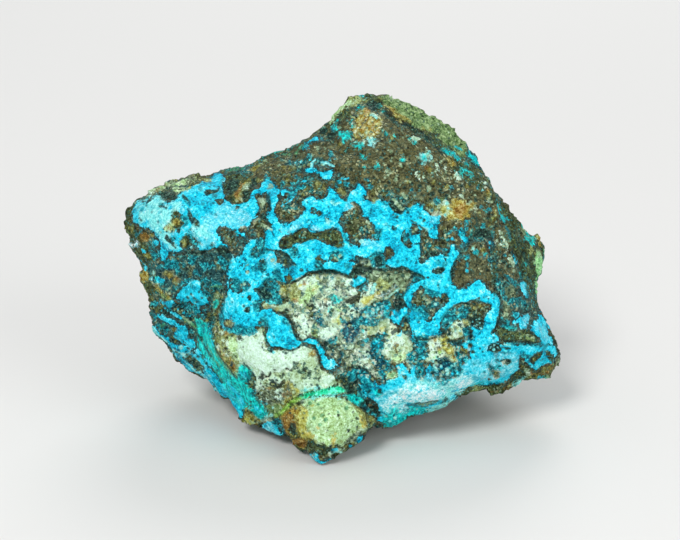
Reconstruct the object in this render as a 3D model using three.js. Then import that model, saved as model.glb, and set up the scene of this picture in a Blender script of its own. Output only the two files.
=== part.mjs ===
// A hand specimen of brochantite: one broken lump of copper ore, grown together as one piece.
// Millimetres, +Z up. The stone rests on the tip of the knob at its front and on a flat facet under its back.
//
// The lump is laid out in its display view: a = right and b = up as they look from the front, at VIEW_DISTANCE and
// looking down by VIEW_TILT, and w = depth towards the viewer. RIM is the ring where the near and the far side meet,
// FRONT and BACK are the corners of the broken facets on the two sides.
// The net of facets is made finer, its edges are worn round, and its faces get the roughness of a broken stone.

import * as THREE from "three";

const WIDTH = 76.0; // overall, along X
const VIEW_DISTANCE = 323.4; // display distance the net is laid out for
const VIEW_TILT = 18; // degrees that the display view looks down
const FLOOR = -25.718; // height of the resting plane in the net's own frame
const LONGEST_EDGE = 3.25; // no edge of the finished mesh starts out longer
const WEAR_PASSES = 2; // rounding of the broken edges
const WEAR = 0.36;
const ROUGHNESS = [
  // wavelength and height of the surface's unevenness
  [13, 0.5],
  [6.5, 0.42],
  [3.4, 0.26],
];
const RIM_SHARE = 0.35; // of that unevenness on the outline ring
const FOOT_CLEAR = 0.35; // unevenness starts this far above the resting plane

const RIM = [
  [4.19, 30.56, -8.0], [6.16, 30.30, -9.0], [7.79, 30.56, -10.0], [9.42, 29.70, -10.0],
  [10.87, 29.36, -10.0], [12.41, 28.25, -10.0], [13.95, 27.65, -9.5], [16.09, 26.54, -9.0],
  [18.40, 25.25, -9.0], [20.03, 23.80, -9.0], [21.83, 22.08, -9.0], [22.43, 20.89, -9.0],
  [23.71, 19.94, -9.0], [24.22, 18.66, -8.5], [24.05, 17.55, -8.0], [25.77, 16.09, -8.0],
  [25.94, 14.64, -8.0], [26.88, 13.35, -8.5], [27.99, 11.90, -9.0], [29.45, 10.61, -10.0],
  [30.22, 8.99, -10.5], [31.76, 7.28, -11.0], [33.64, 6.59, -12.0], [34.67, 5.56, -12.5],
  [35.35, 3.94, -12.5], [35.35, 2.40, -11.5], [34.84, 0.00, -11.0], [34.24, -2.57, -9.5],
  [33.64, -5.05, -7.0], [34.67, -6.68, -4.5], [35.70, -8.65, -2.5], [35.92, -10.27, -1.0],
  [36.89, -11.98, -0.5], [37.41, -13.95, -0.5], [37.92, -15.75, -2.0], [37.41, -17.21, -3.0],
  [36.04, -18.58, -2.5], [34.58, -18.83, -1.5], [33.30, -18.92, -1.0], [31.59, -19.77, -0.5],
  [30.13, -19.60, 0.5], [29.10, -20.03, 1.0], [27.82, -21.31, 0.5], [26.54, -21.31, 1.0],
  [24.91, -20.80, 2.5], [22.86, -21.49, 3.5], [21.23, -21.57, 4.0], [19.69, -22.08, 4.5],
  [18.58, -23.20, 4.5], [16.86, -23.80, 5.0], [15.92, -23.71, 5.5], [14.47, -24.57, 5.5],
  [12.07, -25.08, 6.5], [10.61, -25.94, 7.0], [9.33, -26.96, 7.0], [8.05, -27.02, 8.0],
  [6.59, -26.11, 10.0], [5.22, -27.31, 12.0], [4.54, -28.42, 12.5], [3.68, -29.07, 13.0],
  [2.82, -30.47, 13.5], [1.54, -31.33, 14.0], [0.26, -31.81, 14.5], [-1.28, -32.53, 15.0],
  [-3.25, -33.69, 15.5], [-4.71, -32.61, 14.5], [-5.82, -31.76, 14.0], [-7.28, -31.24, 12.5],
  [-8.30, -30.22, 11.5], [-9.33, -29.10, 10.0], [-10.61, -28.73, 9.0], [-11.90, -28.64, 8.0],
  [-13.27, -28.08, 7.0], [-14.30, -27.31, 6.5], [-16.18, -27.10, 4.5], [-17.21, -26.28, 3.5],
  [-17.89, -24.48, 2.0], [-18.58, -23.03, 0.5], [-19.43, -22.00, -0.5], [-20.63, -22.00, -2.0],
  [-21.74, -20.12, -3.5], [-22.68, -19.09, -4.5], [-24.14, -18.40, -5.0], [-25.42, -17.72, -6.0],
  [-27.39, -16.09, -6.5], [-29.02, -14.81, -7.0], [-29.75, -13.70, -7.0], [-29.96, -12.33, -7.0],
  [-31.07, -11.86, -7.0], [-32.10, -10.27, -7.0], [-32.65, -8.56, -7.0], [-33.08, -7.02, -7.0],
  [-32.82, -5.48, -7.0], [-33.16, -3.85, -7.0], [-33.73, -2.40, -7.5], [-34.38, -1.03, -8.0],
  [-34.24, -0.26, -8.0], [-33.56, 0.77, -7.0], [-34.75, 2.23, -7.0], [-36.04, 3.85, -7.0],
  [-36.24, 5.22, -6.5], [-37.37, 6.76, -6.0], [-37.44, 7.62, -6.0], [-36.93, 9.33, -6.5],
  [-35.95, 10.70, -7.0], [-35.78, 11.59, -8.0], [-33.81, 12.89, -9.5], [-31.84, 13.75, -10.0],
  [-30.39, 14.50, -10.5], [-28.50, 15.66, -10.5], [-26.79, 16.21, -10.5], [-25.00, 16.47, -10.0],
  [-23.20, 16.56, -8.5], [-22.08, 16.06, -4.5], [-20.46, 16.64, -4.5], [-18.66, 17.55, -7.0],
  [-16.86, 18.27, -8.0], [-15.07, 18.70, -8.0], [-13.44, 19.43, -8.0], [-11.73, 20.06, -8.0],
  [-10.10, 20.46, -7.5], [-8.56, 20.97, -7.5], [-7.62, 21.83, -7.0], [-5.22, 22.86, -6.5],
  [-3.85, 23.88, -6.5], [-2.14, 25.42, -6.5], [-1.28, 26.83, -6.5], [0.34, 28.42, -7.0],
  [2.14, 30.05, -7.5],
];

const FRONT = [
  [-34.24, 10.96, 1.5], [-35.27, 9.76, 0.0], [-34.84, 7.88, 3.0], [-33.04, 7.19, 6.5],
  [-31.50, 6.16, 8.0], [-35.44, 5.82, 0.0], [-34.07, 4.11, 1.5], [-32.53, 1.37, 2.0],
  [-30.82, 2.40, 7.0], [-32.01, 12.16, 2.5], [-29.96, 13.01, 3.5], [-27.91, 13.70, 4.5],
  [-25.68, 14.30, 5.0], [-23.45, 15.24, 5.5], [-21.74, 15.24, 2.5], [-19.52, 15.24, 5.0],
  [-29.96, 9.93, 9.5], [-24.82, 11.47, 11.5], [-20.20, 11.98, 12.0], [-27.39, 6.51, 12.0],
  [-23.11, 7.19, 14.0], [-23.97, 3.08, 13.0], [-28.08, 1.37, 9.5], [-30.30, -0.86, 5.5],
  [-32.01, -2.40, 1.5], [-25.68, -1.03, 11.0], [-21.40, -0.86, 14.0], [-31.50, -5.14, 0.0],
  [-29.45, -5.48, 4.0], [-30.82, -8.56, -1.0], [-28.76, -8.90, 2.0], [-30.47, -10.96, -2.0],
  [-26.36, -4.79, 8.5], [-23.63, -6.16, 10.0], [-21.91, -5.14, 12.0], [-22.77, -8.90, 8.5],
  [-25.34, -8.90, 5.5], [-26.71, -11.64, 1.5], [-28.76, -12.67, -2.5], [-24.14, -12.84, 5.0],
  [-26.71, -15.07, -1.5], [-22.60, -13.70, 7.0], [-24.65, -16.44, 0.5], [-21.74, -16.78, 6.0],
  [-22.60, -17.80, 1.5], [-20.20, -19.52, 5.5], [-19.00, -21.57, 4.5], [-17.46, -22.60, 5.5],
  [-16.61, -24.31, 6.0], [-21.57, -10.96, 11.5], [-20.20, -12.84, 14.0], [-19.00, -15.41, 13.5],
  [-17.63, -17.80, 12.0], [-17.12, -13.70, 16.0], [-13.35, -12.84, 17.6], [-13.35, -16.44, 17.2],
  [-15.92, -18.49, 13.5], [-15.07, -21.40, 12.0], [-15.75, -23.97, 8.5], [-9.42, -15.41, 18.4],
  [-5.99, -14.04, 18.8], [-3.08, -16.78, 17.8], [-0.86, -18.83, 17.2], [-5.48, -18.83, 18.4],
  [-11.64, -19.69, 16.6], [-12.33, -22.60, 15.0], [-14.04, -25.34, 9.5], [-11.64, -25.00, 12.0],
  [-8.22, -20.89, 17.2], [-12.33, -27.05, 9.5], [-10.44, -26.54, 11.5], [-9.24, -23.63, 14.8],
  [-6.85, -22.60, 16.0], [-3.77, -21.57, 16.6], [-0.68, -20.89, 16.4], [1.71, -20.72, 14.8],
  [-8.73, -25.68, 16.5], [-7.36, -24.14, 18.6], [-4.79, -23.28, 20.2], [-1.71, -22.60, 20.8],
  [1.20, -22.94, 20.0], [3.60, -24.14, 17.6], [4.96, -25.68, 14.6], [-7.88, -27.73, 16.0],
  [-5.48, -26.36, 21.2], [-2.40, -25.68, 22.6], [0.86, -26.02, 21.4], [3.08, -27.39, 17.6],
  [-6.33, -29.62, 16.2], [-3.77, -29.10, 20.6], [-0.68, -28.76, 20.6], [1.71, -29.28, 16.6],
  [-4.11, -31.50, 16.6], [-1.71, -31.16, 17.6], [1.37, -18.49, 15.5], [3.08, -20.89, 13.6],
  [4.79, -23.11, 12.6], [5.99, -24.65, 11.2], [5.48, -20.20, 16.0], [7.36, -22.26, 15.0],
  [7.53, -24.65, 12.0], [9.59, -20.89, 16.6], [10.27, -23.28, 13.6], [8.90, -25.34, 10.0],
  [13.35, -20.20, 16.4], [13.70, -22.26, 13.6], [12.33, -23.97, 9.5], [17.12, -19.86, 15.8],
  [17.29, -22.08, 10.8], [20.89, -18.49, 15.2], [21.23, -20.20, 10.6], [25.17, -17.46, 13.4],
  [24.82, -19.52, 8.6], [27.91, -17.46, 10.6], [27.91, -19.69, 5.2], [30.13, -15.07, 11.2],
  [30.30, -17.29, 6.8], [32.19, -16.44, 6.8], [32.70, -18.15, 3.0], [34.92, -17.29, 3.2],
  [36.12, -16.09, 2.8], [35.10, -14.21, 6.8], [36.47, -13.35, 3.0], [33.21, -14.04, 9.0],
  [30.99, -13.70, 11.2], [28.42, -13.18, 12.6], [27.39, -11.73, 15.0], [30.64, -11.98, 13.6],
  [33.73, -12.07, 11.0], [27.73, -12.67, 12.6], [30.82, -12.84, 11.2], [34.24, -12.93, 8.6],
  [35.44, -11.64, 4.2], [35.27, -9.93, 4.0], [34.41, -7.88, 4.4], [32.70, -8.90, 9.0],
  [30.13, -8.22, 12.6], [27.56, -8.22, 15.0], [27.05, -5.14, 15.0], [29.96, -5.14, 12.0],
  [32.53, -4.79, 5.5], [33.38, -6.51, 1.5], [26.36, -0.34, 14.4], [29.10, -1.03, 11.4],
  [31.67, -2.05, 5.0], [33.04, -3.42, -1.0], [30.99, 0.34, 6.0], [29.45, 3.42, 7.2],
  [28.59, 6.51, 6.4], [27.73, 9.24, 5.6], [26.88, 11.98, 4.4], [25.68, 14.21, 2.6],
  [24.48, 15.75, -1.0], [32.01, 3.42, -0.5], [33.56, 1.37, -5.0], [30.99, 6.33, -2.0],
  [29.62, 8.22, -4.0], [28.42, 10.61, -3.5], [32.53, -0.34, -0.5], [33.73, 4.28, -6.0],
  [23.63, 7.02, 14.2], [20.72, 1.88, 16.4], [19.52, -1.03, 16.9], [21.57, -3.25, 16.4],
  [24.82, -2.91, 15.5], [25.85, 3.94, 13.4], [23.11, 0.68, 16.0], [15.41, -2.57, 17.4],
  [17.12, -8.22, 17.1], [21.91, -7.19, 16.2], [23.63, -13.01, 15.5], [19.86, -13.35, 16.0],
  [15.41, -11.98, 16.6], [11.98, -13.01, 17.2], [25.68, -13.70, 14.2], [-6.85, -3.42, 17.4],
  [-1.71, -2.57, 17.2], [3.77, -3.42, 17.1], [9.42, -1.88, 17.6], [-3.77, -8.56, 17.4],
  [1.71, -8.90, 16.9], [6.85, -8.90, 16.8], [9.76, -5.14, 17.4], [1.37, -14.04, 16.4],
  [5.82, -15.07, 16.2], [9.59, -14.04, 17.4], [-2.57, -12.84, 17.0], [7.70, -18.15, 16.6],
  [-12.33, 1.37, 17.6], [-6.85, 2.23, 18.6], [-1.71, 1.88, 18.7], [3.77, 2.40, 18.6],
  [9.42, 2.57, 18.5], [13.87, 1.03, 18.1], [-17.46, 1.37, 16.0], [-17.46, -5.14, 16.4],
  [-13.35, -5.14, 17.2], [-11.98, -9.42, 18.0], [-16.78, 7.19, 15.6], [-11.98, 7.70, 16.8],
  [-6.85, 8.90, 16.6], [-1.71, 9.24, 16.6], [3.42, 9.24, 16.6], [8.56, 7.53, 17.2],
  [13.70, 8.39, 16.4], [18.15, 4.79, 16.4], [-17.80, 14.04, 9.5], [-15.07, 14.38, 10.6],
  [-10.27, 16.09, 9.6], [-13.35, 17.46, 4.5], [-17.12, 16.61, 2.5], [-9.76, 19.00, 2.0],
  [-6.85, 18.49, 7.4], [-4.79, 20.54, 7.6], [-6.51, 21.40, 2.5], [-3.08, 21.57, 6.0],
  [-1.54, 21.91, 2.0], [-3.08, 23.45, -3.0], [-0.86, 24.82, -3.5], [0.00, 18.83, 9.6],
  [-11.98, 12.67, 13.6], [-6.85, 13.35, 14.0], [-1.37, 13.70, 14.4], [4.28, 14.04, 14.0],
  [0.34, 23.45, 3.0], [0.51, 26.19, -3.0], [2.05, 27.73, -1.5], [4.11, 28.93, -2.5],
  [1.71, 25.34, 2.5], [3.77, 26.54, 3.0], [6.33, 28.42, 0.0], [4.45, 23.28, 7.6],
  [7.70, 27.05, 2.6], [7.88, 24.31, 6.6], [10.79, 24.40, 5.0], [10.96, 22.26, 8.0],
  [14.55, 22.77, 4.6], [17.98, 19.69, 5.0], [20.54, 16.78, 5.8], [23.45, 14.21, 4.6],
  [8.90, 27.56, -3.5], [10.27, 26.02, -1.5], [13.01, 24.65, -2.0], [12.84, 26.71, -6.5],
  [15.75, 23.80, -2.6], [16.61, 25.17, -7.0], [18.66, 21.06, -2.6], [19.17, 22.77, -7.5],
  [21.06, 19.17, -3.4], [22.43, 17.63, -3.4], [7.70, 28.93, -5.0], [4.79, 20.20, 10.4],
  [9.93, 18.83, 11.0], [15.07, 18.32, 9.6], [8.56, 14.72, 13.4], [13.70, 13.70, 13.4],
  [18.83, 14.04, 11.2], [20.89, 10.96, 13.0], [24.31, 11.13, 8.4], [17.12, 9.59, 15.2],
  [25.85, 7.53, 9.6], [24.14, 8.90, 11.4],
];

const BACK = [
  [-24.65, -14.72, -16.0], [-26.54, -11.13, -17.0], [-29.96, -7.70, -14.0], [-28.76, -3.42, -18.0],
  [-30.82, 1.37, -15.5], [-29.96, 5.99, -16.0], [-33.21, 8.90, -13.0], [-30.82, 11.30, -15.0],
  [-25.68, 13.70, -16.0], [-24.31, 8.22, -21.0], [-21.91, 1.71, -22.5], [-23.11, -5.99, -21.5],
  [-17.12, 14.55, -15.0], [-16.26, 7.70, -23.0], [-14.55, -0.86, -26.0], [-17.12, -9.42, -24.0],
  [-10.27, -12.84, -27.0], [-9.42, 16.78, -15.0], [-6.85, 11.13, -23.5], [-5.99, 1.71, -28.0],
  [-5.14, -6.85, -29.0], [5.14, -9.42, -31.0], [3.42, 0.00, -31.5], [15.41, -7.70, -31.0],
  [13.70, 1.71, -31.0], [1.71, 10.27, -26.5], [10.27, 12.84, -27.0], [22.26, 0.00, -27.5],
  [22.26, -9.42, -26.0], [-3.77, 20.20, -15.0], [0.86, 23.11, -15.5], [4.79, 27.05, -15.0],
  [9.42, 25.34, -17.0], [5.99, 18.83, -22.0], [14.55, 21.40, -18.5], [18.83, 17.98, -19.0],
  [17.12, 11.13, -25.5], [22.94, 12.84, -19.0], [25.68, 6.85, -21.5], [28.25, 1.37, -21.0],
  [31.67, 2.57, -17.5], [28.76, -5.14, -20.0], [31.67, -3.42, -15.0], [27.39, -12.84, -18.0],
  [32.53, -10.27, -12.5], [33.38, -15.07, -9.5], [29.10, -16.78, -12.0], [30.82, 5.14, -17.5],
  [27.39, 10.27, -16.0], [0.86, 27.05, -11.0], [-3.42, -29.74, 9.0], [-6.16, -27.40, 6.0],
  [-0.34, -27.82, 6.0], [-3.77, -23.12, -3.0], [-8.56, -23.51, -2.0], [2.05, -22.89, -2.0],
  [-11.98, -20.57, -8.0], [-15.75, -20.54, -7.0], [-6.85, -20.66, -11.0], [0.00, -21.24, -10.0],
  [6.51, -20.68, -5.0], [4.79, -19.88, -12.0], [11.64, -19.68, -6.0], [16.78, -19.27, -6.0],
  [-15.07, -20.63, -16.5], [-11.13, -20.26, -17.5], [-6.85, -20.44, -17.0], [0.86, -20.26, -17.5],
  [9.42, -20.63, -16.5], [13.70, -20.26, -17.5], [-16.61, -18.98, -21.0], [-12.33, -18.45, -22.5],
  [-6.85, -18.27, -23.0], [0.00, -18.45, -22.5], [7.70, -18.09, -23.5], [14.55, -18.45, -22.5],
  [17.12, -19.53, -19.5], [-19.52, -17.77, -15.0], [21.57, -18.39, -10.0], [26.88, -18.58, -7.0],
  [20.89, -16.53, -19.0], [-19.17, -16.02, -21.0], [-13.35, -13.90, -26.0], [-6.85, -12.81, -27.5],
  [0.86, -12.62, -27.5], [10.27, -12.86, -28.5], [17.12, -13.32, -26.0], [-3.42, -7.01, -30.5],
  [7.70, -6.85, -31.0], [-15.41, -8.94, -24.5], [17.12, -7.32, -29.5], [-23.11, -16.96, -10.0],
];

// --- the net -------------------------------------------------------------------------------------------------------

function inRing(x, y, ring) {
  let inside = false;
  for (let i = 0, j = ring.length - 1; i < ring.length; j = i++) {
    const [xi, yi] = ring[i], [xj, yj] = ring[j];
    if (yi > y !== yj > y && x < ((xj - xi) * (y - yi)) / (yj - yi) + xi) inside = !inside;
  }
  return inside;
}

// Delaunay triangles of the points in the (a, b) plane that lie inside the ring, anticlockwise.
function triangulate(points, ring) {
  const n = points.length;
  const all = points.map((p) => [p[0], p[1]]).concat([[-900, -700], [900, -700], [0, 1100]]);
  const circle = (i, j, k) => {
    const [ax, ay] = all[i], [bx, by] = all[j], [cx, cy] = all[k];
    const d = 2 * (ax * (by - cy) + bx * (cy - ay) + cx * (ay - by));
    const a2 = ax * ax + ay * ay, b2 = bx * bx + by * by, c2 = cx * cx + cy * cy;
    const x = (a2 * (by - cy) + b2 * (cy - ay) + c2 * (ay - by)) / d;
    const y = (a2 * (cx - bx) + b2 * (ax - cx) + c2 * (bx - ax)) / d;
    return { t: [i, j, k], x, y, r2: (ax - x) ** 2 + (ay - y) ** 2 };
  };
  let made = [circle(n, n + 1, n + 2)];
  for (let p = 0; p < n; p++) {
    const [x, y] = all[p];
    const edges = new Map();
    made = made.filter((c) => {
      if ((x - c.x) ** 2 + (y - c.y) ** 2 >= c.r2 - 1e-9) return true;
      for (let s = 0; s < 3; s++) {
        const i = c.t[s], j = c.t[(s + 1) % 3];
        if (!edges.delete(j + "," + i)) edges.set(i + "," + j, [i, j]);
      }
      return false;
    });
    for (const [i, j] of edges.values()) made.push(circle(i, j, p));
  }
  return made
    .filter((c) => c.t.every((i) => i < n))
    .filter((c) => inRing(
      (all[c.t[0]][0] + all[c.t[1]][0] + all[c.t[2]][0]) / 3,
      (all[c.t[0]][1] + all[c.t[1]][1] + all[c.t[2]][1]) / 3, ring))
    .map((c) => c.t);
}

// From the display view to the stone's own axes.
function placed([a, b, w]) {
  const k = 1 - w / VIEW_DISTANCE;
  const tilt = THREE.MathUtils.degToRad(VIEW_TILT);
  const up = b * k;
  return new THREE.Vector3(a * k, -w * Math.cos(tilt) + up * Math.sin(tilt), up * Math.cos(tilt) + w * Math.sin(tilt) - FLOOR);
}

// The far side is unrolled around the middle of the stone, so that its sides and underside get well-shaped triangles too.
const MIDDLE = new THREE.Vector3(0, 2, 23);
const back = new THREE.Vector3(0, Math.cos(THREE.MathUtils.degToRad(VIEW_TILT)), -Math.sin(THREE.MathUtils.degToRad(VIEW_TILT)));
const above = new THREE.Vector3(0, -back.z, back.y);
function unrolled(point) {
  const d = placed(point).sub(MIDDLE).normalize();
  const reach = 60 / (1 + d.dot(back));
  return [d.x * reach, d.dot(above) * reach];
}

const rimCount = RIM.length;
const near = triangulate([...RIM, ...FRONT], RIM);
const far = triangulate([...RIM, ...BACK].map(unrolled), RIM.map(unrolled))
  .map((t) => t.map((i) => (i < rimCount ? i : i + FRONT.length)))
  .map(([i, j, k]) => [i, k, j]);
let triangles = [...near, ...far];
const vertices = [...RIM, ...FRONT, ...BACK].map(placed);
const onRim = vertices.map((_, i) => i < rimCount);

// --- finer ---------------------------------------------------------------------------------------------------------

// Splits every edge longer than the limit at its middle.
function split(limit) {
  const middles = new Map();
  const rimEdges = new Set();
  for (const t of triangles)
    for (let s = 0; s < 3; s++) {
      const i = t[s], j = t[(s + 1) % 3];
      const key = Math.min(i, j) + "," + Math.max(i, j);
      if (!middles.has(key) && vertices[i].distanceTo(vertices[j]) > limit) {
        middles.set(key, vertices.length);
        vertices.push(vertices[i].clone().add(vertices[j]).multiplyScalar(0.5));
        onRim.push(ring.has(key));
        if (ring.has(key)) rimEdges.add([i, j, vertices.length - 1]);
      }
    }
  for (const [i, j, m] of rimEdges) {
    ring.delete(Math.min(i, j) + "," + Math.max(i, j));
    ring.add(Math.min(i, m) + "," + Math.max(i, m));
    ring.add(Math.min(j, m) + "," + Math.max(j, m));
  }
  const mid = (i, j) => middles.get(Math.min(i, j) + "," + Math.max(i, j));
  const next = [];
  for (const t of triangles) {
    const m = [mid(t[0], t[1]), mid(t[1], t[2]), mid(t[2], t[0])];
    const cut = m.filter((x) => x !== undefined).length;
    if (cut === 0) next.push(t);
    else if (cut === 3) next.push([t[0], m[0], m[2]], [m[0], t[1], m[1]], [m[2], m[1], t[2]], [m[0], m[1], m[2]]);
    else if (cut === 1) {
      const s = m.findIndex((x) => x !== undefined);
      const a = t[s], b = t[(s + 1) % 3], c = t[(s + 2) % 3];
      next.push([a, m[s], c], [m[s], b, c]);
    } else {
      const s = m.findIndex((x) => x === undefined); // the edge a-b that stays whole
      const a = t[s], b = t[(s + 1) % 3], c = t[(s + 2) % 3], q = m[(s + 1) % 3], r = m[(s + 2) % 3];
      if (vertices[a].distanceTo(vertices[q]) < vertices[b].distanceTo(vertices[r])) next.push([a, b, q], [a, q, r], [r, q, c]);
      else next.push([a, b, r], [b, q, r], [r, q, c]);
    }
  }
  triangles = next;
  return middles.size;
}

const ring = new Set(RIM.map((_, i) => Math.min(i, (i + 1) % rimCount) + "," + Math.max(i, (i + 1) % rimCount)));
while (split(LONGEST_EDGE)) {}

// --- worn edges ----------------------------------------------------------------------------------------------------

const neighbours = vertices.map(() => new Set());
for (const [i, j, k] of triangles) {
  neighbours[i].add(j).add(k);
  neighbours[j].add(i).add(k);
  neighbours[k].add(i).add(j);
}
const sight = new THREE.Vector3(0, -Math.cos(THREE.MathUtils.degToRad(VIEW_TILT)), Math.sin(THREE.MathUtils.degToRad(VIEW_TILT)));
const eye = sight.clone().multiplyScalar(VIEW_DISTANCE).add(new THREE.Vector3(0, 0, -FLOOR));
for (let pass = 0; pass < WEAR_PASSES; pass++) {
  const moved = vertices.map((v, i) => {
    const mean = new THREE.Vector3();
    for (const n of neighbours[i]) mean.add(vertices[n]);
    mean.divideScalar(neighbours[i].size).sub(v).multiplyScalar(WEAR);
    if (onRim[i]) {
      // a point of the ring only slides along the line of sight, so the outline keeps its shape
      const along = v.clone().sub(eye).normalize();
      mean.copy(along.multiplyScalar(mean.dot(along)));
    }
    return v.clone().add(mean);
  });
  moved.forEach((v, i) => vertices[i].copy(v));
}

// --- roughness -----------------------------------------------------------------------------------------------------

function lattice(x, y, z) {
  let h = (Math.imul(x, 374761393) + Math.imul(y, 668265263) + Math.imul(z, 2147483647 ^ 1274126177)) | 0;
  h = Math.imul(h ^ (h >>> 13), 1274126177);
  h ^= h >>> 16;
  return ((h >>> 0) / 4294967295) * 2 - 1;
}
function noise(x, y, z) {
  const xi = Math.floor(x), yi = Math.floor(y), zi = Math.floor(z);
  const f = [x - xi, y - yi, z - zi].map((t) => t * t * t * (t * (t * 6 - 15) + 10));
  let sum = 0;
  for (let c = 0; c < 8; c++) {
    const dx = c & 1, dy = (c >> 1) & 1, dz = (c >> 2) & 1;
    sum += lattice(xi + dx, yi + dy, zi + dz) * (dx ? f[0] : 1 - f[0]) * (dy ? f[1] : 1 - f[1]) * (dz ? f[2] : 1 - f[2]);
  }
  return sum;
}

const normals = vertices.map(() => new THREE.Vector3());
for (const [i, j, k] of triangles) {
  const n = vertices[j].clone().sub(vertices[i]).cross(vertices[k].clone().sub(vertices[i]));
  normals[i].add(n);
  normals[j].add(n);
  normals[k].add(n);
}
normals.forEach((n) => n.normalize());
vertices.forEach((v, i) => {
  let height = 0;
  ROUGHNESS.forEach(([length, size], octave) => {
    height += size * noise(v.x / length + 7.3 * octave, v.y / length - 3.1 * octave, v.z / length + 5.7 * octave);
  });
  if (onRim[i]) height *= RIM_SHARE;
  height *= THREE.MathUtils.smoothstep(v.z, FOOT_CLEAR, FOOT_CLEAR + 1.6);
  v.addScaledVector(normals[i], height);
  if (v.z < FOOT_CLEAR) v.z = 0; // the worn foot is flat where it stands
});

// --- the solid -----------------------------------------------------------------------------------------------------

const box = new THREE.Box3().setFromPoints(vertices);
const middle = box.getCenter(new THREE.Vector3());
const scale = WIDTH / (box.max.x - box.min.x);
const geometry = new THREE.BufferGeometry();
geometry.setAttribute("position", new THREE.BufferAttribute(new Float32Array(vertices.flatMap((v) => [v.x, v.y, v.z])), 3));
geometry.setIndex(triangles.flat());
geometry.translate(-middle.x, -middle.y, -box.min.z);
geometry.scale(scale, scale, scale);
geometry.computeVertexNormals();

const stone = new THREE.Mesh(
  geometry,
  new THREE.MeshStandardMaterial({ color: 0x2f8f9c, roughness: 0.85, metalness: 0, flatShading: true }),
);
stone.name = "brochantite_specimen";

const specimen = new THREE.Group();
specimen.add(stone);

export default specimen;
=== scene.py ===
import math

import bpy
import numpy as np
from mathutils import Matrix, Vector


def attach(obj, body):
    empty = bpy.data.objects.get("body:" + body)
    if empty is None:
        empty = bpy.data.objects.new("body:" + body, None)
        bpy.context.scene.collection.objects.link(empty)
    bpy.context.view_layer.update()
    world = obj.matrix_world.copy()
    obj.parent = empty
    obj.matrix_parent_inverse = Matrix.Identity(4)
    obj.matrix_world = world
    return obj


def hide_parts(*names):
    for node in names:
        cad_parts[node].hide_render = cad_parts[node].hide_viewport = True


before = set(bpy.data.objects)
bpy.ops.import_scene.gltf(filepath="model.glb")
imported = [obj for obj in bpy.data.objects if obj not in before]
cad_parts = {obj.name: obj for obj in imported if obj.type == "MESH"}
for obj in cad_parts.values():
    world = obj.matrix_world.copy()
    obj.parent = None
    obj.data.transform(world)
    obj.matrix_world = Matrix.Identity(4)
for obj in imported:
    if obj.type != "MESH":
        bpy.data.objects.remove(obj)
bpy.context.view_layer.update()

# The visual model of a brochantite specimen: one lump of brown and green matrix under bright blue and cream crusts.
# Lengths are in millimetres until the mesh is made, in the row's frame.

NODE = "brochantite_specimen"
MM = 0.001

# display view: the camera looks down by TILT at TARGET from DISTANCE
TILT = math.radians(18.0)
TARGET = np.array([-0.04477, -0.95783, 25.6379])
DISTANCE = 322.392
LENS, SENSOR = 100.0, 36.0
FOCAL = LENS / SENSOR * 680.0
ACROSS = np.array([1.0, 0.0, 0.0])
UPWARD = np.array([0.0, math.sin(TILT), math.cos(TILT)])
BACK = np.array([0.0, -math.cos(TILT), math.sin(TILT)])
EYE = TARGET + BACK * DISTANCE

# triangle sizes
FRONT_EDGE = 0.42  # where the display view sees it
FRONT_NEAR = 0.29  # along the drawn edges
FRONT_FINE = 0.245  # on the smallest marks
REAR_EDGE = 0.66


def picture_place(p):
    """Where points fall in a 680 x 540 display frame."""
    q = p - TARGET
    k = (DISTANCE - q @ BACK) / FOCAL
    return 340 + (q @ ACROSS) / k, 270 - (q @ UPWARD) / k


def smooth01(v, low, high):
    t = np.clip((v - low) / (high - low), 0, 1)
    return t * t * (3 - 2 * t)


# --- noise -----------------------------------------------------------------------------------------------------------


def scramble(i, j, k, seed):
    """A repeatable number from 0 to 1 for each lattice point."""
    n = (i * 374761393 + j * 668265263 + k * 2147483647 + seed * 1274126177) & 0xFFFFFFFF
    n = ((n ^ (n >> 13)) * 1274126177) & 0xFFFFFFFF
    n = ((n ^ (n >> 16)) * 2246822519) & 0xFFFFFFFF
    return ((n ^ (n >> 15)) & 0xFFFFFF) / float(0xFFFFFF)


def value_noise(p, size, seed=0):
    """Smooth noise from -1 to 1 with features about size across."""
    q = p / size + 100.0
    base = np.floor(q).astype(np.int64)
    f = q - base
    f = f * f * f * (f * (f * 6 - 15) + 10)
    out = 0
    for a in (0, 1):
        for b in (0, 1):
            for c in (0, 1):
                weight = (
                    (f[:, 0] if a else 1 - f[:, 0]) * (f[:, 1] if b else 1 - f[:, 1]) * (f[:, 2] if c else 1 - f[:, 2])
                )
                out = out + weight * scramble(base[:, 0] + a, base[:, 1] + b, base[:, 2] + c, seed)
    return out * 2 - 1


def layered_noise(p, size, octaves=3, seed=0):
    out, gain, total = 0, 1.0, 0.0
    for n in range(octaves):
        out = out + gain * value_noise(p, size / 2**n, seed + 17 * n)
        total += gain
        gain *= 0.55
    return out / total * 1.5


def cells(p, size, seed=0):
    """For each point: distance to the nearest and next scattered seed, in cell sizes, and that cell's own numbers."""
    q = p / size + 200.0
    base = np.floor(q).astype(np.int64)
    first = np.full(len(p), 9.0)
    second = np.full(len(p), 9.0)
    tag = np.zeros((len(p), 3))
    offset = np.zeros((len(p), 3))
    for a in (-1, 0, 1):
        for b in (-1, 0, 1):
            for c in (-1, 0, 1):
                i, j, k = base[:, 0] + a, base[:, 1] + b, base[:, 2] + c
                r = np.stack([scramble(i, j, k, seed + s) for s in (1, 2, 3)], 1)
                spot = np.stack([i, j, k], 1) + r
                d = q - spot
                dist = np.sqrt((d * d).sum(1))
                nearer = dist < first
                second = np.where(nearer, first, np.minimum(second, dist))
                first = np.where(nearer, dist, first)
                tag[nearer] = r[nearer]
                offset[nearer] = d[nearer]
    return first, second, tag, offset


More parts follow.
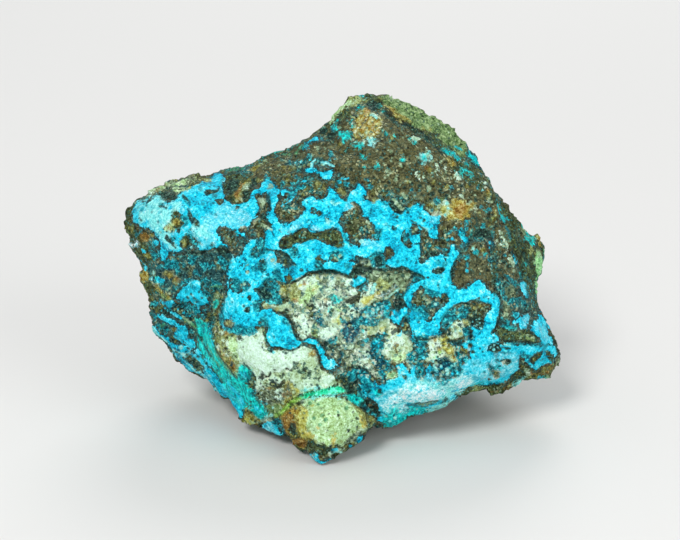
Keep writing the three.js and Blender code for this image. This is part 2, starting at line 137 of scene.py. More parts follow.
def chipped(p, size, seed=0):
    """Flat fracture faces: each cell is a tilted plane."""
    first, second, tag, offset = cells(p, size, seed)
    lean = (tag - 0.5) * 2
    return np.clip((offset * lean).sum(1), -0.7, 0.7), second - first


# --- the markings ---------------------------------------------------------------------------------------------------
# Shapes drawn in the display view, in a frame 680 wide and 540 high. Each line adds to (+) or cuts from (-) a
# layer: P a polygon, S a stroke whose points are x,y,radius, D dots x,y,radius.


def segment_distance(x, y, x0, y0, x1, y1):
    dx, dy = x1 - x0, y1 - y0
    t = np.clip(((x - x0) * dx + (y - y0) * dy) / max(dx * dx + dy * dy, 1e-9), 0, 1)
    return np.hypot(x - x0 - t * dx, y - y0 - t * dy), t


def polygon_depth(x, y, ring):
    """How far inside the ring each point is; negative outside."""
    near = np.full(x.shape, 1e9)
    inside = np.zeros(x.shape, bool)
    for (x0, y0), (x1, y1) in zip(ring, ring[1:] + ring[:1]):
        near = np.minimum(near, segment_distance(x, y, x0, y0, x1, y1)[0])
        if y0 != y1:
            inside ^= ((y0 > y) != (y1 > y)) & (x < (x1 - x0) * (y - y0) / (y1 - y0) + x0)
    return np.where(inside, near, -near)


def stroke_depth(x, y, points):
    best = np.full(x.shape, -1e9)
    if len(points) == 1:
        x0, y0, r0 = points[0]
        return r0 - np.hypot(x - x0, y - y0)
    for (x0, y0, r0), (x1, y1, r1) in zip(points, points[1:]):
        d, t = segment_distance(x, y, x0, y0, x1, y1)
        best = np.maximum(best, r0 + (r1 - r0) * t - d)
    return best


FAR = 9.0  # depths are kept between -FAR and FAR


def parse(drawing):
    shapes = []
    for line in drawing.splitlines():
        words = line.split("#")[0].split()
        if not words:
            continue
        kind, layer, sign = words[:3]
        points = [tuple(float(n) for n in w.split(",")) for w in words[3:]]
        shapes.append((kind, layer, sign, points))
    return shapes


def draw_layers(x, y, shapes, layers):
    """The depth of every point in each layer."""
    out = {name: np.full(x.shape, -FAR) for name in layers}
    for kind, layer, sign, points in shapes:
        if layer not in out:
            continue
        groups = [[p] for p in points] if kind == "D" else [points]
        for group in groups:
            reach = FAR + 1 + (0 if kind == "P" else max(p[2] for p in group))
            near = (
                (x > min(p[0] for p in group) - reach) & (x < max(p[0] for p in group) + reach)
                & (y > min(p[1] for p in group) - reach) & (y < max(p[1] for p in group) + reach)
            )
            if not near.any():
                continue
            xs, ys = x[near], y[near]
            depth = polygon_depth(xs, ys, group) if kind == "P" else stroke_depth(xs, ys, group)
            depth = np.clip(depth, -FAR, FAR)
            old = out[layer][near]
            out[layer][near] = np.maximum(old, depth) if sign == "+" else np.minimum(old, -depth)
    return out


# across the facets at the right: the dark left edge of a raised plate, partly painted shadow, and a crack
# painted highlight along the bulging ridge
# painted highlight along the bulging ridge
# painted highlight on the grey lump
# painted light on the crust where it slants away at the lower right
# painted shade in the V notch where two facets meet
# painted shade in the crevice right of the nodule
# painted shade in the crevice right of the nodule
# painted shade under the step at the foot of the brown band
# painted shade: a dark blue band inside island D
# painted shade: dark teal along the bottom of the blue block
# painted shadow along the top of the hollow, under the crust edge
# painted shadow under the crust edge at the top of the hollow
# painted shadow under the overhanging crust edge along the top of the hollow, with a dark blue patch of it at the right
# end, and a dark line down the hollow's right side
# painted shadow under the step at the foot of the brown band: dark teal shade and a dark line along the step
# painted shadow: dark lines down the band's right side and along its lower edge where it steps down, and a dark blue
# patch inside its right side
# painted shadow: the dark line along that step
# painted shadow: the dark line along the top of the hollow, under the crust edge
# the bulging ridge, its white a painted highlight over pale crust, and the ledge under it
# the dark gap under the green band, partly painted shadow under the step
# the dark gap under the green top band, partly painted shadow under the step
# the dark gap under the green top band, partly painted shadow under the step
# the dark line at the left edge of the raised plate, partly painted shadow
# the dark line at the left edge of the raised plate, partly painted shadow
# the ridge again: pale cyan, with a painted white highlight along it
# wider dark lines: cracks, with the left edge of the raised plate and the gap under the green top band partly painted
# shadow
DRAWING = """
# upper left
P crust + 134,208 138,204 143,203 148,202 152,200 158,197 162,199 166,202 172,201 176,199 177,195 181,191 186,188 192,186 198,184 201,181 206,179 211,177 215,174 219,174 223,177 226,180 226,184 226,189 228,193 227,197 226,200 231,200 235,203 245,203 245,245 238,244 232,247 226,247 220,247 214,248 208,249 204,250 200,249 196,247 193,249 186,248 183,249 180,252 176,253 172,251.5 168,253 167,258 165,262 161,261 160,256 158,252 160,247 160,241 158,238 155,234 152,230 148,228.5 143,228 138,226 135,222 134,216 134,211
P crust - 163,229 166,225 169,221 171,216 173,210 176,209.5 180,213 183,218 186,221 184,225 181,227 177,228 173,231 169,233 165,231
P crust - 188,214.5 190,211 192,214 193,217 196,219 199,221 200,226 199,229 196,228 193,226 191,222 190,218 187,217
P crust - 204,193 207,190 212,189 216,190 219,188 221,191 217,192.5 212,193 207,195.5
P dark + 204,193 207,190 212,189.5 216,190 219,189 220,191 217,192 212,192.5 207,195
D dark + 219,187,1.3 220.5,190,1.2 217,188,0.9
P crust - 215,201 219,200 224,199.5 223,203 220,205.5 217,204
P dark + 216,201.5 219,201 223,200.5 222,203 219,204.5
S dark + 182.5,196.5,1.1 185,198.5,1.3 188.5,200.5,1.2
S deep + 183,196.5,1.8 188,202,2
D deep + 162,206,1.8 166,208,1.3 160,204,1.2 161,212,1 175,203,0
S dark + 138,218.5,0.6 142,221,0.7
S dark + 168.5,241,0.8 172,244,0.9
P deep + 171,237 174,237 175,241 172,243 170,240
D crust - 181,229.5,1.8 173,238.5,1.5 187.5,216.5,1
P crust - 183,237 187,233 191,234 195,238 198,242 197,246 193,247.5 190,246.5 186,248.5 182,249.5 180,245 181,240
P deep + 188,235 191,235 196,240 199,244 196,247 193,243 190,240
D pale + 192,247.5,2 176,245,1.5
P crust - 218,229 221,226 225,225 229,227 232,230 236,231 238,235 237,239 240,243 240,256 236,258 232,256 228,250 226,246 222,243 219,237 217.5,232
D crust - 237,207,1.6
D dark + 237,207,1
D deep + 236,234,2 234,231,1.5
# blue under the island
P crust + 225,255 229,254 232,257 235,260 240,257 245,256 245,295 231,295 228,288 227,282 228,276 224,273 228,270 229,266 231,262 229,258
P crust + 184,287 188,282 193,279 198,279 200,283 199,291 188,292
D crust + 160.5,281,2.6 145.5,266,1.7 144.5,252,1.8 156,243,3.2 174,255,1.2 173,261,2 175.5,256.5,1
S crust + 143,261,1 145.5,266,1.6 145.5,270,1.2
S crust + 143,249,0.8 145,253,1.6
P pale + 131,241 136,240.5 138,244 137,248 133,247 130,244
P crust + 130,240.5 136,240 138.5,244 137,248.5 133,247.5 129,244
D dark + 134,243.5,1.2 136.5,241,0.9
D pale + 152,279.5,1.8 154.5,274,1.3
D crust + 152,279.5,2.2
D cream + 154.5,274,1.8 146.5,243.5,1
# pale zones
P pale + 143,206 150,203 158,200 163,202 168,207 169,213 168,219 165,224 160,227 155,229 150,226 146,222 143,217 141,211
P pale + 157,228 163,231 169,234 174,233 170,238 168,243 174,247 180,249 176,250 168,247 163,243 160,237
P pale + 170,202 176,200 181,202 182,207 184,212 181,213 178,209 173,208 171,205
P pale + 214,212 222,206 230,206 238,208 245,212 245,226 238,228 232,226 226,224 220,225 216,228 214,235 216,242 212,246 206,247 200,246 198,241 193,236 192,231 198,231 203,227 203,219 207,213
D deep + 146,205,1.6 141,209,2.2 147,224,1.4 163,206,1.5 197,215,1.5 216,215,1.6 200,189,2.5 215,196,3 221,181,2.2 208,184,2
P deep + 176,216 184,214 189,218 189,224 183,228 186,222
# rim
P green + 122,226 123,216 127,209 131,202 142,194 154,189 163,184.5 173.5,178 184,174.5 194,173 204.5,172.5 208,176 206,179 200,182 196,181 188,181 180,182 174,185 168,188 161,192 154,197 148,199 141,202 136,206 133,211 131,218 127,222
P cream + 175,186 180,182 186,182 192,181.5 198,182 199,184 194,187 187,188 181,190 177,190.5 173,188.5
D cream + 172,187,2.2 154,193,1.6 163,187,1.4 148,196,1.2 186,176,1.2 200,177,1.4 206,176,1.2 160,190,1.2 144,199,1 137,203,1
P dark + 163,192 168,190 174,190 175,194 176,199 171,200 166,200 163,197
P dark + 154,197 158,194 162,193 163,197 158,197
S dark + 140,200,0.8 145,200.5,1 150,199,0.8
S dark + 176,181.5,0.8 186,180.5,1.2 196,180.5,0.8
S green + 221,173,0.6 228,170,1.8 240,165,1.8
S dark + 222,175.5,1 230,173,1 240,169,0.8
# lower left edge
P ochre + 138,272 143,271 147,274 149,279 147,282 143,280 140,276
P ochre + 142,233 148,233 150,237 149,241 144,242 142,238
D ochre + 130,229,3 123,229,2.5 152,235,2 170,275,3 166,273,2.5 175,282,2.5 160,232,1 148,256,3
D ochre + 184,245,2.5 171,228,2 176,222,4
P cream + 164,229 166,226.5 170,224 172,226 171,230 167,231
D cream + 178,284,1.2 180,286,1 219.5,267.5,1.2 233,238,0.8 183,245,1 128,236,0.8 155,276,0.9
P deep + 150,252 156,250 161,254 160,258 155,258 152,256
P deep + 188,255 194,254 198,257 197,262 192,264 188,261
P deep + 200,263 206,261 214,262 216,267 210,270 203,270
P deep + 218,256 224,255 228,258 228,264 224,268 219,266 217,261
P deep + 163,262 170,258 178,262 180,270 172,268 164,268
D deep + 136,235,2.2 140,232,1.6 205,280,3 196,272,3 184,265,2.5 172,264,2 212,283,3 178,272,2.5 160,266,2.5 154,245,2
P dark + 220,245 226,247 232,257 228,262 222,256 216,250
P dark + 184,252 192,250 200,252 206,250 204,254 196,256 188,254
D dark + 170,254,1.8 177,255.5,1.5 160,249,1.2 158,246,1 145,247,1 180,275,2.5 187,270,2 216,258,1.5 205,257,1.8 222,272,1.8
# upper middle
P crust + 240,203 244,203 248,202 250,198 251,194 253,190 257,188 260,187 262,184 264,181 265,177.5 268,178 271,181 273,184 276,188 279,190 283,190 287,190.5 286,194 283,197 281,199 278,201 277,205 275,208 274.5,213 276,217 278,221 281,224 285,227 290,225 295,221 299,216 304,212 304.5,208 303,205 302,202 304,200 307,198 310,196.5 313,197 316,199 319,200 322,199.5 325,198 327,196 329,193 328.5,190 330,187.5 332,190 334,192.5 337,195 339,198 341,200 344,201 350,203 352,208 346,210 342,214 340,218 339,222 340,227 343,231 346,235 349,240 352,247 352,262 262,262 262,250 264,246 265,240 266,234 265,231 240,228
P crust - 255,198 257,195 259,195 262,195.5 264,192 266,192 267,196 267.5,201 269,205 270.5,209 269,212 266.5,215 267,219 270,222 272,225 272.5,228 266,230 265,234 262,236 258,236 255,233 252,231 250,229 249,226 252,221 255,217 258,213 259,208 258,204 256,202
P crust - 270,229 272.5,230 274,233 273,237 271,235
P crust - 238,232 240,226 244,225.5 248,226 252,228 256,232 260,235 263,236.5 265,240 264,246 262,252 257,252 255,248 257,244 259,241 260,238 257,236 254,234 251,231 247,231 244,232 242,234
P crust - 238,236 243,236.5 247,239 248,242.5 245,245.5 240,250 236,252 236,244
P deep + 257,240 262,238 265,241 264,247 262,252 257,251 256,246
P deep + 262,180 264,177 266,172 268,172 269,177 268,180
D dark + 279,196,1.7 257,197,1.3 258,203,0.9
D crust - 279,196,2
# island A
P crust - 276,207 280,203.5 284,205 288,203 291,203 294,201 296,198 297,195 299,196 302,199 303,204 304,208 303,211 300,213 298,215 296,218 293,221 290,223 287,225 284,225.5 281,223.5 278,220 276,216 275,212
P crust + 288,197.5 290,193 293,192 296.5,190.5 294.5,194 291,198.5 289,199.5
S crust + 281.5,206.5,0.9 283,203.5,0.8
S crust + 284.5,204,0.6 290,201,0.8 294,197.5,0.6
P deep + 285,197 288,193 291,189 297,186 303,183 303,188 299,191 297,192 293,197 290,200 284,203 282,202
# island B
P crust - 278,247 279,242 281,238 284,236 287,235 290,237 292,235.5 295,232 298,230 302,229 306,229 309,230.5 312,233 316,234 320,233 324,231.5 328,230 332,229 336,229 339,232 341,236 343,240 344,244 342,246.5 338,248 334,247 330,245.5 326,244 322,242 318,240.5 314,239 310,240 306,242 302,243 298,242 295,243.5 292,246 290,248.5 286,249.5 281,249.5
D crust - 313.5,211,2.4 320,213.5,2.1 308.5,223.5,2.8 327,219.5,1.2
D dark + 320,213.5,1.8 313.5,211,1.4 309,215.5,0.7 307,222,1 309,226,1
D deep + 329,206.5,1.5 313.5,211,2.6 326,221,1.6 333,200,2.2 302,232,1.2
S pale + 331,202,1.2 335,204.5,1.5 339,203,1.2
S pale + 326,218,1 328,222,1.6 332,221,1
P pale + 220,206 226,202 230,206 233,213 238,214 244,213 250,214 252,218 248,223 242,224 236,228 232,228 228,224 222,222 220,214
P pale + 281,228 286,229 292,227 298,222 304,219 305,224 302,227 296,229 291,233 286,232 282,232
P pale + 310,226 316,229 324,229 328,226 334,226 338,229 332,228 326,230 318,232 311,229
# small blue on the upper face
P crust + 304.5,170 307,168.5 311,169 314,168 317,170 320,171.5 324,172 327,171 330,169 333,169 334,172 333,176 331,179 328,180 324,179 321,176 319,173.5 315,171.5 311,172.5 307,172.5
S pale + 295.5,164,1 299,163.5,0.9 302,161.5,0.6
S pale + 311.5,166.5,0.8 312.5,162.5,1 316,159,0.6
S pale + 321,162,0.7 324,164,1 327,162,0.8 330,164.5,1 334,166,0.8
S crust + 295.5,164,1.3 299,163.5,1.1 302,161.5,0.8
S crust + 311.5,167.5,1 312.5,162.5,1.3 316,159,0.8
S crust + 321,162,0.9 324,163,1 327,162,1 330,164.5,1.2 334,166,1
P crust + 303,146 306,142 310,138 313,136 317,137 317,140 314,141 311,143 308,146 305,149
P deep + 302,147 305,142 308,141 311,143 309,147 305,150
D deep + 323,140,2 321,137,1.5 333,129,2.8 337,130.5,1.6 331,155,2.4 309,156,2.5 309,160,2 330,160,1.5 335,158,1.5 290,163,2 296,177,2 293,184,2.5 299,182,2.5 303,186,2.5 283,183,2.5 291,188,2 281,187,1.5 242,172,1.5 338,182,2 346,184,2.5 349,170,2 337,186,2
D crust + 305,181,1.6 303,181.5,1 339.5,182,1.8 347.5,184,1.6 345,179,0.8 348,178,0.8 342,178.5,0.8 336,127,1 334,129,1.4
P crust + 340,135 345,134 350,133.5 351,138 346.5,138 344.5,141.5 342.5,141 341.5,138
P deep + 340,134 352,133 352,140 346,142 342,142
# cream and ochre
P cream + 257,197 262,196.5 266,198 267,203 264,206 262,211 259,215 259,219 257,222 253,224 251,222 255,217 258,213 259.5,208 258,203 256,201
D cream + 263,161.5,2 260,164,1.6 244,187.5,2 247,184.5,1.6 243,190,1.2 237.5,200.5,1.4 241,194,1.2 265,226,2 262,224,1.5 268,228,1.2 271,229.5,1.2 289.5,157.5,1.3 286,161,1.2 279,165,1.2 265,167,1 252,174,1.2 270,204,0
D ochre + 240.5,195,2.4 245,183,2.6 248,181,1.8 256,168,2.6 253,171,1.8 258,181,2.2 262,180,1.6 271,186,2.6 269,188,1.8 283,168,2 291,168,2.6 295,168,2 318,184,3 316,188,2.4 340,190,3 344,193,2.4 304,166,1.8 309,165,1.5 287,180,2 324,187,2 289,175,1.5 305,190,1.5 303,195,1.6
S cream + 293,166.5,0.9 297,168,0.9 302,166,0.8 309,164.5,0.7
D cream + 323,164,1.6 318,149,1.4 325,148,1.2 313,155,1.2 308,165,0.8 340,127,1.2 332,141,0.8 319,153,1 304,153,1 299,153,1 304,233,1 304.5,233,1.6 303,235,1
S green + 281,150.5,1 284,155,2.2 288,154,1.4
S green + 296,152,2 300,148,1 304,144,0.6
P olive + 282,156 290,149 300,141 310,135 318,133 324,136 331,143 337,135 342,130 352,126 352,180 336,168 320,158 306,158 296,162 286,162
P olive + 250,168 262,160 275,158 285,164 292,170 300,172 304,178 296,180 286,172 276,178 268,172 258,178 250,182 244,192 238,202 236,196 242,184 250,176
P dark + 326,133 331,130.5 337,132 338,134 334,137 331.5,142.5 328.5,139 325,136.5
P dark + 316,128 322,125 327,127 328,132 322,134 315,133
P dark + 256,155 266,152 276,150 284,148 288,150 280,153 270,156 260,159
P dark + 228,182 234,178 240,182 236,190 230,196 227,190
P dark + 241,192 247,190 250,194 248,200 243,200
P dark + 252,180 256,178 258,184 254,186 250,190 249,186
P dark + 266,193 269,195 271,203 272,209 269,208 267,203
P dark + 259,216 264,214 267,220 271,225 268,224 264,221
S dark + 304,172,0.8 311,174.5,1 318,175,1 322,180,1 328,182,1
S dark + 300,202,0.8 303,199,1 308,196,1.2 313,195,0.8
D dark + 275,170,1.5 268,166,1.2 289,196,1 297,160,1.2 336,178,1.5 335,188,1.2 231,200,1.5 285,164,1 286,241,0
# peak
P green + 379,94 384,91 392,94 398,97 404,98 411,103 420,107 430,112 440,116 448,121 456,129 462,136 468,141 471,148 467,153 460,151 455,148.5 450,146 448,141 445,136 441,131 436,129 430,128 424,126 418,125 412,122 405,118 398,114 392,109 386,104 381,100 379,97
P green + 329,120 334,112 342,103 352,93.5 364,90.5 376,92 379,96 376,98 370,98 362,99 358,103 352,106 346,107 340,111 335,117 331,121
P ochre + 384,104 388,105 393,110 399,115 406,119 412,123 410,126 402,123 394,118 388,113
D ochre + 422,127,1.8 430,129,1.8 381,99,1.8 342,110,2 336,117,1.5
S dark + 384,113,0.6 392,118.5,1.4 400,123,1.4 408,126,1.2 416,129.5,1.2 422,134,1 430,142,1.3 438,150,1.4 445,158.5,0.9
P dark + 408,126 416,127 424,128 432,128 438,130.5 441,135 444,142 447,149 443,151 438,146 430,140 422,134 414,131
P dark + 425,128 433,128 438,131 441,137 436,137 430,133
S dark + 335,120,0.8 342,113,1.2 350,110,1.4 356,109,1
P dark + 366,101 372,100 380,101 378,106 374,112 370,108 366,106
D dark + 371,96,1.2 359,98,1 348,118,1.5 340,122,1.5 386,118,1.2 350,141,1
P ochre + 354,116 358,110 364,108 370,110 375,114 380,117 383,122 382,128 380,134 376,138 370,139 364,140 358,139 355,135 352,130 355,124
P cream + 358,114 363,110 369,112 374,117 379,120 381,127 378,131 372,130 366,134 362,137 358,133 361,127 357,122
D cream + 366,132.5,2 363,135,1.4 360,134,1 367,128,1 353,103,1.4 355,99,1.8 349,105,1.4 358,116,1.2 362,113,1 346,108,1.5 340,113,1.5
S pale + 370.5,115,0.9 374,115.5,1 377,118.5,1
S cream + 370.5,115,1.2 374,115.5,1.4 377,118.5,1.3
D cream + 416.5,138,2.4 402.5,126,1.3 391,152,1.5 388,150,1 426,151.5,1.8 428,156,1.8 419,176,1.6 424,176,1.4 428,176,1 432,173,1.4 436,171,1.5 416,173,1 397,176,1.6 396,179.5,1.8 387,171,1.8 391,172,1.4 385,178,1.2 388,175,1 429,188,2.4 441,162,1.6 444.5,160,1.2 418,158,1.7 406,181,1.6 410,182,1.2 403.5,194.5,1.9 406,197.5,1.5 400,185,1 379,191.5,1.3 368,198,1.3 396,203,2 399,206,1.8 394,200,1.2 402,209,1.3 400,164,1.4 402,167,1.2 384,164,1 392,158,1 391,161,1 380,181,1 446,172,1.4 451,178,1.3 443,176,1 433,161,1.2 437,164,1 391,187,1 409,140,0.9 403,137,0.8 410,142,0.8
D pale + 416.5,138,1.6 426,151.5,1.4 432,173,0.8 371,141.5,2.8
P crust + 368,142 369,139 372,138 374.5,141 374,144 371,146 368.5,145
D ochre + 374,201,2.2 377,199,1.6 432,205,2 436,208,2 428,205,1.5 430,170,3.2 434,182,2 450,164,2.6 446,158,2.4 408,182,2 447,187,2 410,206,2 388,139,0 392,138,2 376,127,2.4 400,119,1.5 345,113,2 340,144,2 360,133,2
D deep + 353,124,2.5 358,111,2.6 362,107.5,2 378,104,3 383,110.5,3 364,96.5,2 391,133,2.2 395,139.5,2.4 405,142.5,2.8 417,145,2.2 371,158,1.8 367,179,2.2 371,187,2.8 402,168,2 446,151,3 437,201,3.4 452,188,2.5 384,131,3 358,147,4.5 362,157.5,3.6 365,166,3 377,167,3 424,160,3.6 412,190,2 343,126,2 336,150,0 331,153,2 340,157,1.6 413,167,1.6 388,195,1.8 384,162,1.6
S deep + 348,160,1.4 347,168,1.6 347,175,1.2
P crust + 352,143.5 357,143 362,146 363,148.5 358,148.5 355,150.5 352.5,149
P crust + 359,155.5 362,154.5 366,157.5 364,160 361,159.5
D crust + 365,166,1.3 377,166.5,1.5 378.5,105,1.5 383.5,109,1.6 384,131.5,1.3 353,124,1.2 357,112,1
S crust + 383,128,0.8 385,134,1
P crust + 421,158.5 425,156.5 429,159 425,163.5 421.5,162
P crust + 450,151 455,150 461,153 467,160 462,160.5 456,157 452,154
P deep + 448,150 455,148 463,152 469,160 464,163 456,159 450,155
P crust + 346,203 349,197 350,192 353,190 356,191 358,188 358,185 360,184 363,186 365,189 367,191 366,194 362,196 361,198 364,200 369,200 372,202 374,203 377,200 379,199 382,201 386,202 388,203 389,206 391,209 394,212 398,214.5 401,214 403,212 406,210 409,208 412,207 416,205 420,206 423,209 427,213 431,215 440,216 442,262 352,262
S deep + 381,201,1 384,203,1.2 387,205,1 389,203,1
P pale + 345,206 348,202 352,202 355,206 352,209 348,211 345,209
D deep + 370,212,2 408,212,2 420,214,2 380,212,1.6 363,197,1.6 357,193,1.4
P olive + 340,115 352,106 366,110 384,112 398,124 420,134 440,152 452,166 456,180 450,196 430,200 410,196 396,192 384,190 370,182 352,182 344,170 334,150 332,140
P dark + 389,201 393,200 399,202 404,207 404,211 400,214 396,211 391,207
P crust - 388,200 394,198 400,200 405,205 404,211 400,214.5 396,212 391,208 388,204
S dark + 389,204,0.8 393,209,1.2 398,213,1 402,212,0.8
D dark + 440,190,2 432,194,2.5 420,186,2 412,184,1.5 446,196,2 398,190,2 386,186,2 374,178,1.5 388,190,1.6 404,188,1.5 425,180,1.5 352,170,2 356,178,1.6 360,172,1.5 368,172,1.5
# right flank
P deep + 466,146 472,146 478,153 482,162 481,168 474,166 467,160 465,152
P crust + 468.5,155 471,155 475,157.5 479,161 480,165 476,163 472,160.5 469,158
P deep + 460,166 466,167 468,173 466,178 461,176 459,170
P crust + 462,168.5 465,169.5 465.5,173 464,175 462,173
P deep + 481,168 486,168 490,174 490,179 486,176 482,173
S deep + 490,179,1.4 492.5,187,2.6 495,193,2.6 498,200,2.2 500,207,1.9 502,216,2.6 505,223,2 508,231,1.8 510,238,1.8 513,247,2 516,256,2.4 519.5,266,1.6
S crust + 491.5,184,0.3 494,191,0.9 497,198,0.7
P crust + 500.5,213 503,214 506,220 504.5,223.5 501.5,219
S crust + 511.5,250,1 514,255,1.6 517,262,1.3 519,266,0.8
P crust + 520.5,236.5 523,233.5 527,228 531,231 534,235 537,239 538,243 534,245 530,243.5 525,241 521,239
P green + 519,232 523,228 530,227 536,231 534,234 528,232 522,236 519,240 517,236
P green + 536,251 540,250 543,255 544,262 542,270 540,280 537,279 536,270 534,262 535,256
S green + 543.5,241,1 546,247,1.6 546.5,255,1.6 545,266,1.2
S ochre + 536,232,1.5 541,236,2 544,243,1.8
D cream + 531,262,1.6 533,258,1.2 540,256,2.2 540,264,2 539,272,1.6 538,277,1.2 546,250,1
P ochre + 450,205 455,201 460,200 465,200 469,203 472,208 471,213 467,217.5 462,219.5 456,221 449,220.5 447,217 450,211
D ochre + 474,205,2 489,193,2.8 487,188,1.8 488,198,1.6 467,186,2 440,206,2.5 444,210,2 436,209,2 483,250,2.4 479,212,1.6 540,235,1.6
S ochre + 499,208,1 496,215,1.8 492,222,1.6 489,226,1
D cream + 447,203,2.3 448,208,2 445.5,215,2.2 451,209.5,1.4 441,213,1.6 443,203,1.3 433,203.5,2.2 438,207,1.8 432,209,1.4 436,212,1.3 440,205,1.2 448,213,1.4 455,220,1.2 468,204,1.5 470,202,1.4 475,206,1.3 471,210,1.3 475,212,1.2 457,174,2.4 454,177,1.6 460,176,1.4 464,170,1 462.5,196,1.5 456,181,1.1 449,196,1 486,187,1.5 486,180,1.3 484,184,0.9 491,201.5,1.6 489,199,1.2 505.5,206,1.1 497,211,1.4 495,216,1.2 493,205,1.2 501,233,1.9 502.5,237,1.6 506,238,1.3 507,246,1.6 497,241,1.3 499,245,1.1 504,243,1.1 509,243,1 512,259,2.4 515,263.5,1.8 510,255,1 473,249,2 492,227,1.4 496,222,1 480,216,1 484,219,0.9 472,191,1 475,195,1 469,197,1.1 479,190,0.9 466,192,0.9 512,205,0.9 491,242.5,0
D pale + 447,203,1.6 448,208,1.2 445,215,1.2 457,174,1.2 473,249,1.2 491,243,1
D deep + 467,222,2.6 466,228.5,2.4 483,226,2.2 478,187,2.2 472,176,2.2 489,210,2.8 481,207,1.8 468,257,2.8 475,252,2.2 490,260,2.6 455,229,2.5 450,232,2 437,236,1.6 515,246,2.2 526,264,2.4 522,264,1.8 505,255,1.6 511,215,2 516,222,1.6 470,163,2.4 467,156,2.4 482,190,1.2 481,240,1.8 466,245,2.4 462,246,2.5 484,257,2.2 467,265,2 448,240,1.8 497,252,1 519,248,1.4
S deep + 436,247,1.4 441,248.5,1.6 446,250,1.4
S deep + 492.5,228,0.8 492.5,238,1.2
D crust + 482,190,1.1 467,222,1.2 452.5,239,1.7 454.5,240,1 483,226,0.9 475,252,1.1 468,257,1.1
S dark + 477,217,0.5 478,228,1 476.5,232,1 470,240.5,1.2 464,249,1.3 458,257,1.2 454,264,1.2 451,272,1.3 452,280,1
P crust + 459,230.5 462,232 464,236 467,238 470,240 469,243 466,243.5 463,240.5 459.5,236
P deep + 457,229 461,229 464,234 461,238 458,236
P crust + 451,245 453,242.5 455,248 459,252 459.5,256 456,260 453,264 451,270 444,270 444,262 446,256 449,252
P crust + 489,242 491,240.5 493,243 492.5,247 490,247.5
P olive + 430,165 446,158 456,166 466,178 482,182 488,196 496,206 502,220 504,232 500,246 490,238 478,232 468,244 462,252 452,240 444,226 440,212 448,200 444,190 430,186
P olive + 470,244 482,240 490,248 492,268 494,296 484,288 470,284 456,290 452,276 458,262
S dark + 493.5,246,0.9 494,262,1 494,278,1 494.5,295,1
P dark + 470,232 480,228 490,230 492,238 484,238 476,236
P dark + 500,205 506,206 512,214 514,224 508,222 502,212
P dark + 512,228 518,226 522,230 518,238 514,244 511,238
P dark + 522,246 530,246 534,252 532,260 526,258 520,252
D dark + 481,246,1.6 496,226,1.8 488,218,1.6 476,200,2 470,184,1.8 478,176,1.8 484,172,1.5 462,186,1.8 452,190,1.8 458,192,1.5 449,146,1.5 500,252,1.8 504,262,2 498,258,1.8 500,224,1.2 440,184,1.6
# lower left
P crust + 175,297 178,294 181,291 184,288.5 187,283 190,280 194,277 198,279 199.5,285 200,291 203,295 205.5,298 208.5,301 210,304.5 209,309 206,312 202,313.5 198,312 197,308 195,305 192,303 188,302 184,301.5 180,300.5 177,299
D deep + 186,292,1.8 191.5,285.5,2 184,300,1.4 199,302,1.6 194,301,1.2 203,311,1.4
D dark + 188,298,1.3 183,303,0.8 197,300,0.9
P deep + 178,301 184,302 190,303 195,305 197,310 200,314 206,313.5 208,317 203,319 198,317 193,311 187,306 181,305
P dark + 205,314 208,312 211,314 212,319 211,323 208,324 205,320
D ochre + 208.5,314,1.4 207.5,320,1.6 209,317,1
P deep + 207,324 212,321 214,326 213,332 214,338 211,338 208,332
P dark + 212.5,328 217,325.5 219,331 217,337 213.5,338.5
D ochre + 215,329,2 217,332,1.3 215,334,1.2 218.5,338,1.2
P crust + 165,306 168,303 172,301.5 176,301 175.5,305 171.5,308 167,308.5
P crust + 158,314 161,313.5 165,317 170,319 175,320.5 178,323 181,325 185,325.5 188,328.5 187.5,332 186.5,335 189,338 193,340 195.5,343 196,347 194,350 190,347 186,343 182,340 178,337 175,334.5 176,331 177.5,328.5 175,326 171,323.5 166,322 162,320 159,317.5
D ochre + 174.5,329.5,2.2
D dark + 190,336.5,2.4 176.5,331.5,0.8 194,335,1 172,326,0.8
D deep + 186,330,1.4 181,336,1 194,345,1.4 171,321,1 192,331,2.4 194,338,1.6
P deep + 157,323 163,321.5 168,325.5 168.5,331 164,334 160,332 157,328
D green + 162.5,326,2.2 165,324,1.2
D dark + 162,331,1.8 158,321,1.8 167,326,1 155,322,1.4 169,333,1
S pale + 152.5,329,1 157,334,1.3 162,338.5,1.3 167,342.5,1.1 171,346,0.8
P crust + 153,328.5 157,330 161,334.5 166,336 169,339.5 172,343.5 176,345 180,344 184,344.5 187,349 186,352 182,352 177,350 172,349 168,346 163,341 158,337 154,332.5
P dark + 169.5,335 173.5,334 176,337.5 181,340.5 184,343 180,344.5 175,344 171,341
D ochre + 176,341,1.2 172,337,1
S crust + 174,336,0.8 180,340,1 186,344,0.9 191,349,0.8
P green + 168,350 174,348 180,352 187,350 192,352 196,358 200,363 204,368 203,375 197,374 193,368 189,361 183,360 176,359 170,355
D pale + 184,355,2 181,347.5,2.2 179,357,1.2 190,353,1 172,353,1 186,357,1.2 175,355,1
D crust + 184,355,1.8 192,358,1.2 200,358,1.2 205,361,2 203,364,1.4
D dark + 187,352,1.4 191,356,1.4 194,353,1.2 194,360,2 198,364,1.8 197,369,1.6 201,372,1.4 203,367,1 177,352,1.2 174,358,1 188,361,0.9 181,360,0.8 169,352,0.8 199,375,0.9 195,364,1
P crust + 181,361.5 184,359.5 188,361 191,364 193.5,368 193.5,371.5 190,371.5 187,369 184,366
P pale + 185,363 188,363 191,368 188,368
P teal + 195,318 200,317 205,322 209,328 212,336 213,343 216,350 220,357 226,365 231,373 239,379 246,386 250,393 250,412 244,402 237,394 229,388 221,382 214,376 207,371 201,363 196,356 194,350 197,345 196,338 198,330
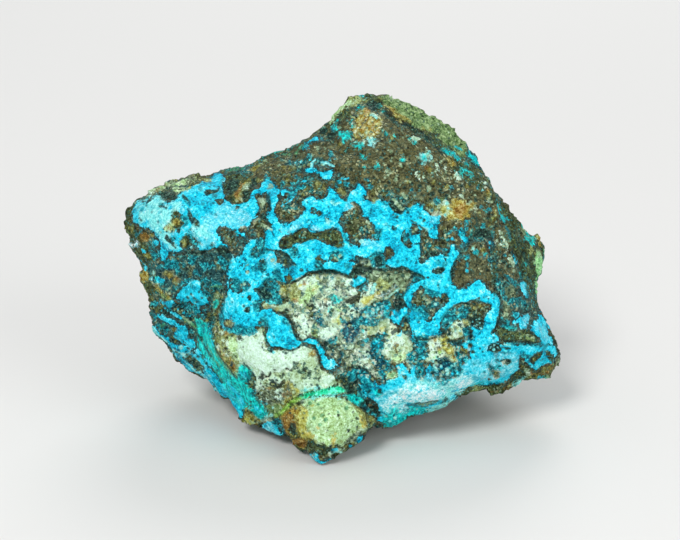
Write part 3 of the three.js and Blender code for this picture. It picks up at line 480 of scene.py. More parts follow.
P crust + 203,372 207,370.5 210,368 213,372 216,375 219,379 224,383 230,386 236,391 241,396 244,402 243,410 242,416 240,417 237,411 233,404 229,400 226,397 222,398.5 218,396.5 213,389 210,383.5 205,380
P crust + 194,349 198,349 201,352 201,356 197,355.5 195,353
P crust + 207,357 210,360 212,366 209,366 206,361
P green + 203,355 207,358 211,364 208,366 204,361
S teal + 219,384,0.8 228,391,0.9 236,400,0.8
S pale + 213,384.5,0.8 215.5,390,1 218,395,0.9
S dark + 212,383,0.8 215,387,1
D deep + 205,376,1.4 209,378,1.2 208,373,1 235,398,1 240,394,1.4 245,376,1.6 226,390,1 215,381,1
D pale + 206,379,1 211,375,1.2 202,369,0.8 203,373.5,0.8
P ochre + 143,290 147,289 151,295 153,301 157,304 163,302 166,303 163,309 158,312 152,311 148,313 147,306 146,299
P green + 157,292 161,292 165,295 170,298.5 176,300 170,300.5 164,299.5 159,297
D ochre + 160,290,1.6 163,302,1.8 161,306,1.2 158,286,1.2 151,309,1.4 155,312,1.2 177,285,1.6 174,280,1.6 178,290,1.2
D cream + 148,304,1.4 149.5,309,1.2 163,287,1 167,291,0.9 169,294,0.9 159,284,1.1 148,311.5,0.9 158,339.5,0.9 177,306.5,1.1 182,310.5,1 170,288,0.8 174,293,0.8 178,287,1 174.5,283,1
P deep + 148,301 154,302 158,305 155,308 149,306
P deep + 150,313 155,314 159,319 156,322 152,320
D crust + 152,316,1.3 161,299.5,1 156,304,0.9 163,281,1.6
P dark + 160,308 165,307 170,310 173,314 170,316 165,314 161,312
P dark + 172,305 176,302 180,304 186,309 190,312 194,318 190,322 184,319 178,320 173,315
S cream + 182,316,0.9 186,319,1.1 190,322,0.9
S cream + 178,310,0.6 180,314,0.7
S green + 184,318,1.2 190,323,1.4 196,327,1
D ochre + 180,312,1.6 176,308,1.4 185,322,1.2 193,320,1.2 194,327,1.4 190,326,1.1
S dark + 180,323,1 186,324,1.2 191,327,1.2 196,332,1.2 200,338,1.6
D deep + 187,315,2 192,315,1.6 182,306,1.8 199,322,2.6 202,326,2 204,331,2
D cream + 195,316,0.7 191,313,0.7 188,321,0.9 203,326,0.8 176,314,0.7
P dark + 199,336 203,337 204,341 200,342
S dark + 203,343,0.6 206,349,0.8 210,356,0.7
S green + 207,344,0.7 211,352,0.9 215,360,0.9 220,367,0.8
S green + 210,338,0.6 213,347,0.8 217,356,0.9 224,366,0.9 231,374,0.8
S crust + 209,330,0.6 211,338,0.7 213,346,0.6
P green + 212,296 216,293 221,294 224,299 221,305 217,309 212,306
P teal + 211,301 217,300 220,304 217,309 212,309
D ochre + 217,292,1.6 222,297,1.4 213,309,1.2 219,311,1.6 222,306,1 215,314,1.4
D cream + 217,295.5,0.9 212,304,0.9 214,310,0.9 223,302,0.8 216,317,0.8
D dark + 222,291,2 221,310,1 218,316,1 211,293,1.6 209,299,1.6 211,309,1.4 214,298,1.2 219,300,0.9 203,284,2 210,283,2.2 207,289,1.8
P deep + 200,281 208,280 216,281 222,284 218,288 210,288 204,287
P deep + 203,288 209,288 211,296 207,299 203,294
S green + 210,287,1 216,286,1.4 221,287,1.2
# middle
P crust - 262,262 300,283 352,276 352,262
P crust + 225,255 229,257 232,259 235,260 238,258 241,256 243,250 246,246 250,240 256,240 256,246 252,249 252,254 254,257.5 258,257 262,255 265,253 270,252 277,251 284,253 288,258 292,262 296,262 310,258 316,257 330,262 345,262 352,262 356,262 354,267 351,271 349,275 343,274.5 336,271.5 330,269.5 325,269.5 322,271 318,270.5 312,271 307,272.5 303,276 298,279.5 293,281.5 289,283 284,284 280,284 277,284 273,279.5 269,278 266,279 262,284 257,288.5 254,289.5 257,292 259,296 258,299 254,301 252.5,304 255,308 256,312 259,311 260,316 260,320 258,324 255,328 254,333 251,334.5 246,334 241,334.5 236,333.5 231,332 226,330 222,328 221,322 221,316 221,310 223,304 226,299 228,294 227,288 226,282 228,276 224,273 228,270 229,266 231,262 229,259
P crust - 276,251 281,251.5 285,253 288,256 291,260 294,264 291,265.5 289,268 285,267 283,264 279,263 276,262 278,258.5 280,256
S dark + 266,249,0.8 272,250.5,1.2 279,250.5,1.2 285,252.5,1.2 289,257,1.3 293,262,1 295,264.5,0.8
P deep + 251,249 258,246 266,248 270,251 264,253.5 260,256.5 255,258.5 250,256
D dark + 254,249,1.6 253,254,1.8 258,251,1.4 262,250,1.4 270,249.5,1 281,256,0
P crust - 260.5,259 265,260 266.5,264 265.5,270 262,272.5 259,270 257,266 258.5,262
P deep + 258,262 266,261 267,269 262,273 257,269
D dark + 263,262,1.8 262,269,1.2
S dark + 243.5,270,0.8 245.5,266,1.1 249.5,264.5,0.8
P deep + 251,267 256,267 259,270 257,272 253,270
D cream + 247.5,272,1.8 263,259,1 273,260,2 275,263,1.2 281,256,1.2 284,265,1
D crust - 247.5,272,1.6
P pale + 266,256 272,256 277,261 279,266 274,268 269,266 266,260
P crust - 290.5,249 294,247 297,249 297,254 295,257 292,254
P deep + 289,248 294,246 298,248 298,255 295,258 291,255
D dark + 295,250,1.4 301.5,270,1.8 307,269.5,1.2 272.5,272.5,1.2 266,272,1.1 276,273,0.8
P crust - 314,259 317,257 320,256 322,259 323,263 321,267 322.5,271 318,270 315,266 316,262
P deep + 315,262 320,262 324,266 323,271 317,271 314,266
P crust - 330,253.5 334,251.5 340,251.5 343,254 342.5,259 338,262 333,262 330,259
P deep + 330,253 336,250.5 343,252 344,258 340,260 337,256 332,256
D cream + 335,258,1.4 340,256,1.1 337,260,1 333,255,0.8
P crust - 285,277 288,274 291.5,275 292.5,279 289,283 286,282.5
D ochre + 289,278,2
P deep + 274,270 280,271 283,276 281,282 276,281 273,276
P crust - 275,277 280,279 285,283 280,285 277,284 274,281
S dark + 281,284,1.2 286,284,1.6 291,282,1.5 297,281,1.6 303,277,1.6 307,273.5,1.5 312,272,1.4 318,272,1.6 323,271.5,1.5 329,270,1.1 336,272.5,1.5 343,275.5,1.5 349,276.5,1.5
P deep + 321,273 327,272 330,276 326,279 322,277
# the dark hollow at the left of the cream
P deep + 261,284 265,279 269,277.5 273,279 277,283 280,288 279,295 282,299 285,302 282,305 276,304 270,303 266,301 262,299 259,295 255,291 253,289 258,289
P dark + 254,289 260,288 266,289 270,292 272,296 268,299 263,298 259,294
P dark + 263,284 267,280 269,284 268,289 264,288
D dark + 270,287,1.6 277,292,1.4 266,293,2
P green + 266,303 272,299 278,301 284,301 283,304 277,305 270,305
# grey patch and dots in the blue block
P crust - 229,280 233,278 238,279 241,282 244,280 248,282 250,286 247,290 243,292 238,293 233,292 230,288
P deep + 229,280 233,278 238,279 240,284 239,290 236,293 232,291 230,287
P deep + 241,282 248,281 251,286 247,291 242,291
D cream + 244.5,284.5,1.6
P green + 240,285 243,281 248,283 248,288 243,290
D dark + 242.5,297,1.1 249.5,298,1.6 247,309.5,2.2 229,309,0 233,320,0.8 226,296,1.6 224,289,1.5 223,300,1.5
D crust - 247,309.5,2.2 249.5,298,1.8
P crust - 223,321.5 227,320 231,322 234,326 231,329 226,327 223,324.5
D ochre + 228,323,2.2
P deep + 224,327 232,328 238,324 246,328 252,326 256,330 252,335 242,335 232,333 224,330
P deep + 252,303 257,301 262,302 260,306 259.5,312 255,312.5
P deep + 222,300 226,302 224,312 225,320 221,324 220,310
D deep + 236,312,1.4 240,303,1.2 232,302,1.2 238,330,2.4 247,331,2.6 251,296,1.4 230,270,1.6 240,275,1.6 256,281,1.2 262,277,1.4 247,262,1.6 284,270,2 296,266,1.6 305,262,1.2 300,255,1.2 290,271,2
# cream of the hollow
P khaki + 281,285 288,284.5 296,283 301,281 307,276 313,273.5 319,274 323,279 330,276 337,275 342,276 340,282 330,292 330,300 322,306 315,300 308,296 304,299 298,300.5 292,299.5 287,297 281,293
P cream + 297,284 303,281 308,277 314,275 319,276 321,282 324,288 322,294 316,296 310,296 304,300 299,300 303,292 301,287
P khaki + 306,306 314,300 324,298 330,300 334,296 342,298 348,304 338,306 330,308 322,312 314,312
P cream + 262,304.5 268,303 273,305 278,306.5 283,303 288,300.5 294,301 300,302.5 304,306 306,310 302,313 296,312 290,311 286,309 282,312.5 276,310.5 270,309.5 264,310
P cream + 289.5,314 294,312 300,313 306,314 310.5,317 311.5,323 310.5,329 308,334 306,339 303,341 300,339.5 299,334 300,329 298,325 295,321 292,318
P cream + 322.5,329.5 326,325.5 331,325 335,328 337.5,332 334,337 328,339 324,336
P cream + 312,286 318,290 324,294 330,290 336,292 334,298 326,302 318,300 312,296
P cream + 311,326 316,330 320,334 318,338 312,337 309,334
D ochre + 277,309.5,2 288,286,2.4 292,291,2.6 285,290,2.4 296,288,2 299,294,2 307,282,1.6 312,289,2 266,307,2 300,309,1.5 328,332,0
D cream + 283,306,1.4 316,312,2 313,320,1.4 326,308,2 330,313,2 323,308,1.2 336,298,1.4 329,303,1.4 318,345,1.4
P dark + 306,306.5 308,303 311,300.5 313,305 314,309 310,310.5 307,309.5
P dark + 317,320 320,319 323,322.5 322,327.5 319,327.5 316.5,324
P deep + 317,313.5 320,312 322.5,316 323.5,322 322,327 319,327 315.5,323 315,318
S dark + 325.5,324.5,0.9 328,322.5,1
S dark + 310,311,0.6 316,314,0.9
D dark + 288,289.5,1.8 286.5,310,1.8 289,312,1.2 301,296.5,1.4 298,327,1.1 299.5,331,0.9 317,301,1 320,297,1 314,308,1.2 325,318,1 333,310,1 336,317,1.1 330,318,1 320,305,1 327,297,1.2 340,303,1.5 343,308,1 324,313,1.2 312,316,0.8 318,339,1.2 313,333,1 341,320,1.1 336,323,1 334,340,1.6
P speckle + 304,284 312,276 322,276 332,276 345,278 350,290 350,300 360,318 362,330 366,345 350,352 340,345 330,352 322,345 316,336 312,328 314,316 306,312 300,304 302,294
P dark + 322,340.5 328,338.5 333,338 337,340 340,343 337,347 333,349.5 327,352 324,348.5
P deep + 333,337 338,336 339,340 335,341
S cream + 327,346.5,0.6 333,343.5,0.9 340,340,0.6
# the blue band that steps down through the cream
P crust + 259,312 262,310.5 268,310 272,311 277,314 283,316 287,319 290,323 292,328 293,333 296,338 300,341 303,341 306,339 310,337 314,337.5 318,341 321,346 324,350 326,355 328,359 331,360 335,358 338,361 338.5,366 334,370 329,370 325,368 322,363 320,356 318,350 315,346 310,344 305,342.5 302,343 299,346.5 295,349 290,349.5 285,348.5 280,347 274,347 269,346 267,342 266,336 267,331 268,326 266,321 262,318.5 260,316
S dark + 273,310.5,0.8 279,313.5,1.1 285,316,1.4 290,320.5,1.6 293.5,327,1.8 294.5,334,1.5 298,339.5,1.3 303,341.8,0.8 308,338,0.7 313,336.5,0.8 318,340,0.9 322,345,1 326,351,1
S dark + 266.5,341,0.8 269,346.5,1 274,347.8,1.1 280,348,1 286,349.5,1.1 291,350.5,1.1 297,348.5,1.1 302,343.5,0.9 308,344.5,0.8 313,346,0.9 317,350,1.1 319.5,357,1.3 322,364,1.3
P deep + 283,319 288,321 292,327 293,333 290,333 287,328 284,324
P deep + 260,318.5 264,318 268,320 269,326 268,332 266,332 265,326 260,326
P green + 259,321 263,319 266,322 266,327 262,326
S green + 263,328,0.8 265,334,1 265.5,341,0.9
D deep + 274,337,1.8 277,335.5,1.4 282,340,2 273,343,1.6 287,345,1.2 296,345,1 265,314.5,1.8 270,316,1.4 333,364,1.4 276,343,2
D crust - 270,350.5,2.2
D dark + 270.5,350.5,1.4
P deep + 268,348 273,348 274,352 269,353
# right middle
P crust - 356,256 362,257.5 368,258 371,254 376,252 382,252 385,255 388,257 386,260 384,262 385,266 380,271 350,271 354,266 357.5,262
P crust - 419,232 422,228.5 427,231 430,236 434,240.5 437.5,238 438,233 436,231 438,226 441,222 442,216 448,216 456,240 452,246 449,252 446,256 444,254 441,250 441,253 439,256 434,257 428,257 425.5,262 424,266.5 421,264 419,259 421,256 420,250 420,240
P crust + 428,227.5 432,229.5 436,231.5 437,236 435,239 432,238 430,234
P crust + 425,262 428,258 434,257 440,256 444,257 447,262 451,270 450,276 452,282 456,288 462,290 462,300 454,308 449,311 445,315 442,319 440,323 441,329 442,338 412,338 411,328 409,322 410,318 407,314 409,309 406,304 403.5,300 402.5,297 404,294 408,288 412,283 418,281 423,279 428,277 425,278 421,274 417,273 412,271 407,267 401,266.5 395,268 391,268 388,267 385,265 384,262 387,259 391,259 395,255 400,250 416,250 420,256 419,260 421,265
P crust - 433,271.5 435,268 439,267 444,266.5 446,269 444,272 440,274.5 436,274.5
P dark + 434.5,271.5 436,269 440,268 444,267.5 444.5,269.5 442,272 439,273.5 436,273.5
P dark + 425,252 430,250.5 436,251 440,252.5 438,255 433,256 428,256 425,258
# island C
P crust - 352,201 356,203 360,206 363,210 364,215 368,217 371,220 374,224 375,228 381,229 382,232 380,236 379,240 375,240.5 371,240 366,239 363,240 363,245 359,247.5 355,247 351,245 349,241 346,235 343,231 340,227 339.5,222 341,217 344,213 348,210 350,208 353,206 351,203
P deep + 374,229 381,229.5 381.5,233 379.5,238 376,240 374,236
D pale + 361.5,241,2
D crust + 361.5,241,1.8
D cream + 361.5,241,1.8 358,226,1.4 367,222,1.6 369,224,1 349,213,1.1 352,222,1 364,228,0.9 371,228,1.1 346,215,1
P pale + 364,242 370,240.5 377,242 380,245 375,247 369,246 365,246
S deep + 343,233,1.4 347,240,1.6 352,246,1.2
D crust - 394.5,228.5,2.6
D deep + 394.5,228.5,2.2 386,224,1.5 389,226,1.3 347,266,2.8 353,256,1.6 398,262,2 403,260,1.5 396,268,0
D dark + 394.5,228.5,1.2
# small island and the dark blue hollow
P crust - 384,248.5 386,245.5 390,246 393,249 394,254 391,258 388,257 385,254
P dark + 390,248 393,250 393.5,254 391,257.5 389,254
D cream + 388,250,1.3 387,253,1
P deep + 371,254 376,252 382,252.5 387,256 386,260 386,266 388,269 380,268 373,266 370,260
P dark + 374,258 380,256 383,260 382,266 376,266
# ring island
P crust - 409.5,225 413,222.5 417,225 420,229.5 419.5,234 415.5,236.5 411.5,235 409,231
P crust - 404,231 407,228 409.5,229 410,233 408,236 409,240 411,243 411,247.5 408,248.5 404,245.5 401,240 402,235
P deep + 402,233 406,229 410,229 411,235 409,240 404,244 401,239
D crust + 407,231.3,1.9
D cream + 416,229,1.2 413,232,1 409,245,1
D dark + 409,243,1.6 410,247,1.4 417,233,1.2
S dark + 411,220.5,0.5 416,223,1.1 421,227,1.2 425.5,230.5,1 429,234,0.6
S cream + 423,227,0.5 427,230.5,1 429,232.5,0.6
D dark + 419.5,216.5,1 421,218,0.9 424,220.5,1.5 408,212.5,1.3 397,217,1.3 393,215,1 431,229,1 434,228,1 428,259,1.6
D deep + 408,210,2.4 402,205,0 424,220,2 396,217,2 432,210,2 438,222,1.8 430,246,1.6 445,264,3 438,262,2.6 448,256,2 441,277,1.8 433,280,1.5
P pale + 430,211 436,211 439,216 437,222 432,222 430,217
D cream + 430,210,1.6 427,208,1.3 434,209,1.3
# column of matrix on the right
D dark + 422,262,1.6 424,245,1.6 427,236,1.4 424,254,1.4 432,244,1.6 440,240,1.4 444,232,1.4
D cream + 422,257,1.2 425,240,0.9 424,232,1 429,239,0.8 436,246,1 445,246,1 453,238,1
# rim of the hollow: the ridge and island D
P crust - 411,298 414,293 418,289 421,285.5 424,289 428,292 433,295 438,296 443,294 447,293.5 449,297 448,302 445,306 441,309 437,312 434,316 430,320 426,322.5 424.5,319.5 428,317 427,313 422,309 416,308 412,307 410,302
P deep + 411,305 418,305.5 424,307 429,311 431,316 427,320 423,316 417,312 412,310
P deep + 422,284 428,287 434,292 440,293 442,297 436,297 430,295 424,291
S deep + 437.5,283,1 439,289,1.3
D deep + 429,283,1.8 446,287,1.6 449,280,1.6 415,318,1.6 420,318,1.8 418,322,1.4 436,304.5,3.2 447,262,1.5 424,274,0 427,325,1 449,300,1
D dark + 418.5,321.5,1.3 438,285,0.9 409.5,311,1.8 409,314,1.2
D cream + 435.5,304,2.2 421,292,1.4 424,298,1.2 417,301,1.6 428,303,1.2 413,302,1 440,303,1 434,312,1.2 430,318,1.4 431,310,1
D pale + 435,304,1.6
D crust + 436,304.5,1.2
P dark + 443,296 446,294.5 448,297 446,301 443,300
P dark + 424,309 430,311 434,313 431,316 427,313
# overhang below the crust edge
S dark + 350,276,1.6 354,270,1.8 359,265,1.8 366,268,1.2 374,269,1.6 382,270,1.8 388,269.5,1.6 395,269.5,1.4 402,268,1.8 407,269,1.8 412,273,1.6 417,275,1.4 422,276,1.3 425,279,1
P deep + 413,273 420,274 425,278 420,281 414,283 412,278
S dark + 420,280,0.6 412,284.5,1 407,290,1.2 403,295.5,1.2 402,298,1 404,302,1 408,308,1 410,312,1.2
# the hollow
P khaki + 366,272 376,270 388,271 400,271 408,272 413,278 412,283 405,292 398,290 391,297 380,303 372,306 365,312 360,306 363,299 370,290 366,286 368,280
P cream + 361,259.5 366,258 371,260.5 372,264.5 369,267 364,266 361,263
D dark + 367,262.5,1.6 363,264,1 370,266,1
P dark + 356,266 366,268 374,270 372,276 366,280 366,274 358,274 352,276
P crust + 349,280.5 352,279 355,279 358,276.5 362,275 365,277 366,280 363,283 359,285 355,287.5 351,285.5 348.5,282.5
D deep + 357,280,2 352,283,1.5 363,286,3 366,288,3 361,290,2.2 367,283,2
S dark + 347,278,1 351,276,1.4 356,273.5,1.5 352,277.5,1
S dark + 366,282,0.8 360,286.5,1 355,289,1.2 350,286,0.8
P cream + 330,277 336,276.5 341,274.5 345,277 347,281 350,285 355,288.5 354,292 350,295 345,296 340,293 335,290.5 330,288
D dark + 334,281,1.2 332,279,1 337,286,1.1 341,282,0.8 344,288,1.1 347,291,1 333,287,1.3 339,290,1
P dark + 350,296 355,290.5 362,291 368,290 366,294 360,299 352,303 345,300 336,298 341,295
P cream + 362,313 360,305 364,298 370,291 374,286 378,280 382,278 384,282 381,288 380,294 379,300 372,304 367,310 364,316
P ochre + 370,296 376,292 381,293 381,299 374,302 369,303
D pale + 373,288,2.4 372,292,2.4 375,284,1.6
D cream + 375,272,2.6 378,271.5,1.8 371,275,1.6 367,273,1.4 385,275,1.6 387,279,1.2 406,277,2.6 409,275,1.6 394,281,2 398,284,1.6 403,284,2.4 400,280,1.4 391,277,1.4 390,283,1.6 396,276,1.2 385,286,1 386,290,1.2 404,289,2 401,287,1.6
S cream + 385,299,1 391,295.5,1.3 396,290,1.5 400,288,1.4
S pale + 387,298,0.6 392,294.5,0.9 399,288.5,1
S dark + 385,302.5,1 390,298.5,1 394,293.5,0.7
D dark + 384,292,2 382,287,1.4 378,290,1.4 390,288,1.4 388,275,1.6 396,273,1.6 403,276,1.8 400,292,1.2 412,277,1.6
P dark + 397,292.5 401,296 403,301 405,306 401,309 398,312.5 394,309.5 392,305.5 393,300
P deep + 394,294 399,291 403,296 404,300 399,298 394,301
P crust + 392,308 395,310.5 398,312.5 401,309.5 405,306.5 408,308 408,311 406,314 404,318 401,322 399,326 396,324 393,322 391,319 391,313
P deep + 404.5,314 408,316.5 410,321 408.5,325 403,327 400.5,324 403,319
P dark + 405,317 407.5,319 408,323 404,324.5 403,321
P crust - 405,314 408,314 410,321 409,327 411,335 402,335 400,325 403,319
D ochre + 406,325,2.2 405,329,2
D cream + 407,325,1.4 409,329,1.3
P cream + 343,312 347,308.5 353,308 356,312 355,318 350,321.5 345,319.5
D cream + 335,306,2.4 333,322,2.8 338,320,1.6 340,301,2 332,300,1.8 345,304,1.4 352,304,1.2 341,313,1.4 333,313,1.8 337,314,1.4 357,305,1.6 331,329,2.2 337,327,1.6 359,323,1.6 362,321,1.4
P deep + 342,324 346,321.5 351,322 354,325 358,328 357,337 341,337 339,330
P dark + 344,325 350,323.5 353,328 352,334 346,336 343,331
P deep + 333,302 338,304 341,308 340,314 336,317 331,312
P deep + 345,303 351,303 356,307 350,307 344,310 342,306
P cream + 364,316 370,311 377,307 382,305 386,306 380,311 374,315 368,319.5
D pale + 378,309,1.8 373,313,2 368,316.5,1.6 382,306.5,1.2
P deep + 368,323 374,320 380,319 384,316 386,319 380,323 374,326 369,327
P deep + 380,303 386,301 391,303 391,309 390,318 386,312 382,308
S deep + 358,316,1.4 364,320,1.6 368,318,1
D cream + 382,324,3.4 386,321,2.4 372,331,3.4 377,328,2.4 368,329,2 388,326,2 363,327,1.8
D ochre + 381,325,2.2 372,332,2.2 376,329,1.6 369,335,1.4
P cream + 386,322 391,322 395,325 398,329 397,335 388,335 386,329
P pale + 389,324 393,325 396,329 396,334 390,334 388,329
D dark + 386,331,1.4 369,329.5,1.1 380,331,1 392,329,1 384,319,0.9
P deep + 443,314 449,309.5 453,308 452,313 449,320 446,328 441.5,330 441,322
D crust + 358,331,2 342,331,2.2 366,322,1.4 387,308,2.2 399,330,2.6 399,334,2.6
# lower right
P crust + 449,300 452,295 456,290 460,289 465,289 469,286 471,283 475,282 479,280.5 482,282 485,285 488,290 491,293 495,294 497,297 499,301 499.5,308 499,314 497,320 495.5,327 492,331 491,336 493,340 497,343.5 505,343.5 512,343 520,344 530,344.5 540,345 550,345 553,346 556,349 557,353 555.5,358 553,361 549,362.5 545,363.5 541,366.5 539,369.5 535,370.5 531,367 528,362 524,358 521,355 519,358 519,364 519,369 515,374 510,379 506,384 500,387 494,388.5 488,390 480,391.5 472,391.5 466,393 461,395.5 456,398 450,401 441,405 430,408 420,412 410,414 402,418 396,422 390,424 384,420 380,414 378,406 377,398 378,390 382,384 388,380 396,378 404,382 412,384 420,384 428,381 434,379 440,382.5 444,385 447,381 450,378.5 455,378.5 459,377 461,372 461,366 464,362 468,358 469.5,355 468,350 465,348 462,345 466,342 470,338.5 472,333 470,329 470,325 469,321 470,312 478,304 470,301 465,302 461,302 458,304 454,307 450,311 445,315
P crust - 450,311 454,307 458,304 461,302 465,302.5 468,302.5 471,300.5 476,299.5 480,301 486,303 491,304 494,304 493,308 490,311 487,314 485,318 484,324 483,329 480,330.5 476,328.5 472,325.5 470,321 470,328 466,332 462,338 455,344 448,340 441,330 442,318
D dark + 479,298.5,1.3 484,297.5,0.8 476,299.5,1 487,296.5,0.8
D cream + 479.5,299,0.8
P dark + 470,318 474,316 478,318 483,319 484,324 482,329 479,330 475,328 471,325 469,321
D pale + 476,319.5,0.8 480,323,0.7 477,325,0.7 481,328,0.8 473,322,0.7 479,319,0.6 474,326,0.6
D crust + 476,319.5,0.8 480,323,0.7 477,325,0.7 481,328,0.8 473,322,0.7
P crust - 488,346.5 491,344 495,343 499,345 500,350 497,353 492,352 489,350
P dark + 488,346.5 491,344 495,343 499,345 500,350 497,353 492,352 489,350
D pale + 491,347,0.9 494,345,0.8 497,347.5,0.9 494,349.5,1 498,350,0.6 490,349,0.6
D crust + 491,347,0.8 494,345,0.7 497,347.5,0.8 494,349.5,0.9
S dark + 501,347,0.9 505,347.5,1.2 510,348.5,1.2
S pale + 500,344.5,0.8 505,345,1 510,345.5,0.7
D deep + 505,352,2 509,353,1.2 497,361,2.2 498,366,2.2 474,364,1.6 530,356,1.6 524,353,2 490,384,1 484,372,1.4 470,384,0 494,338,1.4 478,340,1 485,345,1.2
D crust - 470,345.5,1.9 473,352,1.6 496,356,1 488,380,1.1
D dark + 470,345.5,1.4 473,352,1.1 476,356,0.8 496,356,0.9 488,380,0.9 460,356,0
P crust - 458.5,348 463,348 467,351 468,354.5 464,354.5 460,352
P crust - 501,361 505,360 509,358.5 511,361 509,364.5 505,365 502,363.5
P dark + 503,361 507,360 510,360 509.5,363.5 505.5,364.5
S pale + 504.5,367,0.7 508,364.5,0.8
P crust - 489,366 491,366 494,369 498,370 499,374 497,378 493,378 491,374 489,370
P deep + 488,364 492,365 495,368 492,372 490,371
P deep + 496,366 500,364 502,367 499,370
D ochre + 495,373,2.2
P crust - 529,360 532,358 535,355 538,352 541,352 543,353 540,357 537,360 533,362 530,362
S dark + 529,361,0.8 532,358,0.8 536,354,0.9 541,352,0.9
S dark + 541,360,0.9 543,359,1
D ochre + 539,354.5,1.5 534,359,1.4
P crust - 546,351.5 549,352 552,355 553,358.5 550,358.5 547,355
D dark + 547,352,1 551,357,1
P deep + 524,352 529,355 530,359 526,360 522,356
S deep + 505,343.5,1.4 515,344,1.6 526,344.5,1.6 538,345,1.4 550,346,1
S dark + 491,334,0.9 493.5,329.5,1.2 497,333,1.3 500,339,1.4 504,341,1.3 512,342,1.3 522,342,1.2 532,343,1.1 539,342,0.7
P crust + 493,338 495,333 498,335.5 500,340 496,342
S dark + 500.5,298,1 500.5,306,1.2 500,314,1.3 498,322,1.4 495.5,329,1.2
S dark + 494.5,262,1 494.5,276,1 495.5,288,1.2 498.5,296,1.3
D deep + 503,292,2.8 505,298,2.4 497,288,1.8
# right block
P crust + 520,284 523,282 526,282 527,286 529,291 530.5,297 527,298.5 524,295.5 521,292 522,288
P deep + 526,284 531,288 534,294 532,300 528,298 528,290
P crust + 519,318 523,315.5 528,313.5 529,319 529,325 525,328.5 521,329.5 519,325 513,324 511,321 515,320
P crust + 512.5,314 516,312 519,314 518,318 514,318.5
D deep + 515,315,3 513,300,3 519,299,2.6 510,303,2 524,303,2.4 508,322,2.4 508,326,2.6 514,326,2 503,326,2 502,318,1.6 520,276,2.4 524,278,1.8 503,308,0 516,306,2.2
D crust + 508.5,324.5,1.2
S deep + 505,275,1.6 510,279,2.2 515,284,1.8
S deep + 498,282,1.6 497,286,1.6
P crust + 537,310.5 541,310 543,314 542.5,318 545,322 548,326 550.5,330 551.5,335 551.5,340 550,345.5 543,345 541,339 537,336 533,333 530,331 532,327 535,325 538,321 539,316
P crust + 525,350 530,350 540,349 550,348 554,350 554,354 545,350 536,351 530,354
D dark + 505,334,1.6 513,336,1.6 520,334,1.4 531,322,1.8 534,318,1.6 502,322,1.4 509,290,2 505,284,2 500,270,2 509,266,2 516,290,1.6 528,276,2 524,270,2 530,306,1.6 534,300,1.8 501,331,1.5 510,296,1.2 505,276,1.4 530,336,1.2 536,340,1.4
S dark + 544,313,0.8 547,320,1.3 550,326,1.3 552,332,1
S dark + 553,338,1 556,345,1 559,351,1
D cream + 505,303,1.8 507,314,1.8 503,316,1.2 509,318,1.2 505,297,1 536,303,1.2 533,306,1.2 500,284,0 515,325,1.4 520,338,1.2 510,333,1.2 527,335,1.2 533,338,1.5 536,305,1 498,330,0.9 527,302,1 514,271,1.4 510,262,1.6 512,266,1.2 500,262,1 505,268,0.9 519,265,1 532,311,1.2 535,313,1
P khaki + 500,326 506,330 514,331 524,329 530,332 536,335 540,339 536,341 524,340 512,341 504,339 500,333
P khaki + 504,286 512,284 518,290 516,298 508,300 503,294
P khaki + 503,305 509,303 512,312 508,320 502,318
P khaki + 531,303 536,301 540,306 538,310 532,314
# right block, upper matrix
P olive + 496,250 504,246 511,250 514,262 520,274 518,284 506,284 498,276
# island E
P deep + 448,312 452,309 456,312 452,318 452,326 446,330 442,328 443,320
P khaki + 456,308 462,306 464,314 460,320 456,322
D ochre + 457,313,1.8 464,320,1.6 474,308,2 480,306,2 470,314,1.6
P dark + 463,304 468,303 470,306 467,309 463,308
D dark + 475,304,1.5 486,307,1.4 490,306,1.2 470,311,1.8 462,312,1.2 474,312,1.4 446,325,1.8 468,317,1.6
D deep + 462,307,2 467,310,2.2 460,316,2.4 464,316,2 446,320,2.6
S dark + 450,310,1 456,305,1 461,302.5,1 466,303,0.8 471,301,0.8 477,300.5,1 484,302.5,0.8 491,304.5,0.9
D cream + 478,307,1.1 483,309,1.2 481,303,0.9 476,312,1 487,311,0.9 465,305,0.8 472,316,0.9
P cream + 449,326 453,322.5 458,321 464,320.5 469,322 468,325 464,328.5 464,333 462,337 457,338 452,339.5 448,340 446,337.5 452,334 450,330 448,328
D dark + 458,324.5,1.1 455,333,0.9 461,327,1 465,325,0.8 452,329,0.8
D pale + 452,327,1.6 456,331,1.5 460,331,1.2
S dark + 441,331,1 446,331,1.2 450,330,0.8
S dark + 431,339,0.8 437,335.5,0.9 444,333,1 448,332,1
P deep + 463,329 468,328 473,331 473,338 470,342 466,340 464,335
S dark + 469,328.5,0.8 471,333,1.8 471,338,1.2
P cream + 430,341 436,338 441,335.5 446,336.5 448,341 452,344 456,348 455,354 457.5,360 453,363.5 448,360 444,357.5 438,359.5 434,362 428,363
D ochre + 446,340,2.4 449,346,2.2 446,350,1.6 452,352,1.6 455,360,1.8 460,333,2 452,336,1.6 466,323,1.6 431,338,1.6
D dark + 449,341,1.5 453,342,1.2 442,354,0.9 438,357,1.2 444,360,1.2 434,354,0.8 450,355,0.8 432,364,1.2 440,363,1.5
P deep + 447,340 452,341 457,340 462,338 464,343 461,347 459,352 462,356 469,357 466,361 461,363 457,360 455,352 457,347 453,343
P dark + 448,340 454,341 460,339 462,343 459,347 456,343
D dark + 461,352,1.8 465,354,1.4 457,349,1.2
D ochre + 462,350,1.8 466,352,1.6
P deep + 431,367 436,361 442,359 449,361 456,363 461,363 461,372 459,377 452,377.5 448,380 446,385 443,384 440,382 436,379 432,375
S pale + 433,365,0.8 437,371,1
S pale + 454,363,0.7 457,370,1
D pale + 447,370,2.4 447.5,374,1.5 441,366,1.2 452,366,1 445,382,1
D cream + 447,370,2.2 443,372,1.2 436,363,1.4 452,361,1.4 441,376,1 450,373,1.2
D crust + 447,370,1.2 452,374,1.8 456,368,1.2 437,371,1.6 442,368,1.4 445,381.5,1.2 458,372,1.4
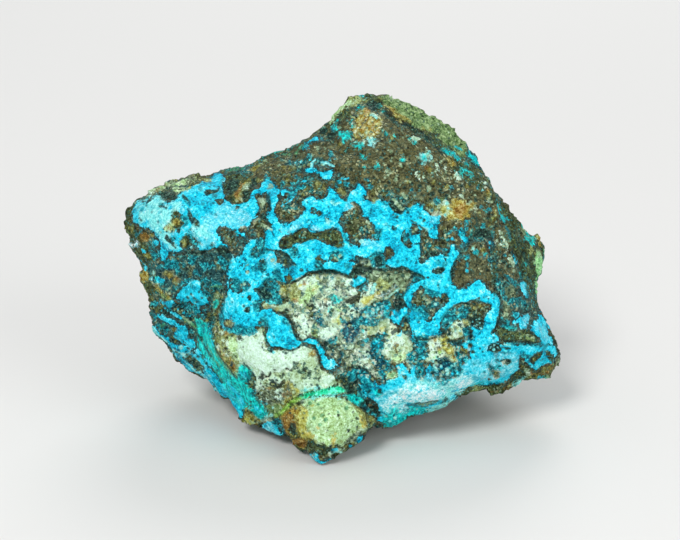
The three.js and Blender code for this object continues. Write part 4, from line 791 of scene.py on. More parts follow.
D dark + 432,373,1.8 438,378,1.5 449,378,1.4 455,376,1.4 444,377,1.2 439,370,1.2 459,368,1.1 450,370,1
# bottom right rim
P ochre + 490,392 495,388.5 502,388 505,390 500,393 494,394.5
D ochre + 544,370,3.2 537,375,3 530,378,2.6 518,374,2.4 510,383,2 522,366,2 550,367,2.2 526,380,2
D cream + 526,371.5,3 528,375,1.8 524,368,1.4 522,362,1.6 500,391,1.6 495,392,1.2 480,394,1.4 475,395,1.2 548,376,1.6 552,373,1.4 556,362,2 558,366,1.6 555,369,1.4 546,378,1.2 545,373,1
D green + 556,363,3.4 552,373,2.6 547,376,2
P pale + 513.5,384.5 519,382 523.5,379.5 521,383 516,385.5
P crust + 513.5,384.5 519,382 523.5,379.5 521,383 516,385.5
S crust + 538,377,0.6 543,377,0.9
S dark + 500,388.5,0.6 507,385,1.2 514,378,1.3 520,370,1.3
S dark + 520,356,0.9 521,362,1.3 524,366,0.9 529,368,1 533,372,1 538,372,1 543,368,0.8
P dark + 538,368 545,366 552,364 554,366 548,370 542,373 538,372
D dark + 534,372,1.4 540,378,1.2 520,378,1.6 512,380,1.2
P pale + 425,390 440,386 450,382.5 460,376 470,372 479,376 476,384 468,389 460,392 450,396 440,399 425,402
P pale + 462,362 470,358 480,360 486,366 482,374 474,372 466,370
# the cream plate
P cream + 221,331 225,330 230,332 236,334.5 241,336 247,336 252,335 256,331 259,328 262,328 264,334 265,341 267,346.5 272,349.5 279,350 285,352 291,353 297,350.5 302,346.5 308,347 313,349 316,353 317.5,358 319.5,364 322,369.5 328,371.5 333,374.5 337,379.5 336,384 331,387 324,388.5 316,390 308,392 300,395 297,391 293,385 288,380 284,386 277,388 270,386 263,387.5 257,388 256,380 254,374 250,369 247,366 243,363.5 240,367 236,371 233,366 228,358 222,352 219,345 218,338
P pale + 240,338 252,338 260,333 263,342 267,350 280,352 290,354 296,358 288,366 276,368 262,368 252,364 244,360 240,350
P pale + 322,372 330,374 335,379 333,384 325,386 320,380
D ochre + 224,341,2.6 228,339,1.8 221,334,1.4 226,346,1.8 233,342,1.6 229,351,2.2 234,356,1.6 240,339,1.4 265,354,1.6 293,375,0 299,365,2 306,371,1.4 312,353,2 310,355,1.4 318,371,1.8 286,351,1 304,350,1.3
S ochre + 219,351,1.4 224,357,1.6 229,362,1.6 233,367,1.6 236,373,1.8
S ochre + 218,333,1 220,340,1.6 219,347,1.4
S cream + 221,352,0.9 227,358.5,1 231,363,0.9
S cream + 234,365,0.9 236,370,1 236,376,0.8
S dark + 218,352,0.8 222,359,1.1 227,366,1.2 232,372,1.5 236,377,1.3
P green + 231,366 234,369 236,376 232,376 228,370
D dark + 224.5,350.5,1.9 222,337,0.9 226,342,0.8 231,348,0.9 218,343,1 216,347,0.9 236,345,0.8 240,338.5,1 237,338,0.8 232,335,0.7 262,347,0.7 273,360,0.7 293,353,0.8 297,356,0.8
P ochre + 311,353 315,351 313,355 309,356
# dark specks in the plate
P dark + 244,363 247,363 249,367 246,367.5
P dark + 249.5,370 254,372 253,376 257,380 256,386 257,389 253,388 249,384 250,379 248.5,374
D cream + 252,377,1 251,382,0.9 254.5,384,0.8 254,378.5,0.7
D ochre + 249,387,1.4 252,384.5,1
P dark + 259.5,373 263,371.5 265,374 265.5,378 262,380.5 260,377
D dark + 258,370,0.7 261,383.5,0.7 257,366,0 270,373,1.1 272,375,0.9
S dark + 274,369,0.8 275,373,1.2 279,372.5,1.1
S dark + 281,371,0.9 284,374,1 282,377,1.1 286,376,0.9
S dark + 270,379,0.8 274,383,1.4 278,386.5,1.5 282,385,1.2
S dark + 275,376,0.8 279,379,0.8 280,383,0.9
D dark + 271,385,1.2 283,381,1.3 287,372,1 290,371,0.8 286,382,0.9 268,377,0.7
P olive + 270,377 276,373 283,372 287,376 286,384 281,388 274,388 269,383
D cream + 277,381,1.5 273,377.5,0.8 280,376,0.8 284,379,0.7
S dark + 291,364,1 294,362.5,1.1 297,364,1
S dark + 291,367,0.9 295,368.5,1.3 298.5,367,1
D dark + 298,362.5,0.8 299.5,370,0.9 293,365,0.9
S dark + 301,364,1 304.5,363,1.3
S dark + 303.5,367,1.4 307,368,1.6 305,371,1.4
P dark + 307,371 311,370 312,374 310,377 306,377
D dark + 303,378.5,1 310,379,0.8 317,366,0.8 316,369,1.1 319,371,1.1 317.5,374,0.8 320,376,1
S dark + 314,378.5,1 318,379.5,1.4 320.5,377,1
D dark + 317,384.5,1.4 311,384.5,1.1 306,384.5,0.8 319,388,0.9 295,385,1 290,384,0 314,383,0.7
# teal pool left of the plate
P teal + 239,369 243,366 248,369 250,373 249,379 246,383 241,382 237,378
D green + 241,370,1.4 246,368,1 243,366,0.8
D deep + 246,374,1.8 242,379,1.8 239,375,1.2 249,377,1.6
D crust + 241,374,1.2 245,372,1
P teal + 244,382 250,386 254,391 257,399 254,404 250,402 246,397 240,390 240,384
P deep + 251,390 256,389 258,396 256,400 252,397
S dark + 253,393,0.7 256,398,0.8 259,403,0.8
# ochre below the plate
P ochre + 256,389 261,387.5 268,387.5 276,389 282,386.5 286,380 290,379 293,384 298,388 300,393 296,398 291,401 286,405 283,410 279,413 276,409 278,403 273,399 266,395 259,396
D cream + 263,392,2 270,391,1.6 277,392,1.6 284,390,1.8 290,389,1.2 294,392,2 281,397,1.8 288,396,1.4 275,397,1.2 296,386,1.4 283,403,1.6 277,400,1.4 281,408,1.2 290,383,1 260,392,1
P olive + 257,392 262,392 268,393 273,396 273,402 268,405.5 262,404 258,399
D dark + 262,394,1 266,394,1.1 270,395,1 274,398,1.4 278,395,0.9 277,401,0.8 268,389,0.9 285,386,1 281,391,0.9 287,399,0.8 291,396,0.7 295,395,0.7 260,397,1.1 264,403,1.3 280,403,0.8 286,403,0.7 276,407,0.8 279,399,0.9
S pale + 265,398.5,1 268,397.6,1.1 270.5,400,0.8
S deep + 262,402,1.2 266,403.5,1.8 270,402.5,1.3
P green + 262,405 270,405 276,404 278,410 276,416 270,419.5 263,420 260,414
D pale + 266,410,1.6 271,415,2.2 267,417,1.6 273,408,1.2
P teal + 252,405 258,402 263,406 265,411 264,417 258,418 253,415 251,410
D crust + 257,409,2 260,412,1.6 255,406,1
P ochre + 243,405 249,404.5 252,412 255,417 261,420 265,421 261,424 257,428 250,428.5 246,427.5 242,421 240,418 243,414
P ochre + 235,412 238,414 240,419 242,423 239,421
D dark + 246,404,1.2 250,406,1.4 248,411,1.2 251,413,1.2 244,410,0.9 248,417,0.8 255,421,1.4 259,424,1.2 245,421,0.9 253,426,0.8 251,402,1.2 258,420,0.8
D cream + 247,408,0.9 251,409,0.8 245,413,0.7 250,421,1.6 253,423,1.8 249,426,0.9 257,422,0.9 261,421,1 244,417,0.7
P crust + 254,427.5 258,428.5 263,425.5 268,422.5 271.5,422 275,424.5 279,428 281,432 284,435 281.5,437 276,436.5 270,436 266,434 262,431.5 258,430
P pale + 264,430 268,426 273,427 276,432 274,435 269,434
P pale + 264,421.5 269,420 273,420 270,422.5
P deep + 272,421.5 276,418.5 281,419 283,424 285,430 288,438 284,439 282,434 280,428.5 276,425
D dark + 279,424,1.2 276,421,1 283,429,1.2 284,435,1
# nodule
P cream + 300,400.5 306,398.5 314,397 322,396.5 332,396.5 341,398 347,400.5 352,404 357,409 361,415 364,421 366,427 365,433 361,437 357,440 352,443 346,445 340,444 334,446 327,445 320,443 315,440 311,435 308,428 309,420 311,413 307,408 302,406
P pale + 312,400 322,399 334,400 345,404 352,410 356,418 352,426 344,430 334,436 322,438 315,432 313,420 315,410
D green + 346,408,2.6 341,404,1.6 322,415,2.2 326,420,1.8 338,412,1.4 314,418,2 320,425,1.8 349,404,1.4 310,403,2 318,404,1.8
P ochre + 280,416 285,411 291,406 297,403.5 304,405.5 308,409 311,414 310,420 308,427 311,434 315,440 310,443 307,449 304,453 299,453.5 294,449 289,446 287,440 284,432 281,424
P gold + 297,412 302,409 308,410 309,416 305,424 304,430 308,434 303,435 299,428 297,421
D gold + 293,412,1.6 313,436,1.4 308,433,1.6 318,428,1.6 335,434,1.6 334,440,2 333,444,1.6 322,413,1.2 361,421,2 364,427,1.8
P dark + 289,424 294,423 297,429 299,435 293,437 289,433
P olive + 287,428 291,427 295,436 290,439 286,435
D dark + 302,402,1.6 299,404,1 315.5,401,1.1 307,406,0.8 296,409,0.8 294,416,0.8 290,413,1 303,418,0.8 297,437,1 303,433,0.9 307,438,0.8 286,418,0.8 300,410,0.8
D cream + 304,413,1.4 296,408,1 299,406,0.9 308,431,1 287,416,0.7 293,420,0.8 297,443,0.8 308,448,1
P rust + 290,438 296,438 303,440 308,444 307,448 300,448 293,446
S rust + 284,420,1.6 285,428,1.8 288,436,1.4
P olive + 306,446 312,442 320,443.5 328,446 334,448 332,455 326,459 320,461 316,456 311,456 307,452
D dark + 309,443,1.2 313,445,1.2 318,446,1.1 324,447,1.4 328,450,1.4 322,453,1.2 315,449,1 326,457,1 319,457,1 330,446,1 311,452,1.1 332,452,1 305,452,0.8
D cream + 317,448,1 312,449,0.8 320,451,1.2 325,452,0.8 308,456,0.8 318,443,0.8 324,457,0.9
D ochre + 322,449,1.4 328,455,1.4 314,455,1 316,441,1.4 304,451,1.6 320,458,1.4
P crust + 311.5,456 314,453 317.5,453 319,457.5 322,461 327,460.5 331,459.5 330,462 326,464 321,467.5 316,463.5 312,459.5
P pale + 312,458 316,461 321,464.5 326,462.5 321,466.5 315,462
# green vein
# lower middle
P speckle + 322,350 334,352 345,348 356,342 366,338 372,345 371,355 373,365 378,375 376,380 370,374 364,368 356,365 350,366 344,372 338,374 334,370 339,366 339,360 333,356 328,356
P cream + 384,338 390,335 397,333 404,334 410,336 412,342 412,350 410,356 408,361 402,363 396,361 391,360 386,358 381,354 383,348 384,343
D ochre + 394,348,1.6 397,346,1.2 397,352,1.6 392,356,1.4 400,357,1.4 406,348,1.4 391,341,1.2 386,357,1.2 404,354,1.2
D dark + 396,350,0.9 400,350,0.9 395,345,0.8 409,336,0.8 411,346,0.8 393,357,0.7
P cream + 360,361 365,357 370,357 372,361 371,366 367,368 362,366
P cream + 372,373 376,371 380,375 379,379 375,377
P dark + 341,330 346,327 352,328 356,333 354,339 348,340 343,337
P dark + 353,340 358,337 362,341 360,346 356,345
D deep + 345,333,2.6 342,330,1.6 363,345,1.8 367,340,2 360,338,1.6 371,337,1.4
D dark + 345,345,0.9 349,343,0.8 364,349,1 369,347,0.9 357,350,0.9 352,352,0.9 348,350,0.8 367,352,1 360,357,0.9 355,357,0.8 350,356,0.9 366,357,0.9 345,355,1.2 341,352,1 347,360,1.2 352,362,0.9 358,362,0.8 371,353,1.1 338,357,1 369,342,1 373,348,1
D cream + 349,348,1.8 354,347,1.2 358,346,1 363,353,1.4 356,353,1 346,352,1 361,350,1 367,349,1 345,341,1 351,359,1 365,344,0.9 357,359,1 362,358,1 343,347,1.2 348,355,0.8 369,350,0.8
P deep + 371,338 376,335 382,335 384,341 383,348 380,353 381,358 386,360 391,362 394,366 390,371 384,371 378,370 373,366 372,358 370,350 372,344
P crust + 377,341.5 380,340 383.5,342 383,346 380,348 377,346
D crust + 386,361,1.2 374,343,1 384,333,1 377,352,1 390,368,1.2 382,372,1
D dark + 380,347,0 375,350,1.3 373,358,1.2 378,363,1.6 386,366,1.2 391,365,1.4 383,368,1.2 374,340,1
D cream + 378,337,0.9 388,338,0 375,356,0.8 380,357,0.8 388,366,0.7 378,367,0.7
P deep + 379,371 383,370 386,376 385,381 387,384 383,384 380,378
S dark + 382,374,0.8 385,379,1 385.5,383.5,1.1
P ochre + 384,372 388,370 394,370.5 398,374 395,378 390,379.5 386,377
D green + 392,375,2.2 395,373,1.4
D cream + 396,375,1.3 392,372,1 389,377,1
P crust + 385,382 388,381 394,379 398,375 399,371 396,367 398,364 402,362.5 405,365 408,370 410,374 411,369 413,365 416,367 417,373 417,378 421,382 425,383 426,377 427,370 430,367.5 433,368 434,372 432,376 434,380 440,384 436,394 400,396 386,392
P deep + 407,358 410,353 415,352 417,358 416,362 411,366 407,363
D cream + 409,366,1.8 412,362,1.2 408,369,1 414,354,1 416,359,1.1 404,330,1.2
P deep + 414,336 420,337 427,336 428,341 425,347 428,352 427,358 424,362 425,368 424,375 421,379 418,379 416,376 418,370 416,364 418,358 416,352 414,346
D dark + 420,372,1.4 418,377,1.1 421,366,1.1 417,341,1.2 423,340,1.1 421,348,1.1 419,355,1.1 425,353,1.2 420,361,1.1 415,348,1 427,364,1.2
D crust + 421,345,1.6 417,345,1.2 423,358,1.2 420,379,1.2 422,351,1.2
D cream + 416,347,0.9 424,344,0.8 427,360,1.2 424,361,1 416,363,0.8
P cream + 424,358 429,357 433,359 432,362 427,363
P dark + 403,375.5 406,374.5 407.5,377 406,381 403.5,380
P green + 424,364 430,362 434,365 430,367 425,369
# facets right of the crevice
P deep + 343,376 347,371 352,368 360,367 366,370 371,376 375,381 371,386 366,388 362,384 358,378 354,382 349,383 345,380
P crust + 351,371 355,369.5 356,375 356,382 353,382 352,376
P crust + 359,373 364,374 369,376 373,380 378,383 376,386 371,387 367,390 362,385 359,379
P deep + 355,384 360,386 366,389 370,387 372,391 368,395 366,400 362,398 358,393
P crust + 364,390 370,388 376,384.5 384,385 386,392 382,400 376,402 370,399 366,395
D dark + 369,392,1.6 380,390,1.8 382,393,1.2 375,386,0.9 378,387,0.8 387,413,1
S dark + 348,370,0.8 352,367,1.1 360,366.5,1.2 366,369.5,1.2 372,376,1.2 378,381,1.2 385,385,0.8
S dark + 355,371,0.8 356.5,378,1.2 357,384,1.1 361,390,1
S dark + 345,375,0.6 350,379,0.8 354,384,1
S deep + 358,370,1.2 364,373,1.1 370,378,1
S crust + 358,383,0.7 362,388,0.9 367,396,0.9
D ochre + 347,383,1.2 351,386,1
P dark + 338,378 344,376 350,380 354,385.5 357,391 354,394 348,394 344,389 340,385
P rust + 350,387 354,385.5 357,390 355,392.5 351,391
D ochre + 341,381,1.4 344,384,1.2 340,384,0.9 346,379,1.1
D cream + 340,385,1.2 343,387,1 338,380,0.8
P teal + 346,394 352,393 357,395 357,403 352,402 348,399
P teal + 356,396 361,395 365,400 364,405 360,405 356,402
D dark + 359,396,1.2 362,401,1.2 357,400,0.9
P dark + 361,401 366,400 371,402 375,406 378,412 382,415.5 378,417 371,415 365,411 360,407
D deep + 368,410,2.2 372,413,1.8 365,406,1.6 376,415,1.2
D rust + 370,405,2
P olive + 357,405 362,409 368,414 374,415 378,419 374,423 369,425 363,420 358,413
P ochre + 364,415 371,415.5 377,418 375,422 371,425 367,421
D cream + 375,420,1.2 368,419,1 372,422,0.9 366,429,1.6 364,432,1.2 369,427,1 371,418,0.8
S ochre + 351,404,0.9 357,409,1.4 362,415,1.6 366,421,1.6
S gold + 360,416,1 364,421,1.6 366,425,1.2
D dark + 359,424,1 357,427,1.3 362,420,0.9 358,430,1.1 360,433,0.9 353,420,0.9 348,430,0.7 355,435,1 352,438,1.1 349,442,1.3 345,443,1.1 340,446,1 356,440,1.2 361,437,0 367,430,0.8 352,447,1 358,420,0.8 347,414,0.7
D ochre + 359,428,1.8 356,432,1.4 353,443,1.6 346,446,1.6 341,442,1.4 355,446,1.2 365,434,1
D cream + 348,440,1.2 351,434,1.4 344,449,1.2 357,436,1 340,450,1.4 356,443,1 366,436,1 352,450,0.9
P crust + 357,441 358,437 361,434.5 363.5,436 361.5,440 359,443.5
D crust + 350.5,446,2 336,450.5,2.2 333,450.5,1.6
S pale + 332,452.5,0.7 337,452.5,0.9 342,452,0.7
S dark + 320,447,1 326,450,1.2 331,449,0.9
# the white ridge and the ledge under it
P pale + 376,398 384,392 394,387 404,385 414,384 424,385 436,384 444,386 448,392 446,398 438,400 428,400.5 418,401.5 408,403 400,404 396,408 388,409 380,406
P white + 384,404 388,399 396,394 402,389 408,388 404,394 398,399 390,405 385,409
P white + 412,386 420,386 430,388 438,390 440,396 430,396 420,394 414,392
P white + 400,405 406,403 408,408 404,414 400,412
D crust + 403,401.5,1.2 411,390,1.2 419,392,1.4 426,394,1.4 432,392,1 436,388,1 414,396,1 398,394,1 395,404,1 390,408,1 443,390,1 401,386,1
P teal + 406,405 413,404 421,407 426,409 422,412 414,414 408,417 402,420 396,424 391,427.5 386,426 382,422 386,418 392,416 400,414 405,410
P crust + 377,417 382,416 386,418 391,417 397,415.5 402,417 398,421 392,423 386,421 382,422.5 378,421
D pale + 390,421,1.2 395,418,1.4 386,416,1 417,409,1 411,408,0.8 420,411,0.8
D deep + 396,421,0.9 402,416,1 390,425,1 408,410,1.4 413,410,1 404,410,1 400,409,0.9
S dark + 405,404.8,0.6 412,404.6,1 418,403.6,0.8 426,402,0.7 434,401.4,0.6 441,402,0.8 446,400.5,0.8 448,398.5,0.6
S ochre + 417,403.6,1 424,405,1.6 431,403.5,1
S dark + 411,405.5,0.6 418,406.4,0.9 426,406.6,0.6
S pale + 426,409,1 434,407.5,1.2 442,405,1.1 450,402,0.8
# dark blue areas of the matrix
P murk + 150,236 172,232 196,240 214,236 228,244 232,262 230,284 226,300 214,312 204,322 196,332 186,330 176,318 160,312 152,298 150,276 144,262
P murk + 150,300 176,304 196,312 206,330 206,346 210,362 210,380 196,374 180,362 168,350 156,334 148,318
P murk + 292,140 312,134 326,144 330,162 322,178 304,184 288,176 284,158
P murk + 492,252 520,246 540,262 544,300 536,330 514,340 498,330 496,290
P murk + 455,240 470,222 492,214 494,262 484,280 462,284
P murk + 370,336 384,336 384,362 396,368 388,384 376,376 368,352
P murk + 236,236 252,232 262,246 258,262 240,258
P murk + 436,360 462,360 464,380 446,386 434,376
P murk + 505,175 520,190 540,212 556,224 566,240 560,250 544,240 524,214 506,194
P murk + 222,170 246,160 262,166 258,182 236,188 222,184
P murk + 340,326 358,326 364,344 350,348 338,340
# teal under the white ridge
P film + 382,419 388,413 396,409 404,405 414,404.5 424,406 428,409 420,413 412,417 404,421 396,427 388,428 382,424
P film + 374,392 378,388 382,392 378,396
D film + 392,406,1.4 398,402,1.2 410,400,1 386,412,2 393,410,1.6 418,395,1.2 404,398,1.1
# yellow on the cream
P amber + 366,327 371,325 375,329 373,334 368,334
P amber + 374,318 380,316 384,320 380,325 375,324
P amber + 440,336 447,337 450,343 452,350 448,353 444,347 441,342
P amber + 299,408 306,409 309,415 306,424 304,432 309,438 305,438 299,430 297,418
P amber + 218,350 223,355 229,361 234,367 236,374 232,371 226,364 220,356
P amber + 245,413 251,417 256,421 252,426 246,423
D amber + 283,391,2.4 291,386,2 297,391,1.6 273,391,1.6 265,389,1.4 286,402,1.6 333,440,1.8 335,433,1.4 363,424,1.8 313,437,1.4
# top: golden cloud, pale green slope, brown band
P cream - 350,104 386,104 386,142 350,142
P moss + 379,84 390,84 400,88 410,95 420,100 430,105 440,111 450,120 458,129 465,140 468,150 465,156 460,156 454,152 449,147 444,140 439,134 433,131 426,130 420,127 412,126 406,122 398,117 391,111 385,104 380,98
D dark + 400,104,1 406,109,1.1 412,113,1 396,108,1 418,120,1.1 424,122,1 431,126,1.1 440,126,1.1 448,137,1 455,141,1.1 452,146,1 390,101,1 421,114,0.9 435,119,1 446,127,1
D cream + 391,97,1.6 404,101,1.4 400,97,1.2 398,100,1.2 426,112,1.2 438,124,1.3 453,143,1.3 449,132,1.2 412,118,1.2 430,117,1.2 457,150,1.2
S gilt + 385,105,1.2 391,111,1.8 397,116,1.8 404,120,1.6 409,123,1.2
S pit + 384,109,1.4 388,114,2 394,119,1.6 401,122,2 407,125,1.4 414,129,1.2 421,133,1.1
P earth + 424,129 432,130 438,134 444,141 449,147 444,149 438,146 430,142 425,136
P slate + 428,129 434,130 437,135 433,137 429,134
P earth + 334,114 342,109 348,109 352,112 353,117 348,119 342,119 336,119
S lime + 330,120,2.2 336,113,2.6 341,107,2.6 346,104,2 350,101,2
P tan + 344,103 350,95 356,92 362,93 366,100 362,104 355,106 349,108
P earth + 360,90 368,88 378,89 381,98 378,103 370,104 362,102
P slate + 366,101 372,102 376,106 375,111 371,113 367,109
P gilt + 353,121 357,115 362,112 367,110 371,117 379,119 383,121 380,128 377,134 372,139 366,137 360,137 354,133 352,128
D umber + 367,111,2.2 366,119,2.2 361,122,1.6 374,128,2.6 362,131,1.6 376,134,1.6
S plate + 371,114,1.2 375,116,1.5 378,119,1.2
D plate + 371,121,1.1 374,123,1 363,126,1.5 366,132,1.6 360,134,1.2 357,118,1.3 365,115,1.3 362,137,1.3 363,141,1.1 369,135,1 356,127,1
S film + 340,134,1.8 345,137,3 350,134,1.8
S film + 344,138,2 343,141,1.2
S film + 354,145,1.8 358,146,2.4 362,146,1.6
S film + 361,156,1.6 365,158,1.8
S film + 332,127,1.6 336,129,1.8
S film + 352,122,1.4 353,126,1.6
S film + 382,130,1.2 385,134,1.2
D film + 363,97,1.6 378,104,2.2 384,111,1.8 361,107,1.6 357,111,1.6 394,136,1.2
P mint + 368,139 373,138 375,142 373,146 369,145
# right shoulder
P slate + 463,133 470,141 478,150 484,158 490,166 497,178 490,184 482,177 474,171 466,164 460,158 466,154 468,148
P earth + 466,160 472,164 478,168 484,176 478,178 470,172 464,166
S film + 443,149,1.4 448,151,1.8
S film + 453,152,1.6 457,158,2.2
S film + 470,155,1.6 474,159,2.3 478,162,1.6
S film + 462,170,2.2 465,173,2
S film + 470,176,1.2 473,177,1.2
S deep + 484,171,1.4 489,176,1.3
S mint + 420,156,1 426,155,1.4 430,159,1.2
S mint + 422,162,1.4 426,160,1.2
D plate + 416,138,2.6 426,151,1.6 428,157,1.6 441,162,1.3 436,171,1.3 431,173,1.2 423,177,1.4 457,174,2 459,177,1.6 445,168,1 448,160,1.2 417,172,1 419,178,1 443,172,1 437,165,0.9 452,170,0.9
D umber + 428,168,2 447,160,1.6 450,164,1.6
# upper left edge
P earth + 116,236 117,222 120,212 125,203 131,196 137,193 145,190 152,187 150,196 142,200 137,204 134,210 132,216 133,222 135,228 130,233 124,236
P moss + 146,196 152,189 158,187 160,192 154,196 149,199
P lime + 150,190 158,184 165,179 170,176 171,181 164,186 157,190 152,193
P tan + 168,178 176,174 184,172 192,171 200,170 209,171 210,178 202,181 194,183 188,180 180,182 172,185
P lime + 168,186 175,183 182,181 190,182 196,182 194,186 186,189 178,191 172,190
D earth + 194,178,2.4 168,185,1.4 184,178,1.2 204,175,2 176,180,1.2
P earth + 161,191 166,189 171,190 175,191 174,196 170,199 165,197 162,195
P mint + 137,214 140,205 147,203 152,200 160,197 165,200 168,205 170,212 169,219 165,225 161,229 163,236 168,242 164,240 158,236 154,230 148,228 142,226 138,221
P mint + 170,203 176,201 181,202 182,206 178,209 172,207
P mint + 163,232 167,232 170,236 171,240 176,246 180,247 178,250 172,250 168,246 164,240
P mint + 191,225 196,229 202,226 208,222 210,232 206,240 200,238 195,234
D mint - 141,208,2.4 163,206,1.6 153,216,1.6 147,222,1.3 143,224,1.6 158,211,1.2 151,208,1 160,222,1.2
S dark + 138,218,0.9 141,221,0.8
S dark + 161,206,0.9 164,207,0.8
D dark + 166,208,1
S dark + 182,195,1.2 187,199,1
S dark + 168,241,1.2 171,244,1
P earth + 171,212 175,210 179,213 180,218 184,219 184,223 180,227 174,230 170,233 165,231 163,228 167,224 171,219
P lime + 163,228 168,225 173,224 173,229 169,232 165,231
D umber + 168,228,1.3 177,222,1.8
P slate + 188,210 191,213 192,218 196,219 199,224 198,229 194,226 190,221 188,215
P earth + 183,237 188,234 192,238 191,245 187,249 182,248 180,243
D tan + 184,243,1.8
P umber + 142,234 147,232 150,236 149,241 145,243 141,239
P earth + 120,236 132,231 138,233 142,238 146,246 150,252 154,260 148,262 138,254 130,246 122,240
P white + 129,243 134,240 138,243 137,248 132,248
D dark + 133.5,243.5,1.3
# left flank
P gilt + 136,271 144,271 147,275 148,281 145,283 141,279
P slate + 160,262 175,262 190,258 205,254 222,252 228,262 226,275 222,284 214,288 206,284 200,280 190,279 182,280 176,286 168,288 160,284 156,276 156,268
D ash + 167,275,2.8 172,273,1.8 178,282,2.2 192,268,2 207,268,1.6 215,262,1.8 203,258,1.4 186,264,1.4 175,279,1.4
D umber + 169,276,1.2 177,284,1 176,280,0.9
D deep + 193,262,2.6 206,265,2.4 200,275,1.8 222,262,2 165,266,1.6 211,280,1.6
S film + 159,281,1.4 162,283,1.4
P earth + 138,282 148,283 154,286 158,292 152,296 148,302 143,300 140,290
S moss + 158,292,1.6 162,295,2.4 167,298,2 171,301,1
S gilt + 156,287,0.9 163,292,0.9 168,296,0.8
P earth + 146,300 158,300 164,304 168,308 172,311 168,314 160,312 150,312 146,306
P film + 198,328 206,322 212,335 216,350 224,362 236,374 246,386 256,398 266,408 270,416 262,420 252,412 244,402 232,388 220,374 208,360 200,350 197,340
S mint + 203,345,0.7 207,351,0.7
S mint + 211,350,0.7 215,357,0.6
S mint + 222,366,0.7 231,376,0.7
S mint + 228,380,0.6 238,392,0.6
P slate + 206,312 209,311 211,316 213,321 210,326 206,322 205,316
P earth + 213,325 217,324 219,330 217,337 214,335
S tan + 217,322,1.2 220,330,1.5 218,345,1.8 223,356,1.6 231,364,1.4
# right edge
P earth + 518,222 528,224 538,229 546,238 550,247 549,260 545,262 543,254 541,249 535,246 528,247 522,244 519,236
P jade + 537,251 540,252 542,257 543,264 542,270 543,276 541,282 540,288 538,295 536,290 536,282 536,274 536,266 534,262 536,256
S jade + 546,245,1 547.5,254,1
P film + 520,233 523,228 528,229 533,235 538,240 535,245 529,244 524,240
S moss + 518,230,1 521,237,1
D tan + 538,234,1.8 541,238,1.6 536,231,1.2 542,245,1.4
S film + 512.5,251,1 515,258,1.3 518.5,266,1
S film + 502,213,1.4 504,222,1.6
S deep + 507,229,1.4 510,238,1.2
P crust + 521,283 524,281 526,286 528,291 530,297 526,298 523,294 520,292
S deep + 528,283,1.4 531,292,1.4
D plate + 500,232,1.3 502,236,1.4 505,237,1.3 497,241,1 507,246,1.5 511,257,1.4 513,263,1.5 502,245,1 509,253,1
S ash + 492,258,0.8 492.5,282,0.8
S dark + 494.5,255,0.8 495,285,0.8
# centre: tan, grey, white plates and dark blue hollows
P tan + 279,287 281,284 285,284 288,286 291,284 296,282 301,280 306,279 310,276 315,274 318,278 318,283 321,287 320,291 316,293 312,292 309,289 305,292 306,298 303,300 300,296 297,299 292,301 287,299 283,297 280,293
P lime + 303,285 307,282 311,279 315,281 315,286 311,289 308,293 305,296 303,291
D umber + 299,284,1.4 302,286,1.2 294,284,1 296,294,1.2
P ash + 313,294 318,292 322,294 327,296 328,300 325,304 322,306 318,305 314,301 311,298
P ash + 292,306 298,304 304,306 306,311 303,315 299,316 294,313 290,311
P ash + 283,307 287,307 290,311 288,314 284,311
P ash + 321,300 326,302 330,306 330,311 326,312 322,308
P ash + 320,280 325,278 331,279 329,284 326,288 323,290 321,285
P plate + 328,284 332,280 337,278 341,275 346,275 349,280 348,286 345,290 342,293 338,294 335,291 331,294 328,295 326,291
P plate + 292,318 297,316 302,316 306,318 309,322 311,328 309,333 306,337 303,340 300,337 298,333 300,328 296,322
P plate + 321,327 326,324 331,324 335,327 337,331 334,335 331,338 327,337 323,334 320,331
P plate + 316,306 320,305 323,308 322,312 319,312 316,310
P plate + 343,314 347,311 351,309 355,311 354,317 351,321 347,322 344,320 342,317
P plate + 303,306 305,302 308,303 307,307
P plate + 326,302 329,300 330,304 327,305
P plate + 361,350 367,350 372,353 370,359 369,364 365,366 361,362 359,357
P plate + 344,342 349,341 354,345 352,350 347,350 343,347
P plate + 337,306 342,304 346,307 343,311 338,311
P amber + 335,318 339,317 343,320 344,323 341,326 337,324 335,321
P navy + 314,317 316,312 319,310 323,312 326,314 326,318 325,322 324,326 321,329 318,327 316,323 313,320
P navy + 320,274 324,271 329,270 334,271 336,273 331,274 326,276 323,279 320,279
P navy + 344,324 349,322 354,324 358,328 360,333 357,338 352,340 347,338 343,336 341,332 343,328
P navy + 350,338 356,340 362,342 366,346 362,349 357,346 352,342
P navy + 325,340 331,338 335,342 337,347 333,350 328,348 324,344
P navy + 331,297 337,297 341,300 339,304 334,304 331,301
S navy + 327,314,1.2 331,318,1.4 329,323,1.2
S navy + 346,302,1 351,304,1.2 356,308,1.3
D navy + 337,313,1.3 333,308,1 345,330,1.2 366,342,1.4 360,352,1.2 352,355,1.4 357,360,1.2 341,352,1.3 332,354,1.4 346,362,1.3 349,367,1.2 339,365,1.2
P pit + 308,306 311,303 314,305 313,309 311,311 308,310 306,308
P pit + 309,299 311,300 312,302 310,303
P pit + 325,322 329,321 331,323 328,326 325,325
P pit + 351,297 355,295 359,297 359,300 355,302 351,301
S pit + 348,292,0.9 354,292,1.3 358,291,0.9
D pit + 288,291,1.6 287,286,1.1 317,296,1 319,299,1 324,303,0.9 330,310,1 339,301,1.1 313,278,0.8 308,278,0.8 298,309,1 286,309,1.3
P ash + 345,297 350,299 352,302 348,303 344,300
P ash + 355,302 360,302 360,306 356,306
D film + 341,299,1.4 353,306,1.4 349,305,1 341,331,2 336,337,2 333,339,1.4 337,340,1.4 354,318,1.6 357,315,1.2 362,330,1.6 360,325,1.2
# centre right: gold, green streaks
P gilt + 364,304 367,299 371,296 376,293 380,292 383,293 381,297 376,300 371,303 367,306
P ash + 379,291 386,289 391,290 390,296 385,299 381,298
